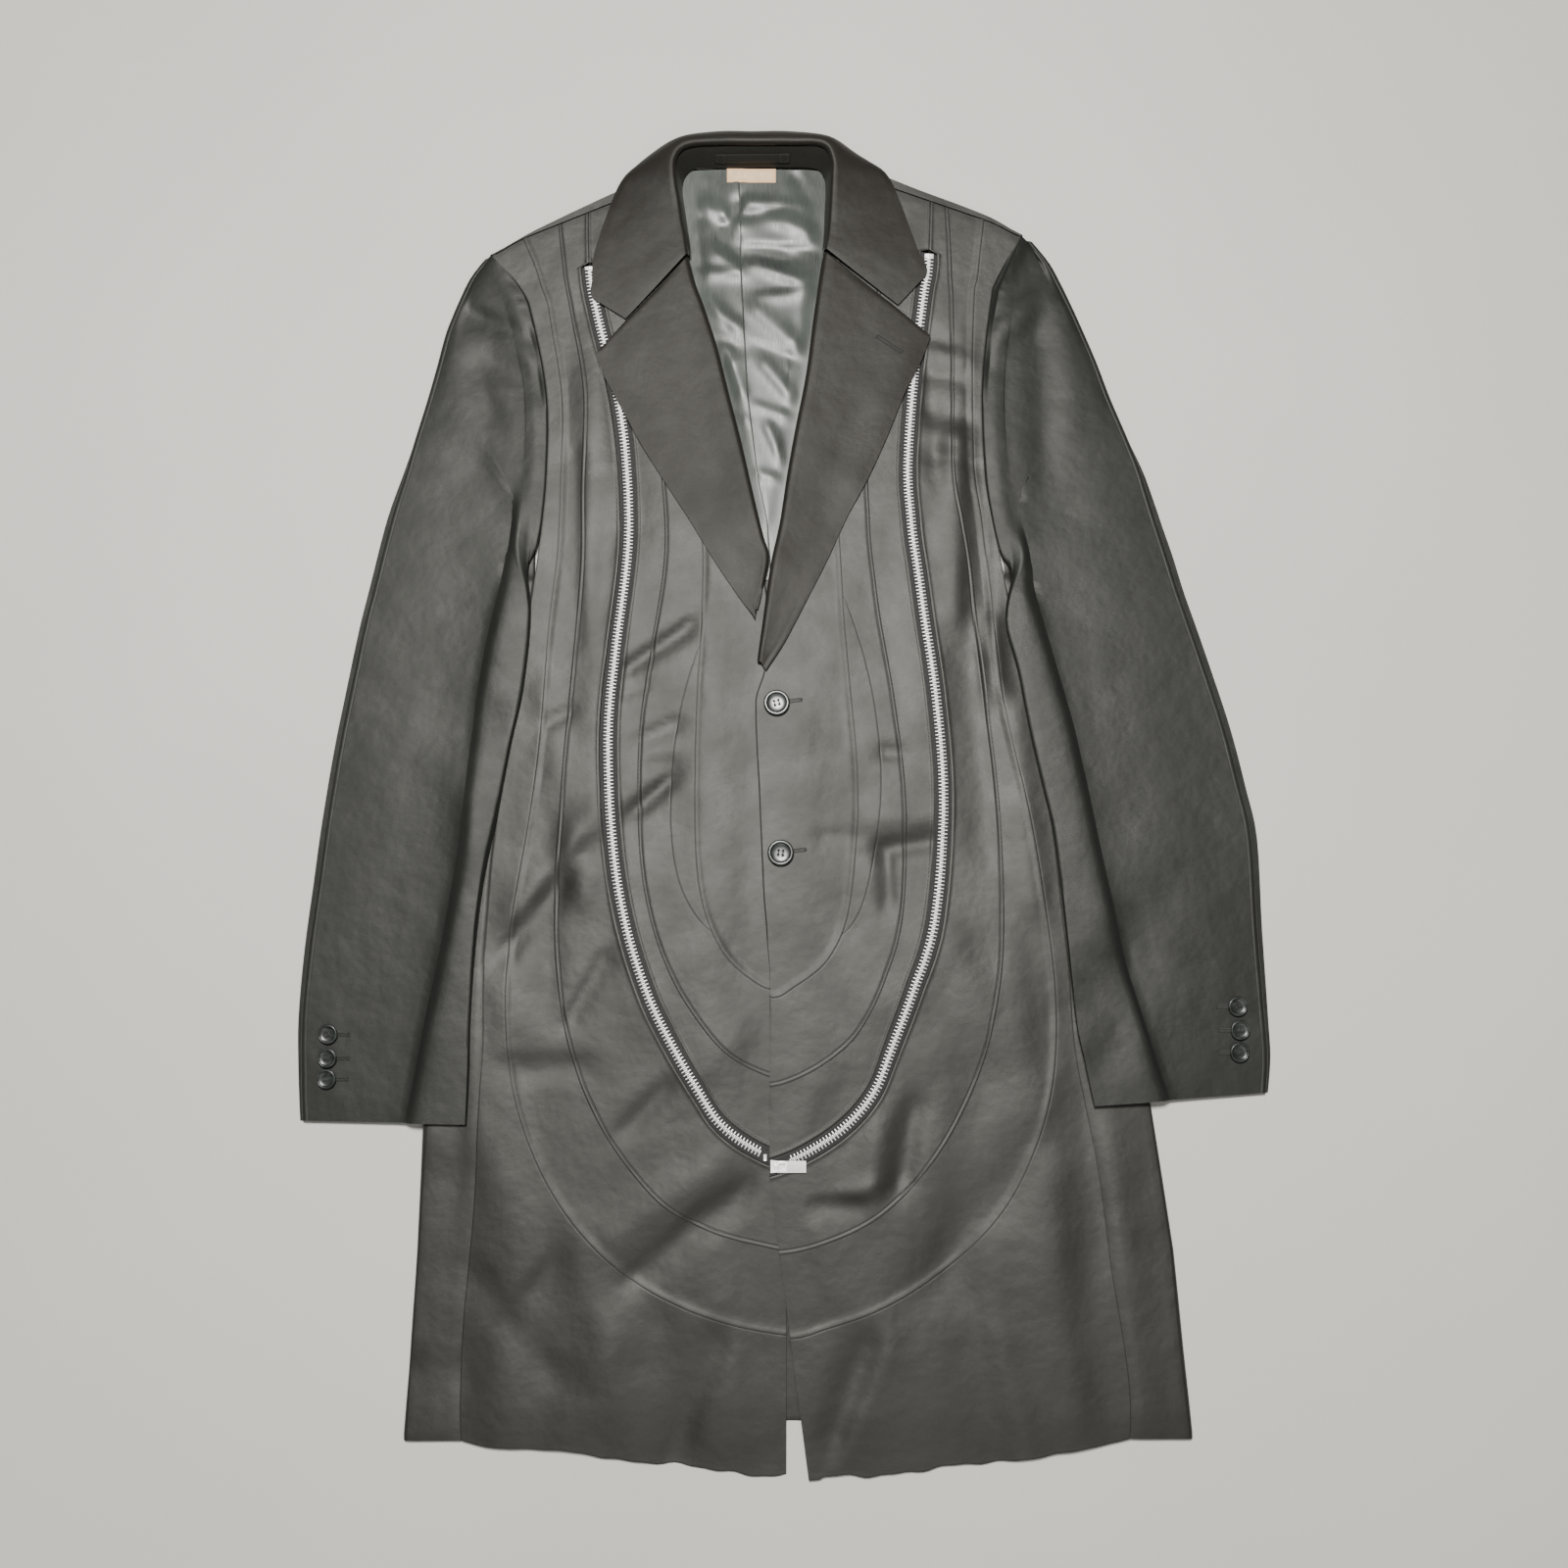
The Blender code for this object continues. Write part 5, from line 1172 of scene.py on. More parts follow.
def label_finish(name, colour):
    """Woven label, bare, with ribs across and a warmer edge."""
    shade = Shade(name)
    ribs = shade.wave(shade.place(math.pi / 2), 0.0005, 0.3)
    cloud = shade.noise(shade.place(), 160.0, 3.0)
    edge_nearness = shade.node("ShaderNodeAttribute", {"attribute_name": "edge_nearness"}).outputs["Fac"]
    ground = shade.tint(cloud, 0.35, 0.7, 1.0, tone(colour, 0.86), tone(colour, 1.12))
    warmer = (colour[0], colour[1] * 0.7, colour[2] * 0.5)
    edged = shade.mix(shade.maths("MULTIPLY", edge_nearness, 0.6), ground, warmer)
    woven = shade.tint(ribs, 0.0, 1.0, 0.3, edged, tone(colour, 0.7))
    rough = shade.spread(cloud, 0.3, 0.7, 0.5, 0.7)
    return shade.finish(woven, rough, shade.bump(ribs, 0.00012, 0.7), Sheen_Weight=0.3)


def floor_finish(name, colour):
    """Plain pale floor with a barely seen grain."""
    shade = Shade(name)
    cloud = shade.noise(shade.place(), 2.5, 4.0)
    ground = shade.tint(cloud, 0.3, 0.7, 1.0, tone(colour, 0.97), tone(colour, 1.03))
    rough = shade.spread(cloud, 0.3, 0.7, 0.75, 0.85)
    return shade.finish(ground, rough, shade.bump(shade.noise(shade.place(), 180.0), 0.0004, 0.1))


def ready(name, make, colour, *settings):
    """A finish by its name, made the first time that a piece asks for it."""
    return bpy.data.materials.get(name) or make(name, tuple(colour), *settings)


def body_twill():
    cloth = bpy.context.scene.jacket_cloth
    return ready("body_twill", twill_finish, cloth.body_colour, cloth.twill_pitch, 0.9, 0.5)


def facing_twill():
    cloth = bpy.context.scene.jacket_cloth
    return ready("facing_twill", twill_finish, cloth.facing_colour, cloth.twill_pitch, 0.35, 0.24)


def sleeve_twill():
    cloth = bpy.context.scene.jacket_cloth
    return ready("sleeve_twill", twill_finish, cloth.sleeve_colour, cloth.twill_pitch, 0.7, 0.36)


def sewing_thread():
    return ready("sewing_thread", thread_finish, bpy.context.scene.jacket_cloth.thread_colour)


def zip_metal():
    return ready("plated_zip", metal_finish, bpy.context.scene.jacket_trim.metal_colour)


def cloth_wall():
    return bpy.context.scene.jacket_cloth.wall / MM


# Fronts
def strip(side, places, inner, outer, first, second):
    """Plan of a panel between two seams, and each point's distance from both of its edges."""
    widest = max(outer(place) - inner(place) for place in places)
    cells = max(2, math.ceil((widest - first[-1] - second[-1]) / CELL_STEP))
    xs, ys, near, far = [], [], [], []
    for place in places:
        start, end = inner(place), outer(place)
        steps = across(end - start, first, second, cells)
        x, y = front_point(side, place, start + steps)
        xs.append(x)
        ys.append(y)
        near.append(steps)
        far.append(end - start - steps)
    return np.array(xs), np.array(ys), np.array(near), np.array(far)


def steps_for(kind):
    return WORKED_EDGE if kind in ("welt", "slot", "proud") else PLAIN_EDGE


def sew_front_panel(side, panel, places, inner, outer, kinds):
    """One panel of a front, with its sewn edges."""
    x, y, near, far = strip(side, places, inner, outer, steps_for(kinds[0]), steps_for(kinds[1]))
    width = near + far
    room = np.clip(width / 6.0, 0.0, 1.0)
    lie = cloth_top(side, x, y)
    finish = edge_finish(kinds[0], near) + edge_finish(kinds[1], far)
    run = np.concatenate(([0.0], np.cumsum(np.hypot(np.diff(x[:, -1]), np.diff(y[:, -1])))))
    ends = np.minimum(run, run[-1] - run)[:, None]
    if panel == "skirt_front":
        ruffle = sum(rise * np.sin(x / run + start) for rise, run, start in HEM_RUFFLE)
        y = y + ruffle * smooth(y, -470, -496) * (1.0 - smooth(far, 0.0, 14.0))
    top = lie + finish * room - 0.25 * (1.0 - smooth(ends, 0.0, 1.2))
    y = y - shoulder_drop(x, y)
    low = np.minimum(lie - cloth_wall(), top - LEAST_WALL)
    shell = [np.stack((x, y, z), -1) for z in (top, low)]
    plan = np.stack((x, y, front_top(side, x, y)), -1)
    sew_sheet(f"{SIDE_NAMES[side]}_{panel}", shell, body_twill(), "shell", plan,
              border_nearness(np.minimum(near, far)))


def sew_front(side):
    end = len(FRONTS[side]) - 1
    for panel, inner_name, outer_name, inner_kind, outer_kind in FRONT_PANELS:
        first_gap = 0.0 if inner_name in ("roll", "slot_out") else GAP
        last_gap = 0.0 if outer_name == "slot_in" else GAP

        def inner(place, name=inner_name, gap=first_gap):
            return seam_at(name, side, place) + gap

        def outer(place, name=outer_name, gap=last_gap):
            return seam_at(name, side, place) - gap

        places = fine_places(side, 0.0, end, outer)
        if "slot" in (inner_kind, outer_kind):
            mouth = [ZIP_TOP[side] + ZIP_MOUTH * part / 4 for part in range(5)]
            places = sorted(set(places + mouth))
        sew_front_panel(side, panel, places, inner, outer, (inner_kind, outer_kind))
    start, stop, _ = CRESCENT[side]
    tip = CRESCENT_TIP * (stop - start)

    def crescent_inner(place):
        return seam_at("bib", side, place) + GAP

    def crescent_outer(place):
        return max(seam_at("crescent", side, place) - GAP, crescent_inner(place) + 0.3)

    places = fine_places(side, start + tip, stop - tip, crescent_outer)
    sew_front_panel(side, "crescent", places, crescent_inner, crescent_outer, ("plain", "plain"))


# Zip
def zip_path(side, first, last, offset=0.0):
    """Points along the zip, some way across it."""
    places = fine_places(side, first, last, lambda place: front_value(side, "zip", place), 1.5)
    points = []
    for place in places:
        x, y = front_point(side, place, front_value(side, "zip", place) + offset)
        points.append((float(x), float(y), float(cloth_top(side, x, y))))
    return np.array(points)


def sew_zip_tape(side):
    """Tape under the slot, with a corded edge beside each row of teeth."""
    last = len(FRONTS[side]) - 1
    offsets = np.array(TAPE_OFFSETS)
    places = fine_places(side, ZIP_TOP[side] + ZIP_MOUTH, last,
                         lambda place: front_value(side, "zip", place) + SLOT_HALF, 3.0)
    x, y = np.array([front_point(side, place, front_value(side, "zip", place) + offsets)
                     for place in places]).transpose(1, 0, 2)
    cord = CORD_RISE * np.exp(-((np.abs(offsets) - CORD_LINE) / GROOVE_WIDTH) ** 2)
    top = cloth_top(side, x, y) - TAPE_SINK + cord
    shell = [np.stack((x, y, z), -1) for z in (top, top - cord - TAPE_CLOTH)]
    weave = ready("zip_tape_weave", tape_finish, TAPE_COLOUR)
    sew_sheet(f"{SIDE_NAMES[side]}_zip_tape", shell, weave, "tape", shell[0])


def tooth_mould():
    """One tooth: a narrow body with a rounded head and a clamped foot."""
    start_clean()
    size = [length * MM for length in TOOTH_SIZE]
    bpy.ops.mesh.primitive_cube_add(size=1.0, location=(-1.2 * MM, 0, 0), scale=size)
    apply_place()
    piece = open_piece()
    pick_faces(piece, lambda face: face.normal.x > 0.9)
    inset_by(0.22)
    move_by(0.25, 0, 0)
    pick_faces(piece, lambda face: face.normal.x < -0.9)
    bpy.ops.transform.resize(value=(1.0, 0.8, 0.7))
    pick_top(piece)
    inset_by(0.14)
    move_by(0, 0, 0.1)
    return close_piece(piece, "tooth_mould")


def sew_zip_teeth(side):
    """Two rows of teeth that interlock along the middle of the tape."""
    name = f"{SIDE_NAMES[side]}_zip_teeth"
    mould = tooth_mould()
    pitch = bpy.context.scene.jacket_trim.tooth_pitch / MM
    path = zip_path(side, ZIP_TOP[side] + ZIP_MOUTH + 0.02, ZIP_END[side])
    frames = []
    for row, turn in ((0, 0.0), (1, math.pi)):
        teeth = list(zip(*spaced(path, pitch, 0.6 + row * pitch / 2)))[1:]
        stop = list(zip(*spaced(path[:3], pitch / 3, STOP_TEETH_FROM)))[:STOP_TEETH]
        for spot, head in stop + teeth:
            matrix = frame_at(placed(spot) + (0, 0, -TOOTH_SINK * MM), head)
            frames.append(matrix @ Matrix.Rotation(turn, 4, "Z"))
    piece = joined_copies(f"{name}_rows", mould, frames)
    bpy.data.objects.remove(mould)
    dress(piece, zip_metal(), "zip_metal")
    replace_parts(piece, name)


# Side panels and backs
def sew_side_panel(side):
    """From the front's side seam over the side fold and back under to the back seam."""
    places = fine_places(side, ARMPIT[side], HEM_CORNER[side],
                         lambda place: front_value(side, "side", place))
    grid = []
    for place in places:
        distance = front_value(side, "side", place)
        seam_y = float(front_point(side, place, distance)[1])
        seam_x = float(front_point(side, place, distance + side_gap(side, place))[0])
        edge, under = straight(BODY_EDGE[side], seam_y), back_edge(side, seam_y) + SEAM
        high = float(cloth_top(side, seam_x, seam_y)) - SIDE_WALL / 2
        low = SIDE_WALL / 2
        radius = (high - low) / 2
        turn_x = edge - SIDE_WALL / 2 - radius
        flat_x = np.linspace(abs(seam_x), turn_x, 9)[:-1]
        lie = cloth_top(side, side * flat_x, np.full(8, seam_y)) - SIDE_WALL / 2
        toward = smooth(flat_x, abs(seam_x), turn_x)
        row = [(side * x, seam_y, z * (1 - share) + high * share - (0.6 if number == 0 else 0.0))
               for number, (x, z, share) in enumerate(zip(flat_x, lie, toward))]
        row += [(side * (turn_x + radius * out), seam_y, low + radius + radius * up)
                for out, up in half_turn(10)]
        row += [(side * (turn_x + (under - turn_x) * part / 5), seam_y, low) for part in range(1, 6)]
        grid.append(row)
    tuck = [[(x, y + rise, max(z - sink, SIDE_WALL / 2)) for x, y, z in grid[0]]
            for rise, sink in ARMPIT_TUCK]
    points = np.array(tuck + grid)
    sew_sheet(f"{SIDE_NAMES[side]}_side_panel", bend_shell(points, SIDE_CLOTH), body_twill(), "shell",
              points)


def sew_back(side):
    """Half the back, from the hem to the shoulder, where it rolls over to meet the front."""
    centre = CENTRE_BACK_X + side * SEAM
    top_y = float(side_points(side)[0][1])
    corner_x = side * (back_edge(side, top_y) - SEAM)
    hem_y = straight(BACK_HEM, abs(corner_x))
    rows_y = np.concatenate(((hem_y, hem_y + 1.0, hem_y + 3.0), np.linspace(hem_y + 10, top_y, 90)))
    shares = across(1.0, (0.0, 0.004, 0.010), (0.0, 0.004, 0.010), 26)
    neck_x = NECK_LEFT_X if side == RIGHT else NECK_RIGHT_X
    marks = [(x - centre) / (corner_x - centre) for x in (neck_x, neck_x + side * NECK_FADE)]
    shares = np.array(sorted(list(shares) + marks))

    def high(x, y):
        outline = shoulder_outline_y(x)
        if y < min(shoulder_seam_y(x), outline - 3) + 0.6:
            return BACK_WALL - BACK_LIFT
        rounding = 2.5 * smooth(y, outline - 1.5, outline)
        return BACK_WALL + shoulder_roll(x) * (float(front_top(side, x, y)) - BACK_WALL - rounding)

    columns = []
    for share in shares:
        top_x = centre + (corner_x - centre) * share
        outline = shoulder_outline_y(top_x)
        seam_y = min(shoulder_seam_y(top_x), outline - 3) + 0.4
        hem = straight(BACK_HEM, abs(top_x))
        column = []
        for y in rows_y:
            height = (y - hem_y) / (top_y - hem_y)
            edge = side * (back_edge(side, y) - SEAM)
            column.append((centre + (edge - centre) * share, hem + (seam_y - hem) * height))
        column += [(top_x, seam_y + 0.5), (top_x, outline - 1.5), (top_x, outline - 0.5), (top_x, outline)]
        columns.append(column)
    upper = np.array([[(x, y, high(x, y)) for x, y in row] for row in zip(*columns)])
    lower = np.array([[(x, y, BACK_LIFT) for x, y in row] for row in zip(*columns)])
    for grid in (upper, lower):
        grid[..., 1] -= shoulder_drop(grid[..., 0], grid[..., 1])
    for border in (np.s_[0, :, 2], np.s_[:, 0, 2], np.s_[:, -1, 2]):
        upper[border] -= LEAST_WALL
    sew_sheet(f"{SIDE_NAMES[side]}_back", (upper, lower), body_twill(), "shell", lower)


# Lining, loop and label
def lining_low(x, y):
    """Where the pleat lies at each height, and 1 well inside the lining."""
    heights, *edges = np.array(LINING)[::-1].T
    right, pleat, left = [np.interp(y, heights, edge) for edge in edges]
    inside = np.minimum(x - right, left - x)
    margin = smooth(inside, 10, 24) * smooth(y, 170, 200)
    return pleat, margin


def sew_lining(side):
    """Satin lining of one half back; the left half laps the right in the pleat."""
    edge = 1 if side == RIGHT else 3
    rise = PLEAT_RISE if side == RIGHT else 0.0
    rows = []
    for y in np.arange(478, 149, -2.5):
        values = [straight([(row[0], row[column]) for row in LINING], y) for column in (2, edge)]
        start = values[0] + (-SEAM if side == RIGHT else SEAM)
        steps = np.concatenate((np.array((0.0, 0.5, 1.2)), np.linspace(2.4, abs(values[1] - start), 26)))
        rows.append([(start + side * step, y) for step in steps])
    plan = np.array(rows)
    x, y = plan[..., 0], plan[..., 1]
    pleat, margin = lining_low(x, y)
    lap = rise * smooth(x, pleat - 16, pleat - 2) * smooth(y, 176, 200)
    wrinkle = margin * np.maximum(relief(LINING_WRINKLES, x, y) + 1.5, -0.1)
    low = LINING_LOW + 0.2 + lap + wrinkle
    top = low + SATIN_WALL
    if side == RIGHT:
        top[:, 0] -= 0.3
    upper, lower, plan = [np.stack((x, y, z), -1) for z in (top, low, np.full(x.shape, LINING_LOW))]
    satin = ready("lining_satin", satin_finish, bpy.context.scene.jacket_trim.satin_colour)
    sew_sheet(f"{SIDE_NAMES[side]}_back_lining", (upper, lower), satin, "lining", plan)


def sew_hanger_loop():
    """The loop on the stand, bowed a little off it between its two sewn ends."""
    middle = (len(COLLAR) - 1) / 2
    grid = []
    for share in np.linspace(0.0, 1.0, 41):
        x = LOOP_X[0] + (LOOP_X[1] - LOOP_X[0]) * share
        _, stand = collar_row(middle + (share - 0.5) * 3.4)
        off = LOOP_OFF + LOOP_BOW * math.sin(math.pi * share)
        foot, head = Vector(stand[0]), Vector(stand[-1])
        rise = (head - foot).normalized()
        centre = foot.lerp(head, LOOP_HEIGHT)
        row = []
        for edge in (-0.5, -0.42, -0.28, 0.0, 0.28, 0.42, 0.5):
            spot = centre + rise * edge * LOOP_WIDTH
            row.append((x, spot.y - off - 0.25 * (0.5 - abs(edge)), spot.z))
        grid.append(row)
    points = np.array(grid)
    sew_sheet("hanger_loop", bend_shell(points, LOOP_CLOTH), body_twill(), "shell", points)
    face = points + (0.0, -0.45, 0.1)
    stitch = thread_mould(1.5, 0.45)
    for end, near, far in LOOP_ENDS:
        box = [face[near, 1], face[near, 5], face[far, 5], face[far, 1], face[near, 1]]
        frames = frames_along(box, 2.0, 0.5, (0.0, -1.0, 0.1))
        sew_stitches(f"loop_{end}_end_stitches", stitch, frames)
    bpy.data.objects.remove(stitch)


def sew_label():
    """The bare label, folded under at both ends, on the lining below the stand."""
    xs = np.linspace(LABEL_X[0], LABEL_X[1], 39)
    ys = np.linspace(LABEL_Y[0], LABEL_Y[1], 13)
    y, x = np.meshgrid(ys, xs, indexing="ij")
    pleat, _ = lining_low(x, y)
    lap = np.where(x > pleat - 12, (LINING_WALL + 0.4) * smooth(x, pleat + 16, pleat + 2), 0.0)
    low = LINING_LOW + LINING_WALL + 0.4 + np.maximum(lap, PLEAT_RISE)
    edge = np.minimum.reduce((x - LABEL_X[0], LABEL_X[1] - x, y - LABEL_Y[0], LABEL_Y[1] - y))
    rim = 0.25 * (1.0 - smooth(edge, 0.0, 0.9))
    top = low + LABEL_WALL - rim - 0.12 * np.exp(-((edge - 1.6) / 0.4) ** 2)
    shell = [np.stack((x, y, z), -1) for z in (top, low)]
    weave = ready("label_weave", label_finish, bpy.context.scene.jacket_trim.label_colour)
    sew_sheet("label", shell, weave, "label", shell[1], border_nearness(edge))


# Lapels
def lapel_row(side, rows, index):
    """One section of a lapel: round the roll and out to the edge."""
    roll_x, roll_y, out_x, out_y, loft, turned = rows[index]
    before, after = rows[max(index - 1, 0)], rows[min(index + 1, len(rows) - 1)]
    tangent = Vector((after[0] - before[0], after[1] - before[1])).normalized()
    inward = Vector((tangent.y, -tangent.x))
    if inward.x * side < 0:
        inward = -inward
    if index == 0:
        inward = Vector((out_x - roll_x, out_y - roll_y)).normalized()
    half = LAPEL_WALL / 2
    base = float(front_top(side, roll_x + side * ROLL_INSET, roll_y))
    low = base - FRONT_WALL / 2
    high = base + REST + half + loft
    radius = (high - low) / 2
    row = []
    for step in range(9):
        if turned:
            angle = -math.pi / 2 + math.pi * step / 8
            out, z = half + radius - radius * math.cos(angle), low + radius + radius * math.sin(angle)
        else:
            out, z = half + step * 0.25, high
        row.append((roll_x + inward.x * out, roll_y + inward.y * out, z))
    start, end = Vector(row[-1][:2]), Vector((out_x, out_y))
    for share in np.linspace(0.0, 1.0, 15)[1:]:
        spot = start.lerp(end, share)
        rest = float(front_top(side, spot.x, spot.y)) + REST + half
        row.append((spot.x, spot.y, rest + loft * (1 - share) ** 1.5))
    return row


def sharp_rows(grid, steps, corner):
    """Refines rows smoothly, but keeps a sharp corner at the row given."""
    grid = np.asarray(grid, dtype=float)
    shares = np.linspace(0.0, 1.0, steps + 1)[:-1, None, None]
    before = grid[0] + (grid[corner] - grid[0]) * shares
    return np.concatenate((before, refined(grid[corner:], steps)))


def sew_lapel(side):
    name, rows = SIDE_NAMES[side], LAPELS[side]
    plan = sharp_rows([lapel_row(side, rows, index) for index in range(len(rows))], 8, 1)
    points = plan.copy()
    inside = smooth(np.arange(points.shape[1]), 8, 12) * np.ones((points.shape[0], 1))
    points[..., 2] += inside * CREASE_DEPTH * relief(LAPEL_CREASES, points[..., 0], points[..., 1])
    edge = np.linalg.norm(points - points[:, -1:], axis=2)
    points[..., 2] -= inside * 0.18 * np.exp(-((edge - 4.0) / 1.4) ** 2)
    sew_sheet(f"{name}_lapel", bend_shell(points, LAPEL_CLOTH), facing_twill(), "shell", plan,
              border_nearness(edge))


# Collar
def collar_value(column, place):
    index = COLLAR_COLUMNS.index(column)
    return along([row[index] for row in COLLAR], place)


def collar_row(place):
    """Fall and stand of the collar at one place, as points in space."""
    seam, roll, edge = [Vector((collar_value(f"{line}_x", place), collar_value(f"{line}_y", place)))
                        for line in ("seam", "roll", "edge")]
    crest = collar_value("crest", place) - COLLAR_WALL / 2
    hung = min(max(collar_value("hung", place), 0.0), 1.0)
    side = RIGHT if edge.x < -26 else LEFT
    rest = float(front_top(side, edge.x, edge.y)) + REST + COLLAR_WALL / 2
    edge_z = rest + (collar_value("edge_z", place) - rest) * float(smooth(hung, 0, 0.6))
    out = (edge - roll).normalized()
    start = roll + out * 3.6
    fall = [(*(roll + out * reach), crest - drop) for reach, drop in COLLAR_ROLL] + [(*start, crest)]
    for share in np.linspace(0.0, 1.0, 15)[1:]:
        spot = start.lerp(edge, share)
        drop = math.sqrt(max(1.0 - share ** 2, 0.0)) * hung + (1 - share) ** 1.35 * (1 - hung)
        fall.append((*spot, edge_z + (crest - edge_z) * drop))
    near_end = min(place, len(COLLAR) - 1 - place)
    foot = STAND_FOOT + (collar_value("crest", 0) - 6.5 - STAND_FOOT) * float(1 - smooth(near_end, 0, 3.5))
    head = crest - 4.9
    stand = []
    for share in np.linspace(0.0, 1.0, 7):
        spot = seam.lerp(roll + out * 0.9, share)
        stand.append((*spot, foot + (head - foot) * share))
    return fall, stand


def sew_collar():
    count = len(COLLAR) - 1
    places = [0.0, 0.25, 0.5, 0.75] + list(np.linspace(1.0, count - 1, (count - 2) * 6 + 1))
    places += [count - 0.75, count - 0.5, count - 0.25, float(count)]
    rows = [collar_row(place) for place in places]
    falls = np.array([fall for fall, _ in rows])
    for end, corner in ((0, 4), (-1, -5)):
        for step in range(1, 4):
            index = step if end == 0 else -1 - step
            share = step / 4
            falls[index] = falls[end] + (falls[corner] - falls[end]) * share
    edge = np.linalg.norm(falls - falls[:, -1:], axis=2)
    sew_sheet("collar_fall", bend_shell(falls, COLLAR_CLOTH), facing_twill(), "shell", falls,
              border_nearness(edge))
    stands = np.array([stand for _, stand in rows])
    sew_sheet("collar_stand", bend_shell(stands, STAND_CLOTH), body_twill(), "shell", stands)


# Sleeves
def sleeve_lift(side, x, y):
    high, low = LIFT_FROM[side]
    beyond = abs(x) - straight(BODY_EDGE[side], y) - LIFT_START
    return float(smooth(y, high, low) * smooth(beyond, LIFT_RUN, 0.0))


def sleeve_low(side, x, y):
    """Middle of the under sleeve's wall."""
    floor = SLEEVE_WALL / 2
    on_body = max(float(front_top(side, x, y)), SKIRT_TOP) + CLEAR + SLEEVE_WALL / 2
    return floor + (on_body - floor) * sleeve_lift(side, x, y)


def sleeve_top(side, inner, outer, distance, at_armhole):
    """Middle of the upper sleeve's wall, some way in from the outer fold."""
    width = (inner - outer).length
    share = distance / width
    spot = outer.lerp(inner, share)
    z = sleeve_low(side, spot.x, spot.y) + SLEEVE_RISE + SLEEVE_LOFT * math.sin(math.pi * share)
    z -= FOLD_DROP * math.exp(-distance / 6.0)
    if at_armhole:
        flush = float(front_top(side, inner.x, inner.y)) - SLEEVE_WALL / 2
        fullness = HEAD_FULLNESS * math.exp(-((1 - share) * width - 9.0) ** 2 / 60.0)
        z = z + (flush - z) * float(smooth(share, 0.1, 1.0)) + fullness * float(smooth(width, 20, 60))
    return (spot.x, spot.y, z)


def upper_section(side, inner, outer, at_armhole):
    width = (inner - outer).length
    seam = min(OUTER_SEAM, 0.4 * width) + GAP
    away = (outer - inner).normalized()
    cells, bends, laps = 4, 4, 2
    climb = abs(outer.x) - straight(BODY_EDGE[side], inner.y) - LIFT_START
    marks = [seam, climb - LIFT_RUN, climb - 0.5 * LIFT_RUN, climb]
    if at_armhole:
        near = min(19.0, 0.35 * width)
        even = [seam + (width - near - seam) * cell / cells for cell in range(cells)]
        marks = [min(mark, width - near - 2.0 * (cells - number)) for number, mark in enumerate(marks)]
        toward = float(smooth(inner.y, *HEAD_BLEND))
        flat = [first + (second - first) * toward for first, second in zip(even, marks)]
        flat += [width - near + near * step / (bends + laps) for step in range(bends + laps + 1)]
        return [sleeve_top(side, inner, outer, distance, True) for distance in flat]
    high = sleeve_top(side, inner, outer, width - 4.0, False)[2]
    low = sleeve_low(side, inner.x, inner.y)
    radius = (high - low) / 2
    turn = width - SLEEVE_WALL / 2 - radius
    marks = [min(mark, turn - 2.0 * (cells - number)) for number, mark in enumerate(marks)]
    row = [sleeve_top(side, inner, outer, mark, False) for mark in marks]
    for out, up in half_turn(bends):
        spot = inner + away * (SLEEVE_WALL / 2 + radius * (1 - out))
        row.append((spot.x, spot.y, low + radius + radius * up))
    for step in range(1, laps + 1):
        spot = inner + away * (SLEEVE_WALL / 2 + radius + UNDER_LAP * step / laps)
        row.append((spot.x, spot.y, sleeve_low(side, spot.x, spot.y)))
    return row


def under_distances(side, inner, outer, start, at_armhole):
    width = (inner - outer).length
    if at_armhole:
        reach = abs(outer.x) - back_edge(side, inner.y) - 2 * SEAM
        end = width * reach / (abs(outer.x) - abs(inner.x))
    else:
        end = width - SLEEVE_WALL - SLEEVE_RISE / 2 - UNDER_LAP - 2 * SEAM
    climb = abs(outer.x) - straight(BODY_EDGE[side], inner.y) - LIFT_START
    marks = [climb - LIFT_RUN, climb - 0.6 * LIFT_RUN, climb - 0.3 * LIFT_RUN, climb]
    marks = [min(mark, end - 2.0 * (4 - number)) for number, mark in enumerate(marks)]
    even = [start + (end - start) * cell / 5 for cell in range(1, 5)]
    toward = float(smooth(inner.y, *HEAD_BLEND))
    return [first + (second - first) * toward for first, second in zip(even, marks)] + [end]


def under_section(side, inner, outer, at_armhole):
    width = (inner - outer).length
    seam = min(OUTER_SEAM, 0.4 * width) - GAP
    top = sleeve_top(side, inner, outer, seam, at_armhole)
    low = sleeve_low(side, outer.x, outer.y)
    high = (top[2] - low) / 2
    radius = min(high, seam - SLEEVE_WALL / 2 - 0.2)
    away = (inner - outer).normalized()
    row = [top]
    for out, up in half_turn(4):
        spot = outer + away * (SLEEVE_WALL / 2 + radius * (1 - out))
        row.append((spot.x, spot.y, low + high + high * up))
    for distance in under_distances(side, inner, outer, SLEEVE_WALL / 2 + radius, at_armhole):
        spot = outer + away * distance
        row.append((spot.x, spot.y, sleeve_low(side, spot.x, spot.y)))
    return row


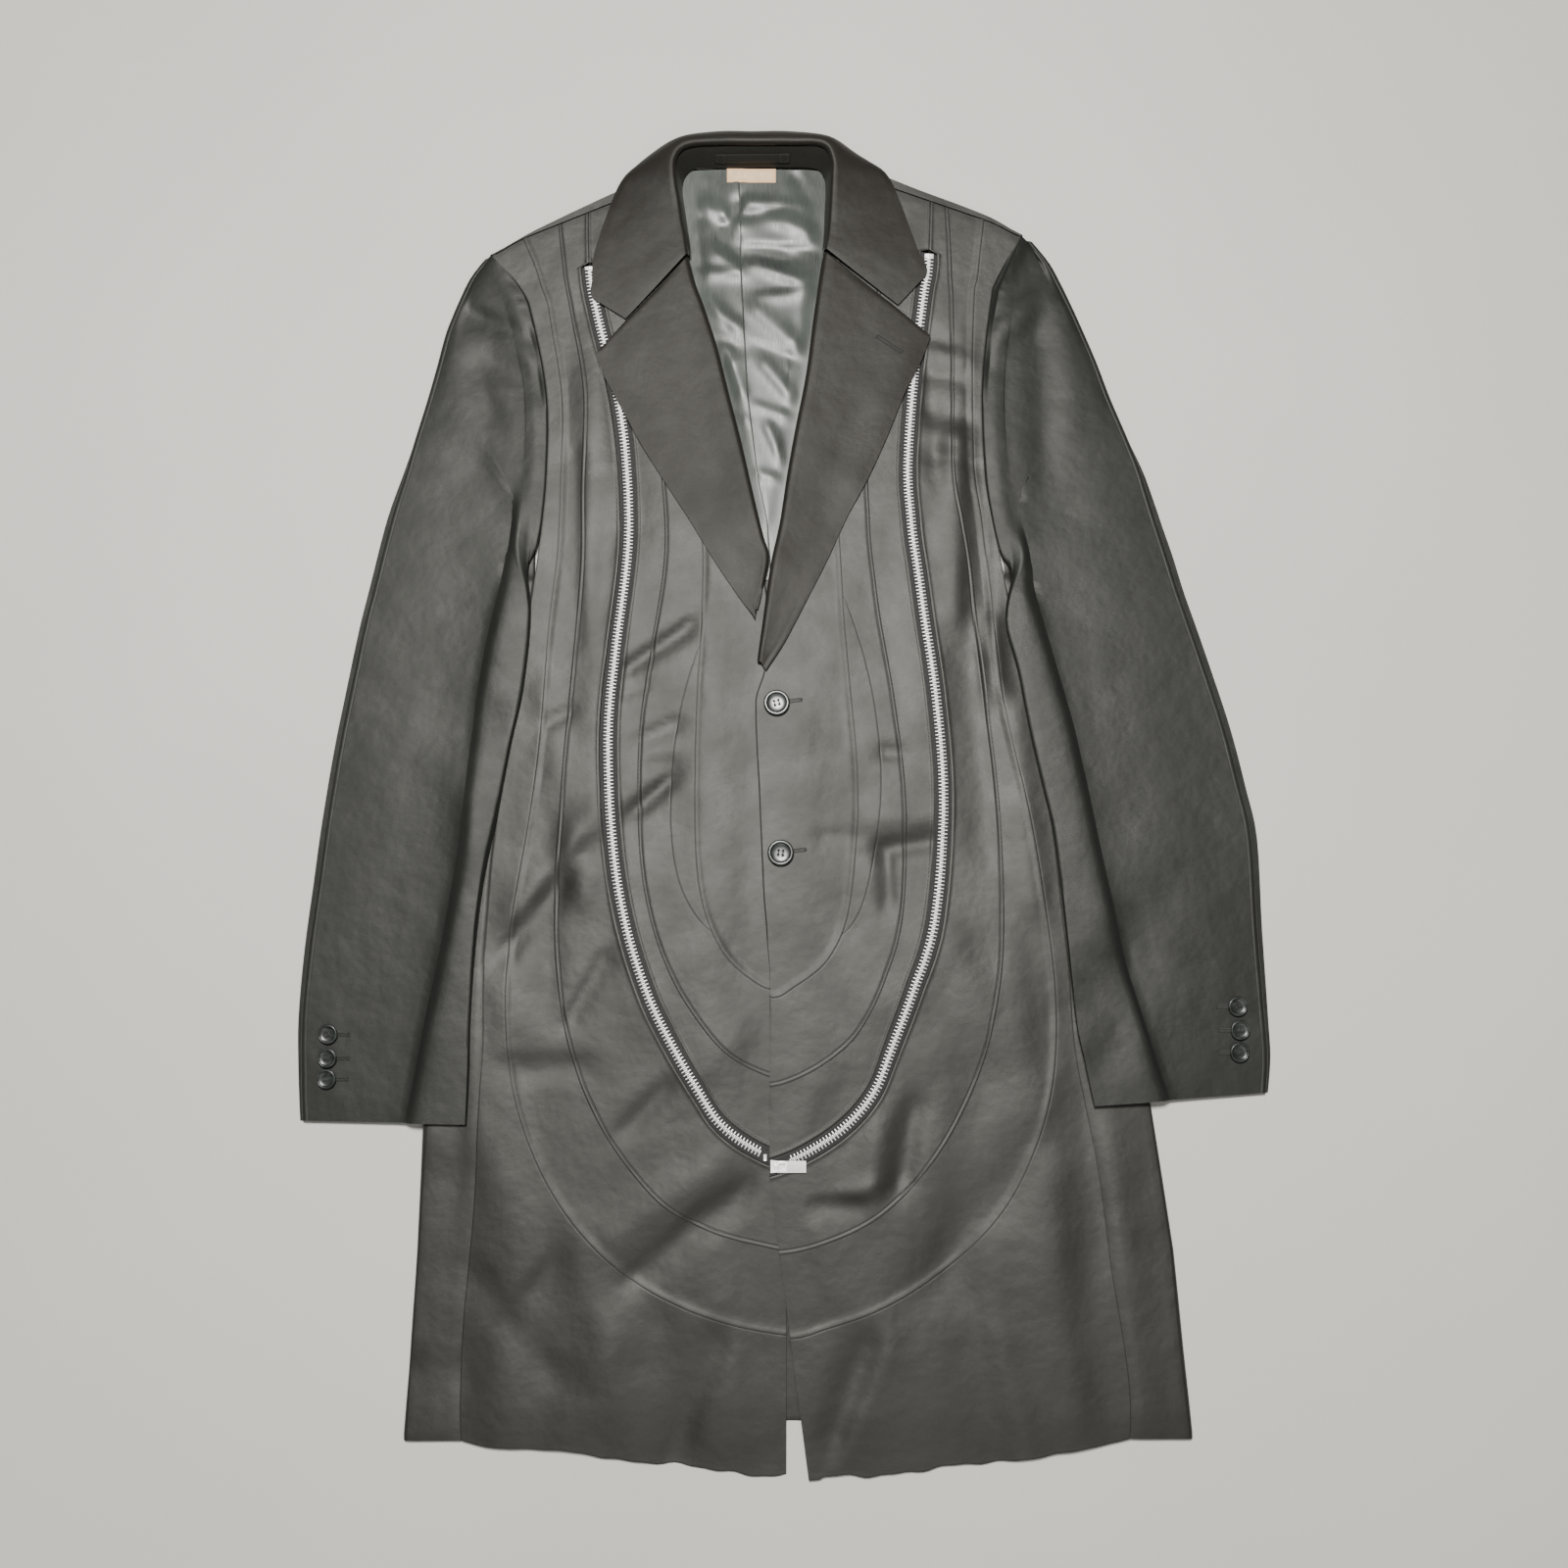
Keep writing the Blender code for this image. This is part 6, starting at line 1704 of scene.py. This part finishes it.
def sleeve_rows(side, section, steps):
    """Sections from the shoulder to the cuff, smooth along the head and along the arm."""
    head, arm = SLEEVES[side]
    head_rows, arm_rows = [], []
    last = len(head) - 1
    for step in range(last * steps + 1):
        place, out_x, out_y = along(np.array(head, dtype=float), step / steps)
        inner = front_point(side, place, front_value(side, "side", place) + 2 * SEAM)
        head_rows.append(section(side, Vector(inner), Vector((out_x, out_y)), True))
    last = len(arm) - 1
    for step in range(last * steps + 1):
        in_x, in_y, out_x, out_y = along(np.array(arm, dtype=float), step / steps)
        arm_rows.append(section(side, Vector((in_x, in_y)), Vector((out_x, out_y)), False))
    first, second = np.array(head_rows[-1]), np.array(arm_rows[0])
    between = [first + (second - first) * share for share in (0.2, 0.4, 0.6, 0.8)]
    return np.array(head_rows + between + arm_rows), len(head_rows)


def softened(points, share, times):
    """A grid evened out along its rows, most where the share is one."""
    for _ in range(times):
        even = points.copy()
        even[1:-1] = (points[:-2] + 2.0 * points[1:-1] + points[2:]) / 4.0
        points = points + share[:, None, None] * (even - points)
    return points


def sew_sleeve(side):
    for part, section in (("upper", upper_section), ("under", under_section)):
        rows, head_count = sleeve_rows(side, section, 4)
        plan = refined(rows, 4, axis=1)
        points = plan.copy()
        columns = np.arange(points.shape[1])[None, :] / 4.0
        if part == "upper":
            arm_mask = 1.0 - smooth(columns, 4.0, 5.5)
            head_mask = 1.0 - smooth(columns, 8.5, 10.0)
            share = smooth(np.arange(len(points))[:, None], head_count - 4, head_count + 4)
            mask = head_mask * (1 - share) + arm_mask * share
            reach = smooth(np.arange(head_count), head_count - 9, head_count - 1)[:, None]
            lift = np.maximum(plan[head_count + 4, :, 2][None, :] - plan[:head_count, :, 2], 0.0)
            shoulder = smooth(columns, 2.0, 5.0) * (1.0 - smooth(columns, 6.5, 8.8))
            points[:head_count, :, 2] += SHOULDER_FILL * lift * reach * shoulder
            mask = mask * smooth(columns, 0.0, 0.8)
            x, y = points[..., 0], points[..., 1]
            points[..., 2] += CREASE_DEPTH * mask * relief(SLEEVE_CREASES, x, y, CREASE_BREADTH)
            pucker = np.exp(-((columns - 8.6) / 1.0) ** 2) * (1 - share)
            points[..., 2] += HEAD_PUCKER * pucker * np.sin(np.arange(len(points))[:, None] * 1.7)
            points[:, -1, 2] -= 0.5 * (1 - share[:, 0])
            points[:, 0, 2] -= 0.05
            points[0, :, 1] += 1.6 * smooth(columns[0], 1.0, 7.0)
        near_pit = np.exp(-((np.arange(len(points)) - head_count - 1.5) / 5.0) ** 2)
        points = softened(points, near_pit, 14)
        sew_sheet(f"{SIDE_NAMES[side]}_{part}_sleeve", bend_shell(points, SLEEVE_CLOTH), sleeve_twill(),
                  "shell", plan)


# Buttons and buttonholes
def button_mould(radius, thick):
    """A turned button: raised rim, dished face and four holes."""
    start_clean()
    bpy.ops.mesh.primitive_cylinder_add(vertices=48, radius=radius * 0.86 * MM, depth=thick * 0.5 * MM,
                                        location=(0, 0, thick * 0.25 * MM))
    piece = open_piece()
    pick_top(piece)
    extrude_by(0, 0, thick * 0.22)
    bpy.ops.transform.resize(value=(1.16, 1.16, 1.0), center_override=(0, 0, 0))
    extrude_by(0, 0, thick * 0.28)
    bpy.ops.transform.resize(value=(0.90, 0.90, 1.0), center_override=(0, 0, 0))
    inset_by(0.12 * radius)
    inset_by(0.08 * radius)
    move_by(0, 0, -0.26 * thick)
    inset_by(0.22 * radius)
    move_by(0, 0, -0.12 * thick)
    piece = close_piece(piece, "button_mould")
    apply_bevel(piece, 0.22 * MM, 2, 24)
    for number in range(4):
        angle = math.pi / 4 + math.pi / 2 * number
        away = 0.24 * radius * MM
        start_clean()
        bpy.ops.mesh.primitive_cylinder_add(
            vertices=16, radius=0.105 * radius * MM, depth=4 * thick * MM,
            location=(math.cos(angle) * away, math.sin(angle) * away, 0))
        apply_boolean(piece, bpy.context.object, "DIFFERENCE")
    return piece


def thread_mould(length, thick):
    """A short stitch with rounded ends, lying along Y."""
    start_clean()
    bpy.ops.mesh.primitive_cylinder_add(vertices=6, radius=thick / 2 * MM, depth=length * 0.6 * MM,
                                        location=(0, 0, 0), rotation=(math.pi / 2, 0, 0))
    apply_place()
    piece = open_piece()
    for end in (1, -1):
        pick_faces(piece, lambda face: face.normal.y * end > 0.9)
        extrude_by(0, end * length * 0.2, -thick * 0.2)
        bpy.ops.transform.resize(value=(0.35, 1.0, 0.35))
    return close_piece(piece, "thread_mould")


def cuff_top(side, x, y):
    """Outer face of the upper sleeve where the cuff buttons lie."""
    row = SLEEVES[side][1][-3]
    inner, outer = Vector(row[:2]), Vector(row[2:])
    share = (abs(outer.x) - abs(x)) / (abs(outer.x) - abs(inner.x))
    loft = SLEEVE_LOFT * math.sin(math.pi * share)
    crease = float(relief(SLEEVE_CREASES, x, y))
    return sleeve_low(side, x, y) + SLEEVE_RISE + loft + SLEEVE_WALL / 2 + crease - 0.15


def button_seats():
    """Name, centre and size of every button."""
    seats = []
    for number, (x, y) in enumerate(FRONT_BUTTONS, 1):
        seats.append((f"front_button_{number}", (x, y, float(front_top(LEFT, x, y)) + 0.3), FRONT_BUTTON))
    for side, centres in CUFF_BUTTONS.items():
        for number, (x, y) in enumerate(centres, 1):
            seats.append((f"{SIDE_NAMES[side]}_cuff_button_{number}",
                          (x, y, cuff_top(side, x, y) + 0.4), CUFF_BUTTON))
    return seats


def sew_buttons():
    resin = ready("button_resin", button_finish, bpy.context.scene.jacket_trim.button_colour)
    moulds = {size: button_mould(*size) for size in (FRONT_BUTTON, CUFF_BUTTON)}
    strand = thread_mould(1.0, 0.5)
    for (name, centre, size), turn in zip(button_seats(), BUTTON_TURNS):
        radius, thick = size
        seat = Matrix.Translation(placed(centre)) @ Matrix.Rotation(turn, 4, "Z")
        piece = dress(copy_at(moulds[size], f"{name}_resin", seat), resin, "button")
        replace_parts(piece, name)
        frames = []
        for offset in (-1, 1):
            for lift, shift in ((0.0, -0.16), (0.05, 0.16)):
                spot = (offset * 0.17 * radius * MM + shift * MM, 0.0, (0.66 * thick + lift) * MM)
                stretch = Matrix.Diagonal((1.0, 0.52 * radius, 1.0, 1.0))
                frames.append(seat @ Matrix.Translation(spot) @ stretch)
        sew_stitches(f"{name}_thread", strand, frames, "button")
    for mould in list(moulds.values()) + [strand]:
        bpy.data.objects.remove(mould)


def buttonhole_frames(start, end, half, height):
    """Frames of the worked stitches round a buttonhole that runs from start to end."""
    start, end = np.array(start, dtype=float), np.array(end, dtype=float)
    run = end - start
    length = np.linalg.norm(run)
    ahead = run / length
    aside = np.array((-ahead[1], ahead[0]))
    frames = []
    count = int(length / HOLE_STITCH_PITCH)
    for number in range(count + 1):
        spot = start + ahead * length * number / count
        for flank in (-1, 1):
            x, y = spot + aside * flank * half
            frames.append(frame_at(placed((x, y, height(x, y))), (*aside, 0.0)))
    for number in range(7):
        angle = -math.pi / 2 + math.pi * number / 6
        for centre, sign in ((start, -1), (end, 1)):
            ray = ahead * sign * math.cos(angle) + aside * math.sin(angle)
            x, y = centre + ray * half
            frames.append(frame_at(placed((x, y, height(x, y))), (*ray, 0.0)))
    return frames


def sew_buttonholes():
    """Worked buttonholes of the front, the cuffs and the lapel."""
    stitch = thread_mould(1.7, 0.42)

    def on_front(x, y):
        return float(cloth_top(LEFT, x, y)) + STITCH_LIFT

    jobs = [(f"front_buttonhole_{number}", (x - 3, y), (x + FRONT_HOLE_REACH, y + 2.5), 0.95, on_front)
            for number, (x, y) in enumerate(FRONT_BUTTONS, 1)]
    for side, centres in CUFF_BUTTONS.items():
        for number, (x, y) in enumerate(centres, 1):
            jobs.append((f"{SIDE_NAMES[side]}_cuff_buttonhole_{number}", (x - side * 2, y),
                         (x - side * CUFF_HOLE_REACH, y), 0.8,
                         lambda px, py, side=side: cuff_top(side, px, py) + 0.1))
    jobs.append(("lapel_buttonhole", LAPEL_HOLE[:2], LAPEL_HOLE[2:], 1.1, lapel_height))
    for name, *hole in jobs:
        sew_stitches(name, stitch, buttonhole_frames(*hole))
    bpy.data.objects.remove(stitch)


def lapel_height(x, y):
    """Outer face of the left lapel, read from its own cloth."""
    piece = bpy.data.objects["left_lapel_cloth"]
    spot = placed((x, y, 0.0))
    hit, point, _, _ = piece.ray_cast(Vector((spot[0], spot[1], 0.1)), Vector((0, 0, -1)))
    if not hit:
        raise RuntimeError("the lapel buttonhole lies off the lapel")
    return point.z / MM + STITCH_LIFT


def sew_topstitching():
    """Rows of stitches beside the welted seams and the zip slot."""
    stitch = thread_mould(2.3, 0.36)
    for side in (RIGHT, LEFT):
        last = len(FRONTS[side]) - 0.98
        lines = (("rib_line", "rib", SEAM + WELT_LINE, 0.05, last, "welt"),
                 ("outer_line", "outer", SEAM + WELT_LINE, 0.05, last, "welt"),
                 ("slot_inner_line", "slot_in", -SLOT_LINE, ZIP_TOP[side] + 0.1, last, "slot"),
                 ("slot_outer_line", "slot_out", SLOT_LINE, ZIP_TOP[side] + 0.1, last, "slot"))
        for label, seam, offset, first, end, kind in lines:
            places = fine_places(side, first, end, lambda place: seam_at(seam, side, place), 2.0)
            points = []
            for place in places:
                x, y = front_point(side, place, seam_at(seam, side, place) + offset)
                from_edge = abs(offset) - (SEAM if kind == "welt" else 0.0)
                z = cloth_top(side, x, y) + edge_finish(kind, from_edge)
                points.append((float(x), float(y), float(z) + STITCH_LIFT))
            frames = frames_along(points, STITCH_PITCH, 1.0)
            sew_stitches(f"{SIDE_NAMES[side]}_{label}_stitches", stitch, frames)
    bpy.data.objects.remove(stitch)


# Slider, pull and stop
def cast_slider():
    """Slider body, broad at the head, with an arched bridge that the pull turns in."""
    half_l, half_w = SLIDER_LENGTH / 2, SLIDER_WIDTH / 2
    body = block("slider_cast", (SLIDER_X - half_l, SLIDER_Y - half_w, SLIDER_LOW),
                 (SLIDER_X + half_l, SLIDER_Y + half_w, SLIDER_TOP))
    pick_faces(body, lambda face: face.normal.x > 0.9)
    bpy.ops.transform.resize(value=(1.0, 0.7, 1.0))
    pick_top(body)
    inset_by(1.1)
    move_by(0, 0, -0.35)
    body = close_piece(body, "slider_cast")
    apply_bevel(body, 0.45 * MM, 2)
    start_clean()
    x, y, top = placed((SLIDER_X, SLIDER_Y, SLIDER_TOP))
    foot = (x, y, top - BRIDGE_SUNK * MM)
    leg_x = x - (BRIDGE_RADIUS + BRIDGE_LEG / 2) * MM
    bpy.ops.mesh.primitive_plane_add(size=1.0, location=(leg_x, *foot[1:]))
    arch = bpy.context.object
    arch.scale = (BRIDGE_LEG * MM, BRIDGE_WIDTH * MM, 1.0)
    apply_place()
    open_piece()
    bpy.ops.mesh.select_all(action="SELECT")
    bpy.ops.mesh.spin(steps=14, angle=math.pi, center=foot, axis=(0, 1, 0))
    bpy.ops.mesh.select_all(action="SELECT")
    bpy.ops.mesh.normals_make_consistent(inside=False)
    stretch = (BRIDGE_TOP - SLIDER_TOP + BRIDGE_SUNK) / (BRIDGE_RADIUS + BRIDGE_LEG)
    bpy.ops.transform.resize(value=(1.0, 1.0, stretch), center_override=foot)
    arch = close_piece(arch, "arch")
    apply_bevel(arch, 0.22 * MM, 2, 50)
    apply_boolean(body, arch, "UNION")
    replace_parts(dress(body, zip_metal(), "zip_metal"), "slider")


def cast_pull():
    """Flat tab with a window for the bridge and a bare sunk face."""
    half_b, half_w = PULL_BAR / 2, PULL_WIDTH / 2
    pull = block("zip_pull_cast", (SLIDER_X - half_b, SLIDER_Y - half_w, HINGE_Z - half_b),
                 (SLIDER_X + PULL_LENGTH, SLIDER_Y + half_w, HINGE_Z + half_b))
    start = placed((SLIDER_X + half_b + PULL_EYE[0] + 1.2, SLIDER_Y, 0))[0]
    bpy.ops.mesh.select_all(action="SELECT")
    bpy.ops.mesh.bisect(plane_co=(start, 0, 0), plane_no=(1, 0, 0))
    pick_faces(pull, lambda face: abs(face.normal.z) > 0.9 and face.calc_center_median().x > start)
    inset_by(1.3)
    shape = bmesh.from_edit_mesh(pull.data)
    for face in shape.faces:
        if face.select:
            for vert in face.verts:
                vert.co.z -= math.copysign(0.3 * MM, face.normal.z)
    bmesh.update_edit_mesh(pull.data)
    pull = close_piece(pull, "zip_pull_cast")
    eye = block("eye", (SLIDER_X + half_b, SLIDER_Y - PULL_EYE[1] / 2, HINGE_Z - 2),
                (SLIDER_X + half_b + PULL_EYE[0], SLIDER_Y + PULL_EYE[1] / 2, HINGE_Z + 2))
    eye = close_piece(eye, "eye")
    apply_boolean(pull, eye, "DIFFERENCE")
    apply_bevel(pull, 0.28 * MM, 2)
    dress(pull, zip_metal(), "zip_metal", "pull")
    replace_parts(pull, "zip_pull")


def cast_stop():
    """End stop, pinched over the tape."""
    low_z = float(front_top(RIGHT, STOP_X, STOP_Y)) - TAPE_SINK + 0.3
    length, width, height = STOP_SIZE
    stop = block("zip_stop_cast", (STOP_X - length / 2, STOP_Y - width / 2, low_z),
                 (STOP_X + length / 2, STOP_Y + width / 2, low_z + height))
    pick_top(stop)
    inset_by(0.5)
    move_by(0, 0, -0.25)
    stop = close_piece(stop, "zip_stop_cast")
    apply_bevel(stop, 0.3 * MM, 2)
    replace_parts(dress(stop, zip_metal(), "zip_metal"), "zip_stop")


# Stage
def set_stage():
    stage = bpy.context.scene.jacket_stage
    start_clean()
    bpy.ops.mesh.primitive_plane_add(size=8.0, location=(0, 0, -0.0001))
    floor = bpy.context.object
    apply_place()
    floor.name = "floor"
    floor.data.materials.append(floor_finish("pale_floor", tuple(stage.floor_colour)))
    for name, place, size, power in (("key_light", KEY_PLACE, KEY_SIZE, stage.key_power),
                                     ("fill_light", FILL_PLACE, FILL_SIZE, stage.fill_power)):
        light = bpy.data.lights.new(name, "AREA")
        light.energy = power
        light.size = size
        light.color = LAMP_COLOUR
        lamp = add_object(name, light)
        lamp.location = place
        lamp.rotation_euler = (-Vector(place)).to_track_quat("-Z", "Y").to_euler()
    world = bpy.data.worlds.new("studio")
    world.use_nodes = True
    sky = world.node_tree.nodes["Background"]
    sky.inputs["Color"].default_value = SKY_COLOUR
    sky.inputs["Strength"].default_value = SKY_STRENGTH
    bpy.context.scene.world = world
    camera = add_object("camera", bpy.data.cameras.new("camera"))
    camera.data.lens = CAMERA_LENS
    camera.data.sensor_width = CAMERA_SENSOR
    camera.location = CAMERA_PLACE
    camera.rotation_euler = (CAMERA_TILT, 0.0, 0.0)
    bpy.context.scene.camera = camera


# Operators, one for each piece or group of like pieces
def for_both_sides(maker):
    """Makes the right piece and then the left one."""
    for side in (RIGHT, LEFT):
        maker(side)
    return {"FINISHED"}


class JACKET_OT_backs(bpy.types.Operator):
    """Lay the two half backs on the floor"""
    bl_idname = "jacket.backs"
    bl_label = "Backs"

    def execute(self, context):
        return for_both_sides(sew_back)


class JACKET_OT_side_panels(bpy.types.Operator):
    """Fold the two side panels round the sides"""
    bl_idname = "jacket.side_panels"
    bl_label = "Side panels"

    def execute(self, context):
        return for_both_sides(sew_side_panel)


class JACKET_OT_fronts(bpy.types.Operator):
    """Sew the seven panels of each front"""
    bl_idname = "jacket.fronts"
    bl_label = "Fronts"

    def execute(self, context):
        return for_both_sides(sew_front)


class JACKET_OT_zip_tapes(bpy.types.Operator):
    """Lay the zip tapes under their slots"""
    bl_idname = "jacket.zip_tapes"
    bl_label = "Zip tapes"

    def execute(self, context):
        return for_both_sides(sew_zip_tape)


class JACKET_OT_zip_teeth(bpy.types.Operator):
    """Set the interlocking teeth along the tapes"""
    bl_idname = "jacket.zip_teeth"
    bl_label = "Zip teeth"

    def execute(self, context):
        return for_both_sides(sew_zip_teeth)


class JACKET_OT_linings(bpy.types.Operator):
    """Lay the satin lining with its centre pleat"""
    bl_idname = "jacket.linings"
    bl_label = "Linings"

    def execute(self, context):
        return for_both_sides(sew_lining)


class JACKET_OT_lapels(bpy.types.Operator):
    """Fold out the two lapels"""
    bl_idname = "jacket.lapels"
    bl_label = "Lapels"

    def execute(self, context):
        return for_both_sides(sew_lapel)


class JACKET_OT_collar(bpy.types.Operator):
    """Shape the collar's fall and stand"""
    bl_idname = "jacket.collar"
    bl_label = "Collar"

    def execute(self, context):
        sew_collar()
        return {"FINISHED"}


class JACKET_OT_loop_and_label(bpy.types.Operator):
    """Sew on the hanger loop and the bare label"""
    bl_idname = "jacket.loop_and_label"
    bl_label = "Loop and label"

    def execute(self, context):
        sew_hanger_loop()
        sew_label()
        return {"FINISHED"}


class JACKET_OT_sleeves(bpy.types.Operator):
    """Set in the two sleeves"""
    bl_idname = "jacket.sleeves"
    bl_label = "Sleeves"

    def execute(self, context):
        return for_both_sides(sew_sleeve)


class JACKET_OT_buttons(bpy.types.Operator):
    """Turn the buttons and sew them on"""
    bl_idname = "jacket.buttons"
    bl_label = "Buttons"

    def execute(self, context):
        sew_buttons()
        return {"FINISHED"}


class JACKET_OT_stitching(bpy.types.Operator):
    """Work the buttonholes and the rows of topstitching"""
    bl_idname = "jacket.stitching"
    bl_label = "Stitching"

    def execute(self, context):
        sew_buttonholes()
        sew_topstitching()
        return {"FINISHED"}


class JACKET_OT_slider(bpy.types.Operator):
    """Cast the zip's slider, its pull and the end stop"""
    bl_idname = "jacket.slider"
    bl_label = "Slider"

    def execute(self, context):
        cast_slider()
        cast_pull()
        cast_stop()
        return {"FINISHED"}


class JACKET_OT_stage(bpy.types.Operator):
    """Set the floor, the lights and the camera"""
    bl_idname = "jacket.stage"
    bl_label = "Stage"

    def execute(self, context):
        set_stage()
        return {"FINISHED"}


class JACKET_PT_pieces(bpy.types.Panel):
    """Sizes, colours and pieces of the jacket"""
    bl_label = "Long jacket"
    bl_space_type = "VIEW_3D"
    bl_region_type = "UI"
    bl_category = "Jacket"

    def draw(self, context):
        for group in (context.scene.jacket_cloth, context.scene.jacket_trim, context.scene.jacket_stage):
            column = self.layout.column(align=True)
            for name in group.__annotations__:
                column.prop(group, name)
        column = self.layout.column(align=True)
        for operator in OPERATORS:
            column.operator(operator.bl_idname)


GROUPS = (("jacket_cloth", JacketCloth), ("jacket_trim", JacketTrim), ("jacket_stage", JacketStage))
OPERATORS = (JACKET_OT_stage, JACKET_OT_backs, JACKET_OT_side_panels, JACKET_OT_fronts,
             JACKET_OT_zip_tapes, JACKET_OT_zip_teeth, JACKET_OT_linings, JACKET_OT_lapels,
             JACKET_OT_collar, JACKET_OT_loop_and_label, JACKET_OT_sleeves, JACKET_OT_buttons,
             JACKET_OT_stitching, JACKET_OT_slider)


def register():
    for name, group in GROUPS:
        bpy.utils.register_class(group)
        setattr(bpy.types.Scene, name, PointerProperty(type=group))
    for operator in OPERATORS:
        bpy.utils.register_class(operator)
    bpy.utils.register_class(JACKET_PT_pieces)


def unregister():
    bpy.utils.unregister_class(JACKET_PT_pieces)
    for operator in reversed(OPERATORS):
        bpy.utils.unregister_class(operator)
    for name, group in reversed(GROUPS):
        delattr(bpy.types.Scene, name)
        bpy.utils.unregister_class(group)


def main():
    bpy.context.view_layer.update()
    register()
    for operator in OPERATORS:
        group, name = operator.bl_idname.split(".")
        getattr(getattr(bpy.ops, group), name)()
    start_clean()


if __name__ == "__main__":
    main()
